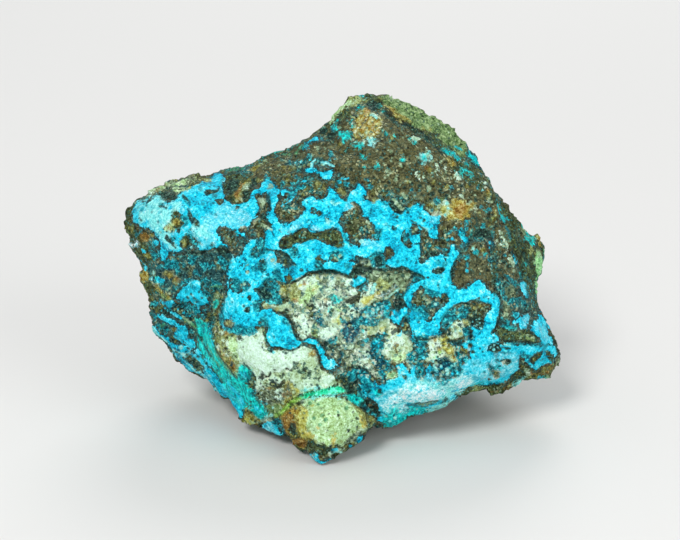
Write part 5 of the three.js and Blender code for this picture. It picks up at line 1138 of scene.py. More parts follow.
P plate + 359,300 363,297 367,296 365,301 362,306 364,310 361,314 358,312 358,306
P plate + 369,293 373,290 377,290 374,294 370,297
S mint + 365,318,1.4 371,314,1.4 377,311,1.2 384,308,1
S mint + 367,322,0.8 374,319,1 380,316,1
S mint + 384,300,0.8 390,296,0.9 396,291,0.7
P deep + 368,324 372,320 378,318 382,321 380,325 374,327 369,326
P film + 384,306 389,303 391,309 388,316 384,313
P navy + 392,303 398,299 403,301 403,306 399,311 394,308
P plate + 363,332 366,328 372,327 377,329 376,334 371,337 366,337 363,335
P plate + 377,328 381,323 386,317 389,321 387,326 385,331 381,334 377,332
P amber + 368,333 370,330 374,328 376,331 373,334 370,335
P amber + 379,327 383,324 386,326 384,331 380,331
P plate + 383,343 387,339 393,336 400,335 403,340 402,345 396,348 392,352 386,356 382,352 384,347
P lime + 390,357 395,354 402,352 405,357 402,362 397,363 392,360
S umber + 396,345,0.8 395,349,1 397,353,0.9
S ash + 399,347,0.8 403,344,0.7
P navy + 374,361 380,357 386,361 390,366 384,370 376,369
P deep + 371,340 376,337 379,341 377,346 373,345
P crust + 375,343 379,341 382,344 381,348 377,348
S navy + 370,350,1.2 373,354,1.4 373,358,1.2
S film + 372,356,1.3 375,350,1.3 379,352,1
# dark clusters on the cream plate
S dark + 292,362,1 295,363,1
S dark + 291,365,1.1 290,368,1
S dark + 295,366,0.9 298,368,1.3
P dark + 301,364 304,362 306,364 303,366
P dark + 302,368 304,366 308,367 309,369 307,371 306,374 303,373 301,371
P dark + 297,371 301,371 302,374 299,373
P dark + 308,371 310,369 312,372 312,376 310,378 307,378 305,375 307,373
S dark + 302,379,0.9 306,378,0.9 311,377,0.8
P dark + 313,377 316,376 318,379 321,381 319,382 316,380 313,379
P dark + 314,368 316,369 318,373 317,376 315,373
S dark + 319,373,1 321,375,1.1 320,379,0.9
D dark + 306,385,0.9 312,385,1.1 317,385,1.4 319,389,1.1 329,389,1.1 335,386,1.1
P ash + 269,379 275,377 280,377 285,380 286,385 282,389 275,389 270,387
P plate + 274,378 278,377 280,380 278,383 275,384 273,381
S dark + 268,375,1.1 271,372,0.9
S dark + 273,369,1.2 275,374,1.1 279,376,1.1 283,379,1.1
S dark + 275,380,0.9 273,377,0.9
S dark + 279,375,1 283,373,0.9 287,374,1.1 291,370,0.9
S dark + 284,378,1.1 287,377,0.9 289,374,0.8
S dark + 270,381,1.2 270,386,1.2 274,388,1.2 279,388,1.1 283,386,1.4 284,382,1.4 282,379,1.1
S dark + 277,384,0.9 280,383,1
P tan + 284,379 289,378 291,382 289,386 285,388 283,385
P tan + 268,389 276,390 284,388 292,388 298,390 300,395 294,400 286,402 278,402 270,399 266,394
D umber + 286,381,1.1 290,391,1.3 285,396,1.1 296,392,1
D pit + 272,393,1.2 276,396,1.4 281,394,1.1 271,398,1.3 287,396,1.2 292,399,1 279,400,1
P plate + 262,345 270,350 280,352 290,352 298,349 304,346 308,352 304,358 298,360 290,360 284,366 276,368 268,366 262,358
P plate + 322,376 328,372 334,374 336,379 332,384 326,386 322,382
P plate + 302,382 308,381 314,383 316,388 308,390 302,388
S umber + 310,354,1 314,352,1
# nodule
P lime + 303,405 310,400 320,397 332,396 342,398 350,404 356,409 361,414 365,421 364,428 358,428 354,434 348,437 346,444 340,447 334,441 328,446 322,443 316,441 311,437 308,432 306,427 304,421 306,415 308,411 305,408
P gilt + 296,407 303,407 307,412 306,416 304,419 303,424 306,430 309,436 306,438 301,432 298,426 296,420 293,415 293,410
P umber + 282,415 287,412 291,410 295,411 294,416 296,421 298,427 296,432 291,434 287,431 284,428 281,422
P umber + 290,440 296,438 302,439 307,441 306,446 301,449 295,448 290,445
P ash + 291,422 296,424 297,432 294,436 290,432
P earth + 286,433 294,436 301,435 307,438 306,441 298,439 290,440 286,437
P earth + 306,440 313,439 320,442 327,445 331,448 330,453 324,457 316,452 310,452 305,449
S tan + 356,410,1.4 361,416,1.8 366,421,1.8 368,426,1.2
S amber + 332,434,1 334,440,1.6 333,446,1.4
D amber + 304,411,1.6 321,415,1.3 313,405,1.4 304,428,1.8 308,433,1.6
P ash + 338,440 346,436 352,431 357,428 359,433 354,440 347,447 340,448
D pit + 316,401,1.3 314,417,0.9 321,409,0.8 332,405,0.8 346,411,1 357,419,1.1 352,421,0.9 344,419,0.8 329,414,0.8 325,421,0.8 318,424,0.8 334,422,0.8 340,428,0.9 349,430,0.9 328,430,0.8 314,430,0.8 310,420,0.8 347,400,0.9 303,402,1.1 338,415,0.7 353,412,0.8 323,437,0.9 342,437,1 349,441,1.2 344,443,1.1 354,434,1.1 312,444,1.1 318,446,1.2 325,450,1.1 322,454,1 310,446,1
D plate + 320,410,1.4 327,407,1 312,414,1 330,419,1.1 340,421,1.1 348,416,1 336,430,1.1 326,426,1 318,434,1 347,407,1 357,425,1.1 313,424,1 342,403,1.1 318,449,1.2 330,455,1.4 340,452,1.3 346,450,1.2
# green vein
S leaf + 282,412,1 287,406,1.8 292,402,2.2 298,399,2.4 304,396,2.2
S leaf + 275,417,0.8 282,412,1.2
P spring + 299,397 305,393 311,391 318,391 325,389 332,387 339,386 345,388 349,391 343,392 336,394 328,395 320,396 312,397 305,399
S mint + 312,398,1 322,397,1.1 332,396,1.2 340,396,1.1
S mint + 303,390,0.8 311,389,1 318,388,0.8
P film + 350,394 358,394 362,400 365,406 358,404 353,400
P moss + 268,402 276,404 282,406 284,411 276,416 270,412 266,407
# lower right: cream patches with gold, blue hollows between them
P dark - 334,289 369,289 369,304 334,304
P deep + 443,316 448,312 456,310 464,308 470,312 466,320 456,320 450,326 447,332 443,330 441,322
P ash + 455,306 461,304 463,310 458,314 453,312
P lime + 449,327 452,322 458,320 466,320 468,323 465,327 462,333 463,336 458,339 452,341 448,338 450,334 449,331
D amber + 454,323,1.3 465,322,1.2 461,334,1.3 455,334,1.1
D navy + 459,324,1.3 455,330,1 460,331,1
P lime + 427,344 430,340 435,337 441,336 446,336 447,341 450,346 452,350 454,355 457,360 456,363 452,364 449,359 445,357 440,357 436,360 432,363 427,362 423,360 425,356 429,352 426,348
P plate + 429,344 434,342 439,344 439,348 434,350 429,349
P amber + 440,338 446,339 447,344 450,347 447,349 443,345 440,342
D gilt + 447,347,1.6 450,353,1.4 454,360,1.8 447,352,1 435,339,1.2
P moss + 432,351 438,350 442,353 438,356 433,355
S plate + 436,351,0.8 434,360,0.8
S plate + 442,354,0.8 440,360,0.8
D pit + 436,361,1.2 440,362,1.2 431,355,0.9 445,354,0.9
P navy + 441,360 447,357 450,361 449,367 445,372 440,374 436,370 437,364
P deep + 434,366 440,372 446,374 448,380 444,384 440,381 434,376 432,371
S mint + 435,366,0.9 437,372,0.9
P plate + 445,368 449,367 450,372 447,374
S mint + 443,371,1 441,376,0.9
P slate + 456,345 460,348 461,356 466,356 470,358 466,362 460,367 461,373 458,378 452,377 450,370 453,364 457,360 456,352
S film + 458,350,1.4 459,358,1.6 456,366,1.2
D earth + 461,351,2 465,353,1.8 463,357,1.2
S mint + 453,365,0.9 456,370,0.8
P navy + 448,341 452,343 457,341 461,340 462,344 459,347 456,344 452,345 449,344
P slate + 414,340 420,338 427,339 429,343 425,347 428,352 424,357 420,360 422,368 426,370 424,374 419,377 416,375 417,368 414,362 411,366 408,364 407,358 410,352 414,350 417,346
S deep + 418,341,1.4 423,345,1.6 418,349,1.4 423,353,1.6 419,358,1.2
S film + 411,354,1.2 409,361,1.6
S film + 419,364,1.4 422,372,1.2
D mint + 416,353,1 415,358,1.5 410,366,1.5 413,362,1 421,346,0.9
S dark + 413,330,0.8 415,338,1.1 420,339,1.2 428,340,1 436,337,0.8 442,334,0.9 447,332,1
P slate + 466,326 470,326 472,332 472,338 468,339 466,334 464,330
P navy + 469,330 472,331 472,337 470,338
D earth + 471,345,1.8 466,351,1.8 472,352,1.3
# white and mint ridge
P mint + 384,408 388,401 393,395 398,390 404,386 412,384 420,381 430,383 440,386 448,384 455,378 463,374 470,376 476,380 470,386 462,391 455,396 450,399 447,403 440,402 430,402 420,403 412,404 404,404 400,410 394,414 386,414
P white + 395,397 400,391 406,388 412,391 418,389 424,392 430,390 438,392 444,388 446,394 440,399 430,400 420,401 410,402 402,403 394,404 388,408 385,405 390,400
P white + 452,387 456,381 462,376 470,376 473,381 466,387 460,391 454,391
S film + 419,391,0.7 420,396,0.7
S film + 427,393,0.7 428,398,0.6
S film + 411,391,0.7 412,396,0.6
S film + 404,394,0.7 405,399,0.7
S film + 434,392,0.6 435,397,0.6
S film + 403,401,1.1 402,404,1
D film + 396,398,0.8 391,405,0.9 395,410,1.2 388,411,1 415,386,0.9 443,381,1
S tan + 414,405,0.8 424,403,1.3 436,402,0.9
S dark + 405,405,0.9 412,405.5,1.1 418,406,0.8
S dark + 447,398,0.8 444,402,0.9 438,403.5,0.8 428,405,0.7
D pit + 380,391,1.5 378,388,1.1 387,412,1
# lower right edge
P earth + 519,360 522,360 526,364 530,369 534,373 538,372 544,370 548,366 553,364 556,362 558,356 563,362 562,369 557,375 552,381 545,383 538,384 533,386 526,389 520,388 514,389 507,394 502,397 494,397 486,394 490,389 498,386 505,386 509,381 514,376 518,371 519,366
P plate + 525,370 528,370 530,374 527,376 525,373
S umber + 532,373,1.2 540,372,1.3 546,368,1.7 550,365,1.3
S mint + 515,384,0.9 519,382,1.2 523,380,1
S film + 536,378,1 543,377,1
P moss + 556,356 561,360 562,364 559,368 555,373 551,378 546,377 550,371 555,366 556,362
P ash + 492,388 500,387 503,390 498,393 492,392
P earth + 530,359 534,355 537,352 541,352 541,356 537,360 533,363 530,362
P earth + 547,351 550,354 553,357 551,361 548,358 546,354
P slate + 489,366 493,369 498,372 498,377 493,377 490,372 488,368
D ash + 495,375,1.6
S dark + 497,359,1 499,361,1.2 505,360,1.5 510,361,1.7 507,365,1.3
S pit + 503,348,1 510,349,1
S deep + 510,342,0.8 520,343,1.3 530,344,0.8
S deep + 533,346,1 545,347,1.3 551,346,1
P earth + 495,331 500,327 506,328 512,331 520,330 528,330 534,333 538,338 537,342 530,343 520,341 510,340 503,340 499,336
S moss + 514,335,1 522,336,1.4 534,340,1.3
S dark + 500,340.5,0.9 512,341,1.1 526,342,1.3 536,343,0.9
P slate + 498,318 504,320 508,326 504,328 498,328 497,322
S film + 506,325,1.3 510,328,1.4 517,328,1
S earth + 544,314,1.2 549,322,1.4 553,332,1.3 557,341,1.5 560,350,1.3
# cracks across the facets at the right
S dark + 477,221,0.9 471,236,0.9 464,249,0.9 457,259,0.9 452,268,0.9
S dark + 491,212,0.7 492,228,0.7 492,244,0.8 493,262,0.8 492,284,0.7
# the lower edge, brown under the crust
P earth + 456,392 464,389 472,388 480,386 488,385 496,384 504,384 505,396 456,398
S film + 460,388,0.8 470,386,0.8 482,384,0.8
# top left rim: pale stones with dark gaps
P jade - 130,170 198,168 198,192 130,205
P ash + 140,197 146,192 152,188 158,185 164,183 168,179 174,177 180,174 186,172 192,171 198,170 198,184 190,188 184,189 178,191 176,195 168,198 163,192 157,195 150,197 144,200
P lime + 176,183 180,182 184,182 190,182 196,181 196,185 190,187 184,187 179,190 176,189
P lime + 157,190 161,187 165,185 168,187 164,190 159,192
P tan + 160,184 170,179 180,175 190,173 198,172 198,178 190,181 182,181 174,184 166,187
P plate + 171,187 174,185 176,188 173,189
P earth + 166,189 171,188 176,190 175,196 169,198 165,194
D plate + 170,192,0.8 173,194,0.8 169,195,0.7
D dark + 171,190,0.8 174,192,0.8 167,193,0.8
D umber + 186,178,1.2 178,180,1 192,176,1.2 164,186,1 157,190,0.9
D pit + 183,179,0.9 188,177,0.8 176,183,0.8 161,189,0.8 155,193,0.8 148,196,0.7 192,180,0.8
S amber + 171,182,0.9 175,182,1.1
S amber + 184,186,1.1 190,185,1.2
S plate + 164,185,0.8 168,182,0.9
S plate + 150,195,0.9 156,192,1
D dark + 180,180,1.2 186,180,1.2 168,186,1 162,193,0.9 173,184,0.7 152,191,0.8 145,195,0.8
# orange stain at the right, cracks and flecks
P gilt + 450,204 455,200 462,201 468,203 474,203 475,207 470,209 469,214 466,218 460,219 453,221 447,218 450,212 448,208
P umber + 458,206 464,204 467,208 466,214 461,217 456,216 455,211
P amber + 441,208 447,206 450,212 447,217 442,214
D plate + 446,202,1.6 448,205,1.3 443,205,1.2 447,209,1.2 445,216,1.6 449,210,1 468,203,1.2 475,208,1.1 463,196,1.2
D moss + 442,199,1.6 438,202,1.4 433,206,1.6
S tan + 488,193,1.2 490,198,1.2
S gilt + 494,212,1 497,211,1.2
S moss + 491,220,1.2 495,216,1.2 499,217,1
D cream + 489,200,1.1 500,233,1 502,237,1.1 505,237,1 497,240,1.1 507,244,1.4 503,246,1 473,247,1.6 474,250,1 509,255,1.1 512,258,1.1 511,263,1.2 514,265,1
S dark + 476,215,0.8 477,221,0.8 479,229,0.9 475,234,0.9 471,240,1 466,247,1 461,254,1 456,261,1 453,268,0.9 453,275,0.8
S film + 474,228,1 471,235,0.9 469,239,0.9
S dark + 478,234,0.9 485,237,0.9 490,239,0.9 494,243,0.9 497,248,0.8
S dark + 492,246,0.8 492,254,0.8 494,262,0.9 494,270,0.9 493,279,0.8
S film + 491,226,0.8 492,235,0.9
S pale + 491,258,0.7 492,266,0.7 492,276,0.7
D crust + 490,243,1.8 489,247,1.2 467,271,1.8 460,232,1.3
D film + 476,253,1.6 484,255,1.3 469,257,1.4 481,240,1.2 477,230,1.6 468,222,1.6 483,226,1.3 488,210,1.6
S crust + 511,250,1 515,258,1.1 519,266,1.2
S teal + 498,200,1.3 500,208,1.5 503,216,1.8 505,223,1.6 508,231,1.4 511,240,1.3
# cream plate at the left: bright middle, mottled left end, dark cavities below
P all - 213,330 222,328 236,334 250,335 258,338 262,342 265,348 272,354 282,350 291,352 294,360 292,370 292,382 288,396 282,402 268,404 256,396 254,386 252,376 244,366 240,372 236,378 228,370 220,358 214,346
P plate + 236,338 243,336 250,335 257,337 259,332 262,330 264,335 263,341 265,347 263,351 267,354 273,353 280,350 286,352 292,352 294,358 291,363 291,370 285,372 277,373 269,373 262,372 257,369 251,368 247,364 242,362 238,358 236,350
P tan + 213,327 217,324 221,328 226,331 232,333 237,337 239,341 237,347 238,354 241,360 238,366 240,372 237,378 232,373 227,366 222,360 218,354 216,347 214,340
P lime + 228,336 234,338 238,345 237,352 239,359 233,357 229,350 230,343
D plate + 223,341,1.6 218,345,1.3 228,343,1.5 226,355,1.8 234,352,2.2 231,347,1.1 222,333,1.4 233,342,1.6 222,350,1.1
D umber + 222,344,1.3 220,352,1 226,334,1.2 219,337,1.2
S umber + 221,356,1.1 225,360,1.2 229,363,1.4 232,366,1.2 234,369,1
S gilt + 222,354,0.8 228,361,0.9 231,360,0.9
D pit + 225,349,1.8 219,340,1.1 216,331,1.8 217,336,1.2 229,352,0.9 239,338,1.7 242,340,1.2 230,365,1 243,347,1 227,338,0.8 224,345,0.7 221,347,0.7 232,336,0.8 236,356,0.8
D dark + 262,347,1 262,343,0.7 256,336,1 269,350,1.8 271,351,1.2 264,350,0.8 274,360,0.8 278,362,0.9 283,352,1 286,353,1.2 293,353,1
S dark + 214,342,0.8 216,349,0.8 220,357,0.9 225,363,0.9 230,369,0.9 233,374,1 236,378,0.9
P film + 238,368 241,365 245,366 249,369 252,372 252,378 249,383 244,383 240,380 237,375
S dark + 244,363,1 247,366,1.3 250,369,1.1
D crust + 245,376,2.4 241,373,1.6
D spring + 241,370,1.4 247,371,1.4
D navy + 253,373,1.3 250,378,1.3 248,384,1.2 252,381,1.4
D dark + 255,385,1.3 253,389,1.2 251,376,0.9
D tan + 251,386,1.3 254,379,0.9
P plate + 255,370 262,371 268,373 270,377 267,381 264,385 263,389 257,391 256,385 257,378
P pit + 259,375 262,371 264,374 267,376 265,379 262,381 259,379
P pit + 267,377 269,373 272,371 271,375 268,379
P pit + 273,369 275,369 277,374 280,374 281,371 284,370 286,373 284,377 281,379 278,376 275,376 273,373
P pit + 268,384 271,380 274,379 275,382 279,385 283,380 286,378 285,383 281,387 276,388 271,386
P plate + 274,378 278,376 281,379 279,383 275,383
D pit + 288,375,1.3 291,371,1.1 261,384,0.8 258,370,0.8 287,369,0.8 277,380,0.8 266,383,0.7
P ash + 256,392 262,389 268,388 276,389 283,387 288,382 292,382 292,390 289,397 284,402 276,402 268,405 261,402 257,398
D plate + 268,391,1.4 277,392,1.5 283,390,1.2 272,394,1.1 280,397,1.3 266,400,1.8 262,393,1 275,397,0.8 290,379,1.8
D pit + 263,397,1.3 270,397,1.2 275,400,1.2 262,401,1.5 258,394,1.1 269,402,1 280,393,0.7 272,391,0.7
D umber + 286,387,1.5 288,392,1.4 284,395,1.1 269,389,1 290,398,1.2
D gilt + 286,382,1.4 291,391,1.2 287,398,1.3
# centre: a patchwork of cream, tan, grey and blue
P all - 288,284 300,281 310,277 318,274 330,272 342,274 350,284 357,290 358,298 352,302 358,310 362,320 362,330 360,338 352,346 340,346 330,344 322,338 312,336 304,338 298,332 292,322 288,314 288,300
P speckle + 288,284 300,281 310,277 318,274 330,272 342,274 350,284 357,290 358,298 352,302 358,310 362,320 362,330 360,338 352,346 340,346 330,344 322,338 312,336 304,338 298,332 292,322 288,314 288,300
P tan + 288,284 294,283 300,281 306,279 312,276 318,277 320,282 316,285 311,283 306,286 302,292 299,298 293,300 288,298
P gilt + 291,286 296,284 300,287 298,294 293,297 290,292
P lime + 303,296 306,287 312,282 318,283 322,287 318,292 313,297 309,302 305,306 299,304 298,299
P gilt + 313,287 317,287 319,290 315,293 312,291
P plate + 326,285 331,280 338,277 345,275 349,282 354,288 356,292 353,295 347,296 341,295 336,292 331,294 327,292
P ash + 313,294 319,291 325,293 328,298 327,303 323,306 318,305 314,301
P ash + 322,277 328,276 330,281 326,286 321,284
P pit + 306,308 309,304 313,303 314,307 311,311 308,310
P plate + 317,305 321,306 325,309 322,313 318,311
P navy + 316,314 318,311 322,312 324,318 323,325 321,329 317,326 315,320
P plate + 291,316 297,317 304,316 309,320 311,325 310,331 309,336 304,339 300,334 300,327 296,323 292,319
P plate + 321,331 324,327 330,325 335,328 338,331 336,335 331,338 327,341 323,338
P film + 330,296 336,295 342,299 340,303 333,304
P lime + 334,307 341,306 348,309 354,309 357,314 353,320 346,322 341,318 344,314 338,311
P deep + 341,318 346,322 352,322 357,318 361,313 363,320 360,327 354,327 348,326 342,324
P pit + 345,300 351,296 358,295 357,300 351,302 346,303
P navy + 341,333 344,327 349,324 355,327 359,333 356,338 350,337 344,336
P deep + 327,342 331,338 338,336 339,341 334,345 329,347
P earth + 310,311 315,312 315,318 312,324 309,318
P moss + 311,329 317,329 320,334 316,338 311,335
D dark + 338,286,1 333,286,0.9 339,281,0.9 336,288,0.8 311,301,1.3 341,303,1.5 325,314,1 328,317,1.2 327,325,1.2 330,323,1 345,312,0.8 318,297,1 301,292,0.8 310,289,0.7 318,282,0.7
D slate + 343,292,1.8 301,297,1.4
D deep + 320,315,2 341,331,1.8 336,302,1.2 332,285,0.8
D lime + 337,320,2.2 341,323,1.5 316,325,1.6 332,311,1.2
D amber + 338,323,1.3 300,286,1.2 334,321,1
D umber + 296,300,1.2 304,283,1.2 326,300,1 342,314,0.8
D plate + 326,302,1.3 332,306,1.3 328,318,1 331,320,1.2 336,316,1 349,330,1 310,298,1.4 315,299,0.8 297,304,1.4
D ash + 322,318,0.8 334,330,1 347,331,0.8
S earth + 309,318,0.9 312,322,0.9 311,328,0.9
S earth + 338,333,1 336,337,0.9 330,341,0.8
D film + 334,299,1.2 352,306,1.2 358,322,1.4 329,310,1 318,318,0.8
# where fine dark and pale specks crowd
P busy + 288,284 300,281 310,277 318,274 330,272 342,274 350,284 357,290 362,296 380,286 392,290 398,304 396,322 404,340 412,352 410,368 400,380 388,384 372,382 356,372 340,362 326,350 322,338 312,336 304,338 298,332 292,322 288,314 288,300
P busy + 407,350 414,340 424,334 440,330 450,322 466,318 472,332 472,350 470,362 460,372 452,382 436,384 420,378 410,370
P busy + 213,327 217,324 232,333 237,337 239,341 237,347 238,354 241,360 238,366 240,372 237,378 227,366 218,354 214,340
P busy + 256,382 262,378 290,368 292,390 284,402 268,405 257,398
P busy + 140,197 152,188 168,179 186,172 198,170 198,184 184,189 176,195 163,192 144,200
P busy + 300,440 310,452 322,462 336,468 350,462 362,452 372,440 372,462 340,476 304,462
# brown wedge with golden streaks, left of the middle
P earth + 224,170 232,172 240,173 250,176 254,184 251,193 246,200 239,204 232,204 226,199 224,188
S umber + 236,196,1 240,188,1.2 244,179,1
S gilt + 238,200,0.9 240,193,1 242,186,0.9
S tan + 256,168,0.9 260,163,1.1 263,160,1
S gilt + 252,176,0.8 255,169,0.9
D plate + 240,198,0.9 246,188,0.8 234,186,0.7
D pit + 230,180,1.2 236,176,1.1 229,190,1.3 244,196,1 233,199,1
# cracks, wider
S dark + 476,219,1.1 478,228,1.2 475,234,1.2 471,240,1.3 466,247,1.3 461,254,1.3 456,261,1.2 453,269,1.1 452,277,0.9
S dark + 491,238,1 492,250,1.1 494,262,1.2 494,272,1.1 493,283,0.9
S dark + 479,234,1 486,237,1 491,240,1
S dark + 385,114,1.2 392,121,1.3 402,127,1.3 412,132,1.2 422,137,1.2 432,144,1.2 442,151,1.2 450,158,1.1
# top right flank: dark, with a thin blue edge
P slate + 444,146 452,147 460,152 468,158 476,165 483,174 486,182 481,183 474,174 466,167 458,161 450,156 445,152
P earth + 446,152 454,158 463,165 472,174 479,184 474,184 466,176 458,168 450,162 445,157
S teal + 455,146,1.2 462,150,1.2 468,155,1 474,161,1
S teal + 449,153,1 455,157,1.1
S dark + 447,158,1.2 456,165,1.2 465,173,1.2 474,182,1.2 482,192,1.1
# slate wedge under the brown hole, left of the middle
P slate + 275,250 281,251 287,256 293,264 289,267 284,264 278,259 275,254
D earth + 286,263,1.6 281,256,1.1
# top right flank again, drawn closer
P all - 442,146 452,148 464,150 470,144 486,158 494,172 500,190 510,205 504,212 494,198 486,190 476,184 462,178 450,168 442,156
P crust - 442,146 452,148 464,150 470,144 486,158 494,172 500,190 510,205 504,212 494,198 486,190 476,184 462,178 450,168 442,156
P teal - 442,146 452,148 464,150 470,144 486,158 494,172 500,190 510,205 504,212 494,198 486,190 476,184 462,178 450,168 442,156
P moss + 446,128 456,127 463,135 468,144 467,154 463,157 457,153 451,148 446,140
P slate + 467,144 473,146 480,152 484,160 488,168 494,176 500,188 506,198 500,200 493,189 487,179 479,169 471,162 465,155
P earth + 444,154 450,155 457,160 464,164 473,167 482,176 488,186 493,198 485,192 476,187 466,182 456,174 448,166
S teal + 444,151,1.6 448,152,1.4
S teal + 453,152,1.4 455,155,1.8 458,159,1.4
S teal + 470,154,1.6 474,158,2 479,163,1.6
S crust + 471,155,1 473,157.5,1.3 476,161,1.2 479,163.5,0.8
P deep + 467,146 471,147 471,151 468,152
D film + 463,169,1.5 463.5,172,2.1 468,164,1.3 471,177,1.3 452,190,1.3
D crust + 464,172,1
D gilt + 449,160,2 453,165,1.5 475,183,1.2
D plate + 457,174,1.8 459,177,1.2 455,181,1 442,162,1.4 478,185,1.1 485,187,1.1 486,180,0.9 490,201,1.3 469,202,1.2 465,186,1
D pale + 482,190,1.5 489,176,1
S umber + 486,190,1.1 488,195,1.3 491,200,1.1
S deep + 488,174,1 490,184,1.2 493,190,1.6 496,196,1.4 498,202,1.2 500,208,1.1
S deep + 504,224,1.3 508,231,1.2 510,237,1.1
P crust + 501,213 503,214 505,219 505,223 502,222 501,218
P earth + 503,200 509,208 515,217 521,226 519,232 521,240 516,247 511,241 507,228 503,214
D dark + 510,212,1.2 514,222,1.4 512,230,1.3 517,238,1.3 506,206,1 519,228,1
S crust + 512,251,1.1 514,257,1.4 516.5,262,1.3 518.5,266,0.9
S deep + 514.5,251,1 517.5,258,1.2 520,264,1
P spring + 520,229 524,226 528,227 532,232 536,238 539,243 533,243 528,240 523,235
P film + 521,235 525,236 529,240 534,242 538,243 533,246 527,245 522,241
S moss + 533,231,1.1 538,235,1.5 541,239,1.5 543,244,1.3
S tan + 536,231,1 541,236,1.1
S tan + 517,231,1 519,235,1
# right side, drawn over a closer look
P all - 488,172 492,172 498,186 504,196 512,208 524,224 534,230 541,236 546,246 540,252 536,260 535,280 534,298 528,300 530,290 520,276 514,262 509,248 503,232 498,216 494,202 489,188
P teal - 488,172 492,172 498,186 504,196 512,208 524,224 534,230 541,236 546,246 540,252 536,260 535,280 534,298 528,300 530,290 520,276 514,262 509,248 503,232 498,216 494,202 489,188
P crust - 506,236 514,250 521,268 530,288 536,300 540,290 538,262 526,246
P earth + 494,180 503,194 514,208 523,222 520,226 517,232 521,240 532,247 537,254 535,266 536,282 534,298 529,296 524,282 519,268 513,252 507,236 502,220 498,206 493,190
S dark + 497,190,1.2 503,204,1.4 508,214,1.3
S dark + 512,224,1.5 515,236,1.6 520,246,1.5
S dark + 522,252,1.8 526,260,1.8 530,268,1.6
S dark + 523,272,1.4 528,280,1.3 532,288,1.3
S deep + 489,177,0.8 491.5,184,1.4 495,192,1.4 497.5,200,1
S teal + 498.5,204,0.7 500.5,211,1.0 503,218,1.6 505,223,1.1
S deep + 505.5,227,0.9 508,233,1.2 510,240,1.1
P crust + 511.6,251 513.8,251 516.4,256 518.4,261 519,266 517,265 514.6,260 512.4,255
P pit + 514.4,250 516,250 518.6,256 520.4,262 521,267 519.6,266 517.4,259
P green + 518,231 521,228 526,227 531,229 536,232 534,236 528,233 522,235 519,237
P film + 521,236 526,234 530,236 534,239 537,243 532,245 527,242 523,240
S cream + 524,229,0.9 527,231,0.8
P earth + 532,229 538,231 543,236 546,243 546,250 542,248 538,242 535,236
S gilt + 534,232,0.8 538,237,0.9 541,243,0.8
S jade + 544,238,0.8 546,245,1 546.5,252,1
S tan + 527,248,0.8 532,251,0.9 536,256,1.2 537,262,1.2
P jade + 537,252 541,254 543.5,262 543.5,272 542,282 539,292 537,296 536,290 537,282 538,274 536,268 535,262
P crust + 520,282 525,281 527.5,285 528.5,290 530,297 526,297 523,291 520.5,288
P pale + 522,283 526,283 528,290 529,296 525,295 522,289
S deep + 528,279,1 531.5,286,1.2 533,292,1
D film + 524,264,1.3 520,273,1.1 516,284,1.2
P pale + 521,317 528,315 528,326 522,328
P crust + 537,310.5 541,311 544,318 548,327 552,338 546,334 541,326 536,327 529,327 534,322 538,317
P pale + 538,324 546,327 549,340 543,338 537,330
P pale + 498,352 510,352 518,356 518,366 512,373 500,378 490,381 480,379 478,368 488,362
P pale + 402,377 404,382 398,392 388,398 380,404 384,412 390,408 402,400 420,394 440,386 460,378 470,370 462,366 440,372 420,376
P crust + 525,352 534,349.5 545,348 555,349 557.5,354 554,352.5 547,351 541,352.5 534,355 529.5,360 532,366 528,365 524.5,360
P all - 551,350 559,352 562,362 558,374 550,380 548,376 553,368 555,360
P ash + 555,357 558.5,355 561.5,362 560,369 554,376 548,379 549,375 553,370 556,364
S tan + 557,360,1.2 559,365,1.4 555,372,1.4 551,376,1
P umber + 541,371 548,365 555,362 555,367 551,372 546,375 542,374
D dark + 557,367,0.9 552,373,1 548,369,1.1
# left side, closer
P crust - 181,281 186,279 192,281 188,285 184,288 179,291 178,287
P crust - 200,306 207,303 211,307 209,313 203,313 199,309
S crust + 184,288,1.4 181,292,1.2 178,296,1
S crust + 163,303,1.6 168,303,2 173,301,1.2
S crust + 171,312,1.4 176,315,1.6 181,318,1.2
S deep + 176,289,1.6 182,283,1.8 190,279,1.2
D crust + 187,282,1.1 190,285,0.9 159,302,1.2 165,308,1.4 178,309,1.1 184,313,1.3 190,316,1.1
D deep + 169,310,2 176,306,1.8 186,309,2 196,313,2.2 205,311,1.8 160,310,1.8
D dark + 191,294,1.3 194,298,1.1 187,297,1 197,302,1.2 202,298,1 199,292,1 186,291,0.8 205,306,1
D dark + 244,306,1.4 249,308,1.6 245,311,1.2 251,305,0.9
D pit + 160,206,0.9 163,204,0.9 166,208,0.8 170,240,1 173,243,1 167,237,1 178,231,0.9 206,240,0.8
S pit + 168,240,0.8 172,243,0.9 175,247,0.7
D deep + 152,212,1.2 148,206,1.2 158,222,1.4 163,232,1.3 190,205,1.5 203,204,2 213,203,1.8 215,214,1.5 226,214,1.2
D earth + 190,229,1.6 199,243,1.6 212,245,1.6 221,250,1.8
D slate + 205,262,3 195,259,2.4 214,270,2.4 183,262,2
P pale + 380,401 390,398 397,404 394,414 386,416 381,410
# centre, closer
P crust + 286,224 296,222 304,219 312,222 322,226 334,225 338,228 330,228 320,230 312,232 306,229 298,227 290,230 282,234 278,236 280,230
P earth + 281,247 279,243 283,239 288,235.5 294,234 300,229.5 307,231.5 313,233.5 322,231.5 332,228.5 340,232 343,239 344,246 338,248 332,244.5 325,240.5 316,238.5 308,239.5 302,243 295,242.5 290,248
D pit + 285,243,1.7 296,238,1.3 305,234,1.2 321,236,1.1 335,242,1.4 329,233,1
S pit + 279,243,0.6 283,238.5,0.7 288,235,0.7 294,233,0.7 300,229,0.7 307,231,0.6
S pit + 314,233,0.5 323,231,0.6 332,228,0.6 340,231,0.6
S dark + 352,201,0.9 356,205,1.1 361,209,0.9 363,214,0.7
S pit + 276,208,0.6 279,203,0.7 286,200,0.7 294,199,0.7 300,203,0.6
P umber - 288,280 302,280 304,300 290,302
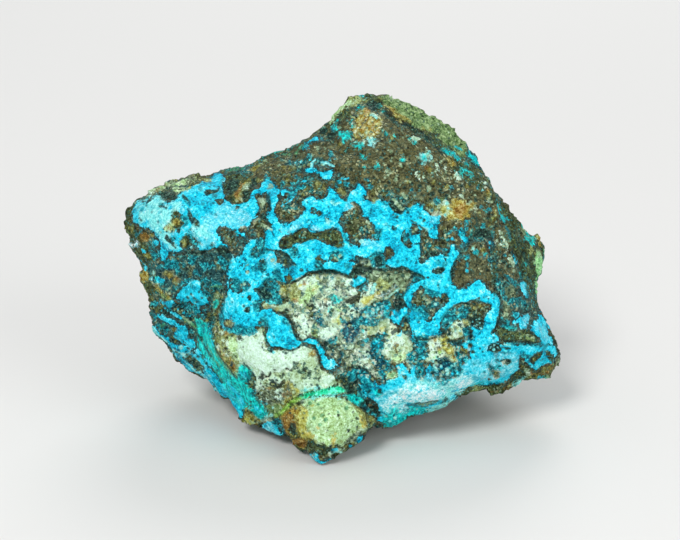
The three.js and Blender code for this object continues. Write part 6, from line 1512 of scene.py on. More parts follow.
P gilt - 288,280 302,280 304,300 290,302
P tan + 289,283 299,281 305,287 303,296 296,300 290,295
P busy + 298,277 320,272 345,274 357,285 355,297 340,299 322,300 306,302 292,298 284,290
P ash + 308,291 318,289 326,293 334,298 326,303 314,302 306,298
D ash + 338,284,1.7 330,280,1.5 345,289,1.7 350,280,1.3 324,279,1.4 353,291,1.4
D navy + 344,294,1.1 349,297,1.3 340,281,0.9 333,277,0.8 327,285,0.9 336,289,1 352,284,1 346,278,0.8 320,284,0.8
D crust + 204.5,240,1.8
D deep + 204.5,240,1
D film + 335,255,2.2 340,258,1.8 331,258,1.6
D earth + 336,252,1.4 332,255,1 340,254,1.2 318,258,2 320,261,1.5
# the window in the middle, over a closer look
D crust - 398,331,3.5
P plate - 330,273 345,274 356,286 356,296 344,299 334,294 328,284
P speckle + 326,273 338,273 348,276 354,284 358,291 356,297 346,299 334,298 326,292 322,282
P plate + 341,275 347,275 351,279 353,284 348,286 344,282 340,279
P plate + 351,287 356,289 358,293 354,296 350,293
P plate + 328,277 333,276 336,280 334,286 330,290 327,284
P ash + 336,279 342,281 346,286 344,292 338,291 334,285
P ash + 352,266 360,264 368,267 378,268 380,273 372,277 364,276 356,272
D plate + 367,270,1.2 372,272,1.1 376,269,1 363,267,0.9 358,268,0.9
P dark + 318,270 326,270 336,270.5 346,273 350,276 342,275 332,273.5 324,275 319,277
P tan + 279,286 284,284 290,285 292,290 288,296 282,295
D umber + 284,288,1.2 287,293,1.1
P tan + 376,281 384,279 391,282 390,289 384,295 377,297 374,290
P plate + 366,286 371,283 373,289 370,296 365,299 363,293
P amber + 363,297 369,295 375,294 373,300 366,303 361,302
S white + 372,300,0.6 378,297,0.7 384,294,0.7 390,291,0.7 396,287,0.6
P deep + 361,312 368,306 376,302 386,299 391,301 388,307 380,312 372,318 364,322 359,319
S white + 364,318,0.7 370,314,0.8 377,309,0.8 384,304,0.7
S mint + 362,314,0.7 368,309,0.8 375,305,0.7
S white + 370,320,0.6 376,316,0.7 382,311,0.6
S tan + 366,316,0.7 372,311.5,0.7 380,307,0.6
P navy + 392,296 397,293 402,297 404,303 400,308 394,308 391,302
P crust + 392,309 397,307 402,308 405,307 403,312 401,318 402,324 399,325 396,321 392,320 391,314
P navy + 341,327 347,322 355,320 359,325 361,333 357,340 350,343 344,339 340,333
P deep + 352,317 360,316 368,318 372,322 368,326 360,325 353,321
D white + 343,331,0.8 349,338,0.8 354,329,0.7 358,337,0.9 346,325,0.6
P navy + 314,314 319,312 322,317 324,323 321,327 317,325 315,320
D pit + 319,324,1.2 309,305,1.8 312,309,1.4 305,302,1 316,300,1 326,306,1.1 331,312,1 352,303,1.2 346,301,0.9 333,302,0.9
P lime - 342,306 360,306 362,322 342,322
P plate + 346,311 351,309 356,311 358,316 354,320 348,319 345,315
D amber + 340,318,1.6 343,322,1.1 351,314,1
P amber + 378,322 383,321 385,325 382,329 378,328
P amber + 367,329 371,328 373,331 370,334 366,333
P pit + 373,326 377,326 378,330 374,331
P film + 374,338 379,337 383,341 382,348 377,351 373,346
D crust + 377,342,1.8 379,346,1.4 374,349,1
P deep + 372,352 380,354 386,360 384,367 377,368 371,362 368,356
D white + 374,356,0.8 379,359,0.9 371,360,0.7 383,363,0.7 376,364,0.8
P ash + 333,346 342,345 352,346 356,352 352,360 345,366 337,364 332,355
D navy + 336,350,1.2 342,354,1.3 347,349,1.1 339,360,1.3 350,357,1.3 345,362,1 354,350,1
D plate + 340,349,0.9 345,357,1 351,352,1 349,363,0.9 336,356,0.9
P plate + 356,356 362,354 367,358 369,364 364,368 359,364
D navy + 361,358,0.9 364,363,0.8
P lime + 385,373 390,371 396,373 398,377 391,379 386,378
D tan + 389,375,0.9 394,375,0.8
P busy + 280,284 300,276 330,273 356,286 372,280 390,290 392,310 376,320 368,340 372,362 350,370 332,360 330,340 314,340 292,330 288,312 284,298
S pit + 345,369,0.7 350,367,0.9 357,368,0.9 363,372,0.9 369,377,0.9 374,382,0.8
S pit + 397,286,0.7 394,290,0.8 390,294,0.7
# last touches in the middle
P ash - 304,286 340,286 342,306 304,306
P plate + 297,280 306,276.5 315,277 319,283 314,290 306,294 299,291
P speckle + 306,290 320,288 334,292 344,300 340,310 326,314 310,312 302,302
P plate + 322,302 330,300 338,303 336,309 328,311 322,308
P plate + 334,312 341,311 344,316 340,321 334,319
D plate + 316,305,1.6 308,299,1.5 347,303,1.6 353,307,1.4 328,318,1.8 312,318,1.2
D tan + 312,284,1.6 318,289,1.4 306,286,1.2 300,296,1.6 295,289,1.5 322,296,1.3
P lime - 426,336 458,336 460,366 424,366
P lime - 447,318 470,318 472,340 446,340
P plate + 428,342 434,339 440,340 441,346 436,351 430,352 427,348
P tan + 438,338 445,336 450,341 453,348 456,356 452,362 447,355 442,348
P plate + 428,354 436,352 444,354 450,360 444,364 436,362 429,361
P plate + 449,323 456,321 462,320 466,323 460,327 452,327
P plate + 452,330 459,329 463,333 457,337 451,336
P tan + 462,319 468,319 469,323 464,326
D amber + 442,342,1.4 447,347,1.2 455,329,1.3 433,346,1 464,322,1
D umber + 449,343,1.1 453,351,1.2 455,358,1.3 446,338,1 458,334,0.9
D gilt + 439,349,1.5 446,356,1.4
D leaf + 440,353,1.1 434,357,1 448,350,0.9
D film + 432,360,1.2 438,358,1 445,361,1.1 450,366,1.2
D pit + 436,344,0.7 443,345,0.7 431,350,0.7 448,360,0.8 454,333,0.7 459,325,0.7
P busy + 426,338 452,336 470,318 470,336 458,344 460,364 446,366 426,366
P crust + 425,366 430,364 433,370 431,377 435,384 429,386 424,380 426,373
P crust + 462,366 468,360 474,362 470,372 462,378 456,382 454,378 459,372
S tan + 473,389,1 482,388,1.2 492,388,1.4 500,389,1.4
S umber + 487,391,1 495,392,1.2 503,389,1.1 510,384,1
S crust + 452,391,1.2 460,389,1.2 468,387.5,1
D cream + 496,389,1 488,388,0.9 505,386,0.9
# top and lower left, closer
P deep_f - 333,100 384,98 400,112 440,140 468,146 484,166 470,172 440,172 400,176 345,178 334,150
P crust_f - 333,100 384,98 400,112 440,140 468,146 484,166 470,172 440,172 400,176 345,178 334,150
P deep - 333,100 384,98 400,112 440,140 468,146 484,166 470,172 440,172 400,176 345,178 334,150
P crust - 440,140 468,146 484,166 470,170 452,164
P teal_f - 333,100 384,98 400,112 440,140 444,150 440,172 400,176 345,178 334,150
P pale_f - 410,128 436,146 440,168 414,168
P pale - 410,128 436,146 440,168 414,168
D film + 335,128,2 344.5,136,2.5 349,136,1.8 352,122.5,1.5 355,146,2.2 359,147,1.8 360.5,156,1.8 364,157,1.2 365,167,1.4 377,167,1.3 384,131,1.4 391,140,1 377.5,105,1.6 382,111,1 359,108,1.4 338,121,1 346,152,1
D film + 425,158,2.2 428,154,1.6 422,161,1.2 415,142,1.3 409,139,1 403,160,1 462,171,1.6 464,174,1.3
S film + 444,151,1.1 450,153.5,1.3 455,156.5,1.6 459,159.5,1.1
S film + 469,154,1 473,158,1.5 478,162,1
P earth + 366,96 374,95 381,98 385,106 380,110 374,108 370,104 366,101
P earth + 424,127 436,128 444,136 450,147 443,150 434,144 427,137
D dark + 370,99,1 376,101,1 430,132,1.3 437,139,1.4 443,145,1.1
D plate + 372,114,1.3 376,116,1.1 366,131,1.3 363,128,0.8 371,125,0.7 359,132,0.8 369,141,1.6 372,143,1.2 416,137,1.8 426,152,1.2 430,157,1
D cream + 361,113,0.9 367,118,0.8 375,130,0.9 379,124,0.8 356,127,0.8 364,136,0.9
D umber + 361,130,1.7 365,120,1.5 373,128,1.4 377,121,1.1 357,122,1.2 369,111,1.2
D tan + 358,136,1.5 366,126,1.3 376,135,1.4 371,119,1.2 380,115,1.2
D dark + 360,124,0.7 368,134,0.7 372,122,0.7 364,116,0.7 376,126,0.6
P busy + 350,108 384,106 386,142 352,142
P ash + 222,320 229,319.5 234,323 232,328 225,327
P crust + 171,346 181,345 188,350 185,356 178,358 173,353
S crust + 178,357,1.8 187,364,2.2 196,370.5,2.4 205,377,2.2
S crust + 186,350,1.4 194,355,1.6 201,361,1.8 206,368,1.6
S pale + 184,361,1 192,367,1.1 200,373,1 208,380,1
S pale + 173,350,0.8 178,352,1 183,354,0.8
D dark + 180,354,1.1 189,357,1.4 195,362,1.5 200,367,1.4 186,360,1 176,349,0.9 198,357,1.2 191,352,1 204,372,1
D slate + 192,360,2 198,365,2 188,356,1.6
S gilt + 203,340,0.6 207,347,0.7 211,355,0.7 216,363,0.7 222,371,0.6
S leaf + 206,338,0.6 210,346,0.6 214,354,0.6
D umber + 250,418,1.6 256,422,1.4 248,412,1.2
D cream + 255,419,0.9 260,423,0.9 252,414,0.8
# last touches at the top and on the lower left streak
P crust - 336,124 352,118 386,98 400,112 440,140 436,172 400,176 352,178 338,160
P teal - 336,124 352,118 386,98 400,112 440,140 436,172 400,176 352,178 338,160
P dark - 412,118 446,132 452,150 440,152 424,142 410,130
P slate - 412,118 446,132 452,150 440,152 424,142 410,130
D mint + 371,142,2.6 374,140,1.4
D white + 371,142.5,1.2
D mint + 424,156,1.5 428,153,1.2 421,159,1.2
D cream + 426,151,0.9 430,155,0.9 419,156,0.8
D film + 343,136,2.2 347,137,1.8 358,146.5,1.6 356,145,1.6 360.5,156,1.5
S dark + 412,126,0.8 424,133,1 434,141,1.1 442,149,0.9
S pit + 416,127,0.5 428,135,0.6 438,144,0.6
D umber + 359,113,1.5 378,131,1.6 360,139,1.3 352,131,1.2
D plate + 358,118,0.8 377,125,0.8 363,133,0.8 370,138,0.9 366,113,0.8
P film + 226,372 236,380 245,392 249,404 244,410 238,402 230,392 222,382
S crust + 232,388,1.2 238,396,1.4 243,405,1.4
S crust + 226,380,0.8 231,386,1
"""


# --- the fine surface ------------------------------------------------------------------------------------------------


def cad_surface():
    """The CAD solid's vertices in mm, merged, and its triangles."""
    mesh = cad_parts[NODE].data
    co = np.zeros(len(mesh.vertices) * 3)
    mesh.vertices.foreach_get("co", co)
    co = co.reshape(-1, 3) / MM
    mesh.calc_loop_triangles()
    tri = np.zeros(len(mesh.loop_triangles) * 3, np.int64)
    mesh.loop_triangles.foreach_get("vertices", tri)
    tri = tri.reshape(-1, 3)
    keys, first, back = np.unique(np.round(co, 3), axis=0, return_index=True, return_inverse=True)
    tri = back.reshape(-1)[tri]
    good = (tri[:, 0] != tri[:, 1]) & (tri[:, 1] != tri[:, 2]) & (tri[:, 2] != tri[:, 0])
    return co[first], tri[good]


def vertex_normals(v, f):
    n = np.cross(v[f[:, 1]] - v[f[:, 0]], v[f[:, 2]] - v[f[:, 0]])
    out = np.stack([sum(np.bincount(f[:, c], n[:, a], len(v)) for c in range(3)) for a in range(3)], 1)
    return out / np.maximum(np.linalg.norm(out, axis=1), 1e-12)[:, None]


def edge_list(f):
    e = np.sort(np.concatenate([f[:, [0, 1]], f[:, [1, 2]], f[:, [2, 0]]]), 1)
    keys = e[:, 0] * (f.max() + 1) + e[:, 1]
    unique, first, back = np.unique(keys, return_index=True, return_inverse=True)
    return e[first], back.reshape(-1).reshape(3, -1).T


def smoothing(v, f, steps, pull=0.5, push=-0.52, weight=None):
    """Evens the surface without shrinking it."""
    e, _ = edge_list(f)
    count = np.bincount(e.ravel(), minlength=len(v)).astype(float)
    for _ in range(steps):
        for amount in (pull, push):
            mean = np.stack(
                [
                    np.bincount(e[:, 0], v[e[:, 1], a], len(v)) + np.bincount(e[:, 1], v[e[:, 0], a], len(v))
                    for a in range(3)
                ],
                1,
            ) / count[:, None]
            step = (mean - v) * amount
            v = v + (step if weight is None else step * weight[:, None])
    return v


def facing(v, n):
    to_eye = EYE - v
    return (n * to_eye).sum(1) / np.linalg.norm(to_eye, axis=1)


def split_long(v, f, wanted):
    """One pass: every edge longer than its wanted length gets a midpoint."""
    e, of_tri = edge_list(f)
    length = np.linalg.norm(v[e[:, 0]] - v[e[:, 1]], axis=1)
    cut = length > np.minimum(wanted[e[:, 0]], wanted[e[:, 1]]) * 1.36
    if not cut.any():
        return v, f, False
    number = np.full(len(e), -1)
    number[cut] = len(v) + np.arange(cut.sum())
    v = np.concatenate([v, (v[e[cut, 0]] + v[e[cut, 1]]) / 2])
    m = number[of_tri]
    has = m >= 0
    count = has.sum(1)
    out = [f[count == 0]]
    for side in range(3):
        a, b, c = side, (side + 1) % 3, (side + 2) % 3
        # one cut, on the edge a-b
        t = (count == 1) & has[:, side]
        k = m[t, side]
        out += [np.stack([f[t, a], k, f[t, c]], 1), np.stack([k, f[t, b], f[t, c]], 1)]
        # two cuts, on a-b and b-c; c-a is whole
        t = (count == 2) & ~has[:, c]
        p, q = m[t, a], m[t, b]
        va, vb, vc = f[t, a], f[t, b], f[t, c]
        out.append(np.stack([p, vb, q], 1))
        short = np.linalg.norm(v[va] - v[q], axis=1) < np.linalg.norm(v[p] - v[vc], axis=1)
        out += [np.stack([va, p, q], 1)[short], np.stack([va, q, vc], 1)[short]]
        out += [np.stack([va, p, vc], 1)[~short], np.stack([p, q, vc], 1)[~short]]
    t = count == 3
    p, q, r = m[t, 0], m[t, 1], m[t, 2]
    a, b, c = f[t, 0], f[t, 1], f[t, 2]
    out += [np.stack(x, 1) for x in ((a, p, r), (p, b, q), (r, q, c), (p, q, r))]
    return v, np.concatenate(out), True


# --- layers over the whole surface -----------------------------------------------------------------------------------
# Depths are in display pixels, positive inside. Broad shapes and fine flecks are kept apart, so that flecks lie on top.

BROAD = ["murk", "olive", "khaki", "ochre", "rust", "gold", "green", "teal", "cream", "speckle", "crust", "pale",
         "slate", "earth", "moss", "tan", "ash", "plate", "lime", "gilt", "umber", "leaf", "spring", "jade", "mint",
         "film", "white", "amber", "deep", "navy", "dark", "pit",
         "busy"]
BARE = ["slate", "earth", "moss", "tan", "ash", "plate", "lime", "gilt", "umber", "jade", "navy"]  # no crust under them
FLECK = ["ochre_f", "rust_f", "gold_f", "green_f", "teal_f", "cream_f", "crust_f", "deep_f", "pale_f", "vein_f",
         "dark_f"]


RAGGED = {"crust": 1.0, "cream": 0.9, "deep": 1.2, "dark": 0.7, "olive": 2.0, "ochre": 1.6, "gold": 1.6, "pale": 1.5,
          "plate": 2.1, "navy": 2.0, "white": 1.8, "ash": 1.9, "tan": 1.9, "gilt": 2.0, "umber": 1.6, "lime": 1.1, "slate": 1.6, "earth": 1.1,
          "mint": 1.9, "film": 1.2, "amber": 1.4, "pit": 0.9, "leaf": 0.9, "spring": 0.8, "jade": 0.7}


def sorted_shapes(drawing):
    """The drawing with its strokes and dots moved to the fleck layers. What they cut is cut from the broad layer too."""
    out = []
    for kind, layer, sign, points in parse(drawing):
        if layer == "all":  # clears the ground for new shapes
            for name in BROAD[BROAD.index("slate"):-1] + FLECK:
                out.append((kind, name, "-", points))
            continue
        if kind == "S" and layer == "dark":
            points = [(x, y, max(0.75 * r, 0.6)) for x, y, r in points]
        if kind == "P" and sign == "+" and layer in BARE:
            out.append(("P", "crust", "-", points))
            out.append(("P", "pale", "-", points))
        if kind == "P" or sign == "-":
            out.append((kind, layer, sign, points))
        if kind != "P" and layer + "_f" in FLECK:
            out.append((kind, layer + "_f", sign, points))
        elif kind != "P" and sign == "+":
            out.append((kind, layer, sign, points))
    return out


def as_depth(field, level, gain=9.0, top=9.0):
    """A noise field as a depth, zero where it crosses level."""
    return np.clip((field - level) * gain, -FAR, top)


SEEN_LOW, SEEN_HIGH = 0.0, 0.16


def grown_layers(p, n):
    """The same kinds of layers where nothing was drawn: the flanks, the back and the underside."""
    far = np.full(len(p), -FAR)
    out = {name: far for name in BROAD + FLECK}
    see = facing(p, n)
    rim = smooth01(see, -0.42, -0.05) * (1 - smooth01(see, 0.42, 0.60))
    under = smooth01(-n[:, 2], 0.35, 0.9)
    sheet = layered_noise(p * [1, 1, 1.2], 17.0, 5, 3) + 0.24 * value_noise(p, 2.7, 5) + 0.14 * value_noise(p, 1.2, 6)
    crust = as_depth(sheet, 0.20 + 0.34 * under + 0.50 * rim, 16)
    hole = layered_noise(p, 3.8, 3, 9)
    crust = np.minimum(crust, -as_depth(hole, 0.46, 16))
    speck = as_depth(layered_noise(p, 2.3, 2, 10), 0.86 + 0.5 * rim, 14)
    out["crust"] = np.maximum(crust, speck)
    patch = layered_noise(p + 40, 15.0, 4, 11) + 0.24 * value_noise(p, 2.4, 12)
    cream = as_depth(patch, 0.62 + 0.1 * under + 0.3 * rim, 14)
    out["cream"] = np.minimum(cream, -crust - 1.5)
    out["speckle"] = np.minimum(as_depth(patch + 0.25 * value_noise(p, 4.0, 34), 0.50 + 0.2 * rim, 12), -crust)
    out["olive"] = as_depth(layered_noise(p, 10.0, 4, 21), -0.05 - 0.2 * rim, 8)
    out["murk"] = as_depth(layered_noise(p, 11.0, 4, 45), 0.18, 10)
    out["earth"] = np.minimum(as_depth(layered_noise(p, 9.0, 4, 47), 0.40 - 0.2 * rim, 10), -crust - 0.5)
    out["slate"] = np.minimum(as_depth(layered_noise(p, 10.0, 4, 49), 0.46, 10), -crust - 0.5)
    out["moss"] = np.minimum(as_depth(layered_noise(p, 8.0, 4, 29), 0.74, 12), -crust - 1.0)
    out["ash"] = as_depth(layered_noise(p, 4.6, 3, 23), 0.74, 12)
    out["ochre"] = as_depth(layered_noise(p, 7.0, 4, 25), 0.62, 10)
    out["umber"] = as_depth(layered_noise(p, 5.0, 4, 27), 0.88, 10)
    out["teal"] = as_depth(layered_noise(p * [1.6, 1, 0.6], 6.5, 3, 31), 0.66, 12)
    out["pale"] = np.minimum(as_depth(layered_noise(p, 6.0, 3, 35), 0.34, 12), crust - 0.6)
    out["mint"] = np.minimum(as_depth(layered_noise(p, 5.0, 3, 36), 0.66, 12), crust - 1.5)
    out["deep"] = np.minimum(as_depth(layered_noise(p, 4.2, 3, 37), 0.42, 12), crust + 3.0)
    crack = 1 - np.abs(layered_noise(p, 10.0, 4, 39))
    out["dark"] = np.maximum(as_depth(crack, 0.972, 60), as_depth(layered_noise(p, 3.0, 2, 41), 0.80, 14))
    first, second, tag, _ = cells(p, 1.9, 43)
    dot = (0.24 * tag[:, 1] - first) * 1.9 / 0.17
    for name, low in (("cream_f", 0.0), ("ochre_f", 0.2), ("dark_f", 0.4), ("green_f", 0.72), ("deep_f", 0.86)):
        pick = (tag[:, 0] >= low) & (tag[:, 0] < low + (0.2 if low < 0.7 else 0.14))
        out[name] = np.where(pick, np.clip(dot, -FAR, FAR), -FAR)
    return {name: np.asarray(v, float) for name, v in out.items()}


def all_layers(p, n, shapes):
    x, y = picture_place(p)
    slant = 1 - smooth01(facing(p, n), 0.12, 0.50)  # breaks up what would be stretched along the flanks
    x = x + slant * (3.4 * value_noise(p, 2.4, 73) + 1.8 * value_noise(p, 1.0, 74))
    y = y + slant * (3.4 * value_noise(p, 2.4, 75) + 1.8 * value_noise(p, 1.0, 76))
    drawn = draw_layers(x, y, shapes, BROAD + FLECK)
    grown = grown_layers(p, n)
    seen = smooth01(facing(p, n) + 0.05 * value_noise(p, 2.0, 77), SEEN_LOW, SEEN_HIGH)
    ragged = 1.5 * value_noise(p, 1.25, 71) + 1.1 * value_noise(p, 0.62, 72)
    out = {}
    for name in drawn:
        wobble = ragged * RAGGED.get(name, 0.3 if name in FLECK else 1.0)
        out[name] = grown[name] * (1 - seen) + (drawn[name] + wobble) * seen
    return out, seen


def cover(depth, low=-0.5, high=0.9):
    return smooth01(depth, low, high)


def relief(p, n, L, seen):
    """Height over the smooth surface, in mm."""
    crust = np.maximum(L["crust"], L["crust_f"])
    on_crust = cover(crust)
    on_cream = cover(np.maximum(L["cream"], np.maximum(L["plate"], L["lime"])), -0.5, 1.5) * (1 - on_crust)
    on_teal = cover(L["teal"], -1, 2) * (1 - on_crust)
    matrix = 1 - np.clip(0.8 * on_crust + 0.6 * on_cream + 0.6 * on_teal, 0, 1)
    chip_big, gap_big = chipped(p, 4.6, 51)
    chip, gap = chipped(p, 2.0, 53)
    chip_small, _ = chipped(p, 0.95, 55)
    first_small, _, _, _ = cells(p, 0.62, 59)
    h = 0.60 * chip_big * (0.6 + 0.4 * matrix)
    h += (0.25 + 0.75 * matrix) * (0.42 * chip + 0.24 * chip_small)
    h += matrix * 0.12 * value_noise(p, 0.55, 61)
    h += on_crust * (0.06 * (0.5 - first_small) + 0.12 * layered_noise(p, 1.8, 3, 63))
    h += on_cream * 0.08 * layered_noise(p, 1.6, 3, 65)
    h += 0.24 * smooth01(crust, -0.8, 1.4) + 0.10 * smooth01(crust, 1.0, 6.0)
    h += 0.14 * smooth01(L["cream"], -0.8, 2.0) * (1 - on_crust)
    h += 0.10 * smooth01(L["white"], -1, 3)
    h -= 0.20 * smooth01(L["deep"], -0.8, 2.0)
    h -= 0.36 * smooth01(L["dark"], -0.5, 2.0)
    h -= 0.14 * smooth01(L["dark_f"], -0.4, 1.0)
    h -= 0.26 * smooth01(np.maximum(L["navy"], L["pit"]), -0.8, 2.0)
    h += 0.12 * smooth01(L["plate"], -0.8, 1.5) + 0.10 * smooth01(L["moss"], -1, 2)
    h += 0.10 * smooth01(np.maximum(L["cream_f"], L["pale_f"]), -0.6, 0.8)
    away = 1 - smooth01(facing(p, n), -0.60, -0.18)
    foot = smooth01(p[:, 2], 0.5, 4.0)
    for size, tall, seed in ((15.0, 2.0, 91), (7.0, 0.9, 93)):
        chip, gap = chipped(p + 0.6 * value_noise(p, 3.0, seed + 1)[:, None], size, seed)
        h += away * foot * tall * (chip * smooth01(gap, 0.0, 0.12) - 0.20)
    return h


SOFT = ["murk", "olive", "khaki", "ochre", "gold", "pale", "mint", "white", "busy"]
SMALL = ["pit", "navy", "dark", "plate"]


def fine_surface(shapes):
    v, f = cad_surface()
    v = smoothing(v, f, 1, 0.33, -0.30)
    for step in range(7):
        n = vertex_normals(v, f)
        see = facing(v, n)
        front = smooth01(see, 0.0, 0.2)
        wanted = REAR_EDGE + (FRONT_EDGE - REAR_EDGE) * front
        if step >= 2:
            x, y = picture_place(v)
            edge = np.full(len(v), 99.0)
            mark = np.full(len(v), 99.0)
            for name, depth in draw_layers(x, y, shapes, BROAD + FLECK).items():
                if name in FLECK or name in SMALL:
                    mark = np.minimum(mark, np.abs(depth))
                elif name not in SOFT:
                    edge = np.minimum(edge, np.abs(depth))
            close = front * (1 - smooth01(edge, 1.4, 2.6))
            wanted = wanted + (FRONT_NEAR - wanted) * close
            close = front * (1 - smooth01(mark, 1.0, 2.0))
            wanted = wanted + (FRONT_FINE - wanted) * close
        wanted = wanted / (0.55 + 0.45 * smooth01(see, -0.2, 0.8))
        v, f, more = split_long(v, f, wanted)
        if not more:
            break
        if step < 2:
            v = smoothing(v, f, 2, 0.45, -0.42)
    v = smoothing(v, f, 3, 0.5, -0.50)
    return v, f


shapes = sorted_shapes(DRAWING)
vertices, triangles = fine_surface(shapes)
normals = vertex_normals(vertices, triangles)
layers, seen = all_layers(vertices, normals, shapes)
height = relief(vertices, normals, layers, seen)
height -= 0.12
foot = smooth01(vertices[:, 2], 0.2, 1.5)
rear = 1 - smooth01(facing(vertices, normals), -0.60, -0.18)
height = np.clip(height, -1.1 - 1.2 * rear, 0.75 + 0.15 * rear)
vertices = vertices + normals * (height * (0.35 + 0.65 * foot))[:, None]
vertices[:, 2] = np.maximum(vertices[:, 2], 0.0)
flat_normals = vertex_normals(vertices, triangles)
layers, seen = all_layers(vertices, normals, shapes)

mesh = bpy.data.meshes.new("brochantite_stone")
mesh.vertices.add(len(vertices))
mesh.vertices.foreach_set("co", (vertices * MM).astype(np.float32).ravel())
mesh.loops.add(len(triangles) * 3)
mesh.loops.foreach_set("vertex_index", triangles.astype(np.int32).ravel())
mesh.polygons.add(len(triangles))
mesh.polygons.foreach_set("loop_start", np.arange(0, len(triangles) * 3, 3, dtype=np.int32))
mesh.polygons.foreach_set("use_smooth", np.ones(len(triangles), bool))
mesh.update(calc_edges=True)
mesh.validate()
for name in BROAD + FLECK:
    mesh.attributes.new(name, "FLOAT", "POINT").data.foreach_set("value", layers[name].astype(np.float32))
stone = bpy.data.objects.new("brochantite_stone", mesh)
bpy.context.scene.collection.objects.link(stone)
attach(stone, "root")
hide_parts(NODE)
print("triangles", len(triangles))


# --- the look --------------------------------------------------------------------------------------------------------


def linear(r, g, b):
    """A display colour, 0 to 255, as scene light."""
    out = []
    for c in (r, g, b):
        c = c / 255
        out.append(c / 12.92 if c <= 0.04045 else ((c + 0.055) / 1.055) ** 2.4)
    return (*out, 1.0)


class Look:
    """A short way to write a node tree."""

    def __init__(self, name):
        self.material = bpy.data.materials.new(name)
        self.material.use_nodes = True
        self.tree = self.material.node_tree
        self.tree.nodes.clear()
        self.place = self.node("ShaderNodeTexCoord").outputs["Object"]

    def node(self, kind, **values):
        made = self.tree.nodes.new(kind)
        for key, value in values.items():
            setattr(made, key, value)
        return made

    def link(self, source, socket):
        if isinstance(source, bpy.types.NodeSocket):
            self.tree.links.new(source, socket)
        else:
            socket.default_value = source

    def attribute(self, name):
        return self.node("ShaderNodeAttribute", attribute_name=name, attribute_type="GEOMETRY").outputs["Fac"]

    def noise(self, size, detail=3.0, rough=0.6, shift=0.0, distortion=0.0):
        """Noise with features of size mm, from 0 to 1 about 0.5."""
        made = self.node("ShaderNodeTexNoise", noise_dimensions="4D")
        self.link(self.place, made.inputs["Vector"])
        made.inputs["W"].default_value = shift
        made.inputs["Scale"].default_value = 1000.0 / size
        made.inputs["Detail"].default_value = detail
        made.inputs["Roughness"].default_value = rough
        made.inputs["Distortion"].default_value = distortion
        return made.outputs["Fac"]

    def voronoi(self, size, feature="F1", output="Distance", spread=1.0, stretch=None):
        made = self.node("ShaderNodeTexVoronoi", feature=feature)
        place = self.place
        if stretch:
            turn = self.node("ShaderNodeMapping")
            self.link(self.place, turn.inputs["Vector"])
            turn.inputs["Scale"].default_value = stretch
            place = turn.outputs["Vector"]
        self.link(place, made.inputs["Vector"])
        made.inputs["Scale"].default_value = 1000.0 / size
        made.inputs["Randomness"].default_value = spread
        return made.outputs[output]

    def mosaic(self, size, shift=0.0, bend=0.8):
        """A random number from 0 to 1 for each of many ragged grains."""
        made = self.node("ShaderNodeTexNoise", noise_dimensions="4D")
        self.link(self.place, made.inputs["Vector"])
        made.inputs["W"].default_value = 7.0 + shift
        made.inputs["Scale"].default_value = 1000.0 / size
        made.inputs["Detail"].default_value = 2.0
        push = self.node("ShaderNodeVectorMath", operation="MULTIPLY_ADD")
        self.link(made.outputs["Color"], push.inputs[0])
        push.inputs[1].default_value = [bend * size * 0.001] * 3
        self.link(self.place, push.inputs[2])
        grain = self.node("ShaderNodeTexVoronoi", voronoi_dimensions="4D")
        self.link(push.outputs[0], grain.inputs["Vector"])
        grain.inputs["W"].default_value = shift
        grain.inputs["Scale"].default_value = 1000.0 / size
        parts = self.node("ShaderNodeSeparateColor")
        self.link(grain.outputs["Color"], parts.inputs[0])
        return parts.outputs[0]

    def math(self, operation, a, b=0.0, clamp=False):
        made = self.node("ShaderNodeMath", operation=operation, use_clamp=clamp)
        self.link(a, made.inputs[0])
        self.link(b, made.inputs[1])
        return made.outputs[0]

    def span(self, value, low, high, to_low=0.0, to_high=1.0, smooth=True):
        made = self.node("ShaderNodeMapRange", interpolation_type="SMOOTHSTEP" if smooth else "LINEAR")
        made.clamp = True
        self.link(value, made.inputs["Value"])
        for key, number in (("From Min", low), ("From Max", high), ("To Min", to_low), ("To Max", to_high)):
            made.inputs[key].default_value = number
        return made.outputs["Result"]

    def mix(self, share, a, b, blend="MIX"):
        made = self.node("ShaderNodeMix", data_type="RGBA", blend_type=blend)
        self.link(share, made.inputs["Factor"])
        self.link(a, made.inputs["A"])
        self.link(b, made.inputs["B"])
        return made.outputs["Result"]


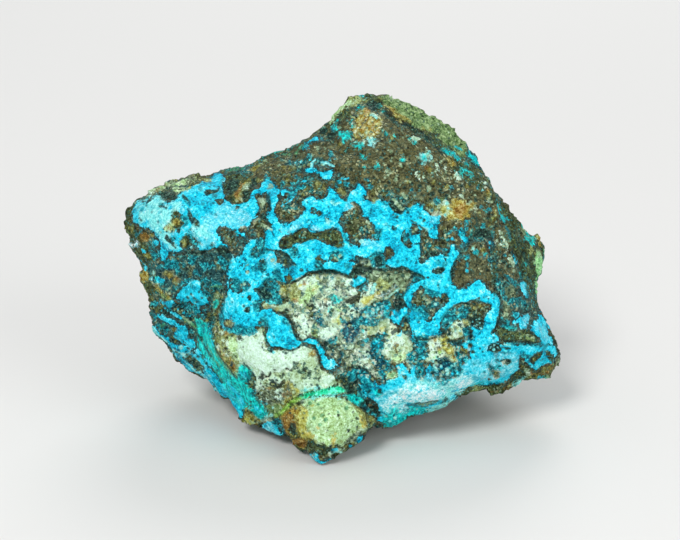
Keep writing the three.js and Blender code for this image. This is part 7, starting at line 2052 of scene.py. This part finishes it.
def stone_look():
    k = Look("brochantite_stone")
    one = k.span(k.noise(0.46, 4.0, 0.72, 1.0), 0.35, 0.65, smooth=False)
    two = k.span(k.noise(0.72, 5.0, 0.74, 2.0, 0.4), 0.35, 0.65, smooth=False)
    fine = k.span(k.noise(0.26, 2.0, 0.6, 3.0), 0.33, 0.67, smooth=False)
    medium = k.span(k.noise(2.2, 5.0, 0.68, 4.0), 0.34, 0.66, smooth=False)
    broad = k.span(k.noise(5.5, 5.0, 0.66, 5.0), 0.36, 0.64, smooth=False)
    sparkle = k.node("ShaderNodeSeparateColor")
    k.link(k.voronoi(0.30, output="Color"), sparkle.inputs[0])
    glint, glint_b = sparkle.outputs[0], sparkle.outputs[1]
    rough_mix = k.math("ADD", k.math("MULTIPLY", two, 0.62), k.math("MULTIPLY", fine, 0.38))
    rough_mix_b = k.math("ADD", k.math("MULTIPLY", one, 0.6), k.math("MULTIPLY", glint, 0.4))

    def ramp(source, *stops, tone=(1.0, 1.0, 1.0), steps=False):
        made = k.node("ShaderNodeValToRGB")
        line = made.color_ramp
        while len(line.elements) < len(stops):
            line.elements.new(0.5)
        for n, (at, colour) in enumerate(stops):
            line.elements[n].position = at
            line.elements[n].color = linear(*[min(255, c * t) for c, t in zip(colour, tone)])
        if steps:
            line.interpolation = "CONSTANT"
        k.link(source, made.inputs[0])
        return made.outputs[0]

    def edge(name, jitter, width, push=0.0):
        wobble = k.math("MULTIPLY", k.math("SUBTRACT", one, 0.5), jitter)
        value = k.math("ADD", k.attribute(name), wobble)
        return k.span(value, -width - push, width - push)

    brown = ramp(rough_mix, (0.14, (14, 20, 12)), (0.36, (48, 48, 30)), (0.52, (84, 82, 54)), (0.70, (130, 124, 90)),
                 (0.88, (200, 194, 156)), tone=(0.78, 0.91, 0.78))
    teal = ramp(rough_mix_b, (0.12, (2, 30, 36)), (0.38, (10, 72, 82)), (0.56, (28, 116, 126)), (0.74, (76, 166, 172)),
                (0.90, (146, 212, 208)), tone=(0.75, 0.97, 0.92))
    murky = k.math("MULTIPLY", edge("murk", 5.0, 3.0), 0.42)
    wet = k.math("ADD", k.math("ADD", medium, k.math("MULTIPLY", one, 0.5)), murky)
    warm = ramp(rough_mix, (0.15, (56, 48, 22)), (0.5, (120, 104, 54)), (0.85, (190, 170, 110)), tone=(0.84, 0.96, 0.88))
    colour = k.mix(k.span(k.math("ADD", broad, k.math("MULTIPLY", glint_b, 0.5)), 0.95, 1.2, 0, 0.6), brown, warm)
    colour = k.mix(k.span(wet, 0.74, 0.98), colour, teal)

    def lay(name, made, jitter=1.8, width=0.6, share=1.0, push=0.0):
        nonlocal colour
        over = edge(name, jitter, width, push)
        if share < 1:
            over = k.math("MULTIPLY", over, share)
        colour = k.mix(over, colour, made)
        return over

    olive = ramp(rough_mix, (0.12, (38, 40, 26)), (0.34, (74, 72, 54)), (0.52, (98, 96, 76)), (0.70, (122, 120, 98)),
                 (0.90, (172, 166, 138)), tone=(0.88, 0.88, 0.70))
    olive = k.mix(k.span(glint_b, 0.88, 0.94, 0, 0.75), olive, teal)
    lay("olive", olive, 2.6, 1.2, 0.92)
    lay("khaki", ramp(rough_mix, (0.12, (46, 56, 38)), (0.36, (98, 108, 78)), (0.54, (134, 144, 108)),
                      (0.72, (166, 172, 136)), (0.90, (206, 210, 178)), tone=(0.8, 0.92, 0.92)), 2.6, 1.0, 0.92)
    stones = ramp(k.mosaic(0.62, 1.0), (0.0, (50, 62, 40)), (0.24, (84, 94, 64)), (0.46, (44, 74, 60)),
                  (0.60, (104, 104, 66)), (0.78, (26, 36, 24)), (0.90, (150, 160, 116)), steps=True)
    colour = k.mix(0.24, colour, stones)
    # specks over the matrix: the bright cream ones are pale grains and painted glints, the near-black ones dark grains
    grains_and_glints = k.node("ShaderNodeSeparateColor")
    k.link(k.voronoi(0.36, output="Color"), grains_and_glints.inputs[0])
    grains_and_glints = grains_and_glints.outputs[2]
    crowd = k.span(k.math("ADD", k.math("MULTIPLY", medium, 0.6), k.math("MULTIPLY", broad, 0.4)), 0.50, 0.74, 0.16, 1.0)
    colour = k.mix(k.math("MULTIPLY", k.span(grains_and_glints, 0.84, 0.90, 0, 0.80), crowd), colour, linear(194, 202, 156))
    colour = k.mix(k.span(grains_and_glints, 0.06, 0.11, 0.74, 0), colour, linear(14, 24, 18))
    ochre = ramp(rough_mix, (0.10, (56, 44, 14)), (0.34, (126, 102, 40)), (0.54, (170, 142, 66)),
                 (0.74, (200, 176, 108)), (0.92, (228, 216, 164)), tone=(0.86, 1.02, 0.96))
    lay("ochre", ochre, 3.0, 1.3, 0.88)
    rust = ramp(rough_mix, (0.12, (54, 38, 16)), (0.5, (130, 94, 42)), (0.88, (178, 142, 86)))
    lay("rust", rust, 2.4, 1.0, 0.9)
    gold = ramp(rough_mix, (0.10, (120, 100, 36)), (0.5, (196, 178, 78)), (0.9, (230, 222, 146)))
    lay("gold", gold, 3.0, 1.4, 0.85)
    green = ramp(rough_mix, (0.10, (34, 60, 38)), (0.36, (88, 118, 80)), (0.56, (122, 152, 108)), (0.76, (156, 184, 140)),
                 (0.92, (194, 212, 174)))
    lay("green", green, 2.4, 0.9, 0.92)
    fibre = k.span(k.voronoi(0.55, stretch=(1.0, 1.0, 0.14)), 0.15, 0.75)
    fibre = k.math("ADD", k.math("MULTIPLY", fibre, 0.5), k.math("MULTIPLY", one, 0.5))
    lay("teal", ramp(fibre, (0.12, (0, 92, 96)), (0.40, (0, 148, 146)), (0.62, (24, 182, 174)), (0.88, (98, 222, 208)), tone=(0.68, 1.1, 1.06)),
        2.0, 0.9, 0.95)
    cream = ramp(k.math("ADD", k.math("MULTIPLY", medium, 0.45), k.math("MULTIPLY", rough_mix, 0.55)),
                 (0.14, (84, 92, 52)), (0.30, (152, 164, 110)), (0.46, (190, 208, 158)), (0.62, (212, 230, 190)),
                 (0.84, (240, 248, 226)), tone=(0.89, 0.97, 1))
    on_cream = lay("cream", cream, 2.2, 0.6)
    ground = ramp(rough_mix_b, (0.14, (24, 52, 50)), (0.36, (84, 116, 100)), (0.54, (148, 172, 144)),
                        (0.70, (204, 220, 190)), (0.88, (238, 244, 222)), tone=(0.94, 1.04, 1.04))
    mottle = ramp(k.mosaic(0.72, 3.0, 1.2), (0.0, (198, 222, 190)), (0.30, (164, 176, 128)), (0.46, (112, 126, 98)),
                  (0.60, (58, 130, 126)), (0.73, (14, 60, 66)), (0.86, (228, 242, 218)), steps=True)
    lay("speckle", k.mix(0.62, ground, mottle), 2.6, 1.0, 0.94)
    deep = ramp(rough_mix_b, (0.10, (0, 34, 46)), (0.36, (2, 82, 98)), (0.56, (20, 124, 140)), (0.76, (64, 172, 186)),
                (0.92, (116, 210, 216)), tone=(0.8, 1.11, 1.06))
    # hollow: a dark brown used only for the painted shade around the crust below
    hollow = ramp(rough_mix, (0.12, (18, 14, 8)), (0.36, (48, 38, 24)), (0.54, (74, 60, 40)), (0.74, (98, 86, 60)),
                  (0.92, (158, 150, 112)))
    # painted shade at the foot of every raised crust patch: a wide dark brown band, a dark teal band and a near-black
    # line at the edge
    colour = k.mix(k.math("MULTIPLY", edge("crust", 3.0, 2.5, 4.0), 0.70), colour, hollow)
    colour = k.mix(k.math("MULTIPLY", edge("crust", 4.0, 1.2, 1.6), 0.40), colour, deep)
    colour = k.mix(k.math("MULTIPLY", edge("crust", 2.4, 0.7, 1.0), 0.86), colour, linear(12, 34, 32))
    crust = ramp(k.math("ADD", k.math("MULTIPLY", medium, 0.5), k.math("MULTIPLY", rough_mix_b, 0.5)),
                 (0.20, (0, 108, 136)), (0.36, (0, 170, 200)), (0.50, (12, 210, 238)), (0.66, (60, 230, 250)),
                 (0.84, (172, 244, 252)))
    crust = k.mix(k.span(fine, 0.80, 0.98, 0, 0.7), crust, deep)
    crust = k.mix(k.span(k.noise(1.5, 4.0, 0.7, 12.0), 0.58, 0.68, 0, 0.26), crust, deep)
    pocks = k.math("MULTIPLY", k.span(k.mosaic(0.42, 8.0, 1.4), 0.905, 0.915, 0, 0.82), k.span(k.noise(3.2, 3.0, 0.6, 11.0), 0.50, 0.60))
    crust = k.mix(pocks, crust, linear(8, 52, 60))
    on_crust = lay("crust", crust, 2.2, 0.42)
    # pale: lighter crust and cream, and in places a painted highlight, as on the lower ridge and the slanted crust at
    # the lower right
    pale_crust = ramp(rough_mix, (0.12, (16, 168, 196)), (0.40, (74, 208, 226)), (0.62, (130, 228, 238)),
                      (0.88, (218, 248, 248)))
    pale_cream = ramp(rough_mix, (0.10, (150, 174, 124)), (0.36, (204, 226, 184)), (0.58, (222, 240, 212)),
                      (0.86, (246, 252, 240)))
    lay("pale", k.mix(on_crust, pale_cream, pale_crust), 5.0, 2.6, 0.78)
    slate = ramp(rough_mix_b, (0.12, (6, 30, 36)), (0.38, (26, 62, 70)), (0.58, (50, 90, 96)), (0.78, (88, 124, 122)),
                 (0.93, (156, 182, 170)), tone=(0.91, 1.02, 0.97))
    lay("slate", k.mix(k.span(medium, 0.52, 0.80, 0, 0.75), slate, brown), 3.2, 1.4, 0.94)
    earth = ramp(rough_mix, (0.12, (26, 26, 14)), (0.36, (66, 62, 38)), (0.54, (100, 94, 60)), (0.74, (142, 134, 94)),
                 (0.92, (212, 206, 160)), tone=(0.68, 0.86, 0.76))
    lay("earth", k.mix(k.span(glint_b, 0.84, 0.92, 0, 0.7), earth, teal), 2.8, 1.0, 0.96)
    lay("moss", ramp(rough_mix, (0.14, (34, 54, 32)), (0.34, (88, 118, 74)), (0.50, (136, 166, 114)),
                     (0.70, (184, 208, 160)), (0.90, (226, 236, 200)), tone=(0.82, 0.87, 0.76)), 2.6, 1.0, 0.95)
    lay("tan", ramp(rough_mix, (0.12, (78, 70, 30)), (0.34, (136, 128, 74)), (0.54, (170, 164, 106)),
                    (0.74, (202, 200, 148)), (0.92, (232, 234, 196)), tone=(0.88, 1, 0.93)), 4.6, 1.2, 0.95)
    lay("ash", ramp(rough_mix_b, (0.12, (40, 42, 30)), (0.36, (92, 94, 74)), (0.56, (128, 130, 106)),
                    (0.76, (166, 168, 142)), (0.92, (210, 212, 190)), tone=(0.92, 1.04, 1)), 4.6, 1.2, 0.95)
    lay("plate", ramp(rough_mix, (0.06, (140, 156, 112)), (0.22, (204, 224, 186)), (0.42, (228, 246, 218)),
                      (0.80, (246, 254, 242)), tone=(0.88, 0.96, 0.96)), 4.2, 0.7, 0.97)
    lay("lime", ramp(rough_mix, (0.12, (96, 112, 54)), (0.30, (156, 178, 110)), (0.50, (186, 208, 150)),
                     (0.72, (208, 228, 182)), (0.90, (238, 246, 218)), tone=(1.0, 1.09, 1.1)), 4.2, 1.4, 0.96)
    gilt = ramp(rough_mix, (0.12, (84, 54, 14)), (0.36, (170, 122, 38)), (0.58, (214, 176, 84)), (0.84, (246, 234, 176)), tone=(0.86, 0.97, 0.97))
    lay("gilt", gilt, 4.5, 2.4, 0.85)
    umber = ramp(rough_mix, (0.12, (62, 38, 12)), (0.38, (128, 84, 36)), (0.60, (164, 116, 60)), (0.88, (208, 178, 128)), tone=(0.96, 1.06, 0.97))
    lay("umber", umber, 4.0, 2.0, 0.88)
    lay("leaf", ramp(rough_mix, (0.12, (70, 108, 20)), (0.42, (122, 178, 62)), (0.70, (164, 218, 108)),
                     (0.92, (220, 244, 180))), 4.0, 2.0, 0.9)
    lay("spring", ramp(fibre, (0.12, (0, 128, 92)), (0.40, (8, 184, 132)), (0.64, (56, 214, 160)), (0.9, (150, 240, 200)), tone=(0.8, 1.1, 1.12)),
        4.5, 1.8, 0.94)
    # jade: pale green of the right edge strip, set brighter than its own colour as painted light on the grazing edge
    lay("jade", ramp(rough_mix, (0.12, (76, 130, 84)), (0.38, (132, 190, 134)), (0.60, (162, 218, 160)),
                     (0.88, (208, 246, 202)), tone=(1.04, 1.1, 1.02)), 2.6, 1.0, 0.96)
    lay("mint", ramp(rough_mix, (0.12, (70, 190, 196)), (0.36, (140, 228, 226)), (0.58, (182, 242, 236)),
                     (0.86, (232, 252, 246)), tone=(0.84, 1.01, 1.01)), 5.0, 2.6, 0.90)
    lay("film", ramp(fibre, (0.12, (0, 78, 80)), (0.36, (0, 146, 144)), (0.60, (2, 184, 178)), (0.88, (70, 222, 212)), tone=(0.5, 1.12, 1.13)),
        4.0, 1.8, 0.85)
    # white: near-white; along the lower ridge it is a painted highlight
    lay("white", ramp(rough_mix, (0.10, (40, 200, 222)), (0.34, (124, 230, 240)), (0.56, (214, 248, 250)),
                      (0.80, (250, 254, 254))), 5.0, 2.6, 0.94)
    lay("amber", ramp(rough_mix, (0.10, (134, 112, 34)), (0.45, (206, 182, 76)), (0.70, (228, 210, 116)),
                      (0.9, (240, 236, 176)), tone=(0.91, 1.04, 1.12)), 3.0, 1.2, 0.85)
    # deep: dark blue tone, and in places painted shade under crust edges and steps
    lay("deep", deep, 3.6, 0.9, 0.9)
    navy = ramp(rough_mix_b, (0.12, (2, 18, 28)), (0.40, (8, 44, 60)), (0.62, (26, 80, 94)), (0.82, (70, 138, 144)),
                (0.94, (150, 200, 190)), tone=(0.85, 1.24, 1.24))
    lay("navy", navy, 5.0, 1.2, 0.94)
    dark = ramp(rough_mix_b, (0.12, (4, 14, 14)), (0.42, (18, 38, 36)), (0.62, (44, 68, 62)), (0.82, (88, 110, 96)),
                (0.94, (140, 156, 134)), tone=(0.95, 1.14, 1.1))
    # dark: near-black cracks, holes and specks, and in places painted shadow lines under crust edges and steps and in
    # crevices
    lay("dark", dark, 2.2, 0.8, 0.92)
    lay("pit", ramp(rough_mix, (0.15, (6, 10, 8)), (0.50, (26, 32, 24)), (0.80, (62, 70, 52)), (0.94, (120, 126, 96))),
        2.2, 0.8, 0.94)
    busy = edge("busy", 4.0, 3.0)
    speck = k.mosaic(0.46, 5.0, 1.4)
    flecks = ramp(speck, (0.0, (224, 240, 206)), (0.07, (186, 204, 140)), (0.11, (150, 160, 120)), (0.80, (36, 66, 66)),
                  (0.88, (24, 30, 20)), (0.94, (20, 96, 104)), steps=True)
    apart = k.math("ADD", k.span(speck, 0.10, 0.11, 0.70, 0.0), k.span(speck, 0.795, 0.805, 0.0, 0.86))
    apart = k.math("MULTIPLY", apart, k.span(k.noise(3.4, 3.0, 0.6, 9.0), 0.42, 0.62, 0.30, 1.0))
    colour = k.mix(k.math("MULTIPLY", apart, busy), colour, flecks)
    lay("ochre_f", ochre, 2.4, 0.9, 0.62)
    lay("rust_f", rust, 2.4, 0.9, 0.7)
    lay("gold_f", gold, 2.4, 0.9, 0.75)
    lay("green_f", ramp(rough_mix, (0.10, (30, 84, 62)), (0.5, (88, 154, 112)), (0.9, (160, 206, 158)), tone=(0.8, 0.98, 0.93)), 1.8, 0.8, 0.75)
    lay("teal_f", ramp(rough_mix, (0.10, (0, 116, 122)), (0.5, (8, 174, 180)), (0.9, (84, 220, 216)), tone=(0.5, 1.12, 1.12)), 1.4, 0.7, 0.85)
    lay("cream_f", ramp(rough_mix, (0.12, (120, 136, 96)), (0.5, (184, 200, 160)), (0.9, (236, 242, 218)), tone=(0.83, 0.93, 0.91)), 1.8, 0.7, 0.8)
    lay("crust_f", crust, 1.2, 0.5, 0.88)
    lay("deep_f", deep, 1.8, 0.8, 0.78)
    lay("pale_f", ramp(rough_mix, (0.12, (96, 196, 204)), (0.5, (168, 228, 230)), (0.9, (232, 248, 244)), tone=(0.85, 0.99, 0.94)), 1.4, 0.6, 0.85)
    lay("vein_f", ramp(fibre, (0.1, (26, 140, 84)), (0.5, (64, 196, 128)), (0.9, (140, 232, 180))), 2.0, 0.9, 0.92)
    lay("dark_f", dark, 1.6, 0.6, 0.92)

    shade = k.span(k.math("ADD", k.math("MULTIPLY", fine, 0.5), k.math("MULTIPLY", one, 0.5)), 0.1, 0.9, 0.80, 1.16, False)
    tint = k.node("ShaderNodeCombineColor")
    for socket in tint.inputs[:3]:
        k.link(shade, socket)
    colour = k.mix(1.0, colour, tint.outputs[0], "MULTIPLY")

    rough = k.math("ADD", k.span(one, 0.0, 1.0, 0.60, 0.86), k.math("MULTIPLY", on_crust, -0.10))
    shader = k.node("ShaderNodeBsdfPrincipled")
    k.link(colour, shader.inputs["Base Color"])
    k.link(rough, shader.inputs["Roughness"])
    shader.inputs["Specular IOR Level"].default_value = 0.12
    bump = k.node("ShaderNodeBump")
    bump.inputs["Strength"].default_value = 0.8
    bump.inputs["Distance"].default_value = 0.00010
    k.link(k.math("ADD", one, k.math("MULTIPLY", fine, 0.6)), bump.inputs["Height"])
    k.link(bump.outputs["Normal"], shader.inputs["Normal"])
    out = k.node("ShaderNodeOutputMaterial")
    k.link(shader.outputs[0], out.inputs["Surface"])
    return k.material


mesh.materials.append(stone_look())


# --- floor, light and camera -----------------------------------------------------------------------------------------


def floor_look():
    k = Look("floor")
    shader = k.node("ShaderNodeBsdfPrincipled")
    shader.inputs["Base Color"].default_value = linear(222, 221, 218)
    shader.inputs["Roughness"].default_value = 0.9
    shader.inputs["Specular IOR Level"].default_value = 0.1
    out = k.node("ShaderNodeOutputMaterial")
    k.link(shader.outputs[0], out.inputs["Surface"])
    return k.material


bpy.ops.mesh.primitive_plane_add(size=6.0, location=(0, 0, 0))
floor = bpy.context.object
floor.name = "floor"
floor.data.materials.append(floor_look())


def soft_light(name, place, size, power, aim=(0, 0, 0.025), colour=(1, 1, 1)):
    data = bpy.data.lights.new(name, "AREA")
    data.shape = "DISK"
    data.size = size
    data.energy = power
    data.color = colour
    made = bpy.data.objects.new(name, data)
    made.location = place
    made.rotation_euler = (Vector(aim) - Vector(place)).to_track_quat("-Z", "Y").to_euler()
    bpy.context.scene.collection.objects.link(made)
    return made


soft_light("key_light", (-0.35, -0.75, 0.75), 0.35, 7.6)
soft_light("fill_light", (0.65, -0.55, 0.35), 0.6, 3.0)
soft_light("rear_light", (0.1, 0.8, 0.7), 0.6, 4.0)

world = bpy.data.worlds.new("studio")
world.use_nodes = True
world.node_tree.nodes["Background"].inputs["Color"].default_value = (0.93, 0.96, 1.0, 1.0)
world.node_tree.nodes["Background"].inputs["Strength"].default_value = 0.50
bpy.context.scene.world = world
bpy.context.scene.view_settings.view_transform = "Standard"
bpy.context.scene.view_settings.look = "None"

camera_data = bpy.data.cameras.new("camera")
camera_data.lens = LENS
camera_data.sensor_width = SENSOR
camera_data.clip_start = 0.01
camera_data.clip_end = 20.0
camera = bpy.data.objects.new("camera", camera_data)
camera.location = Vector(EYE * MM)
camera.rotation_euler = Vector(-BACK).to_track_quat("-Z", "Y").to_euler()
bpy.context.scene.collection.objects.link(camera)
bpy.context.scene.camera = camera
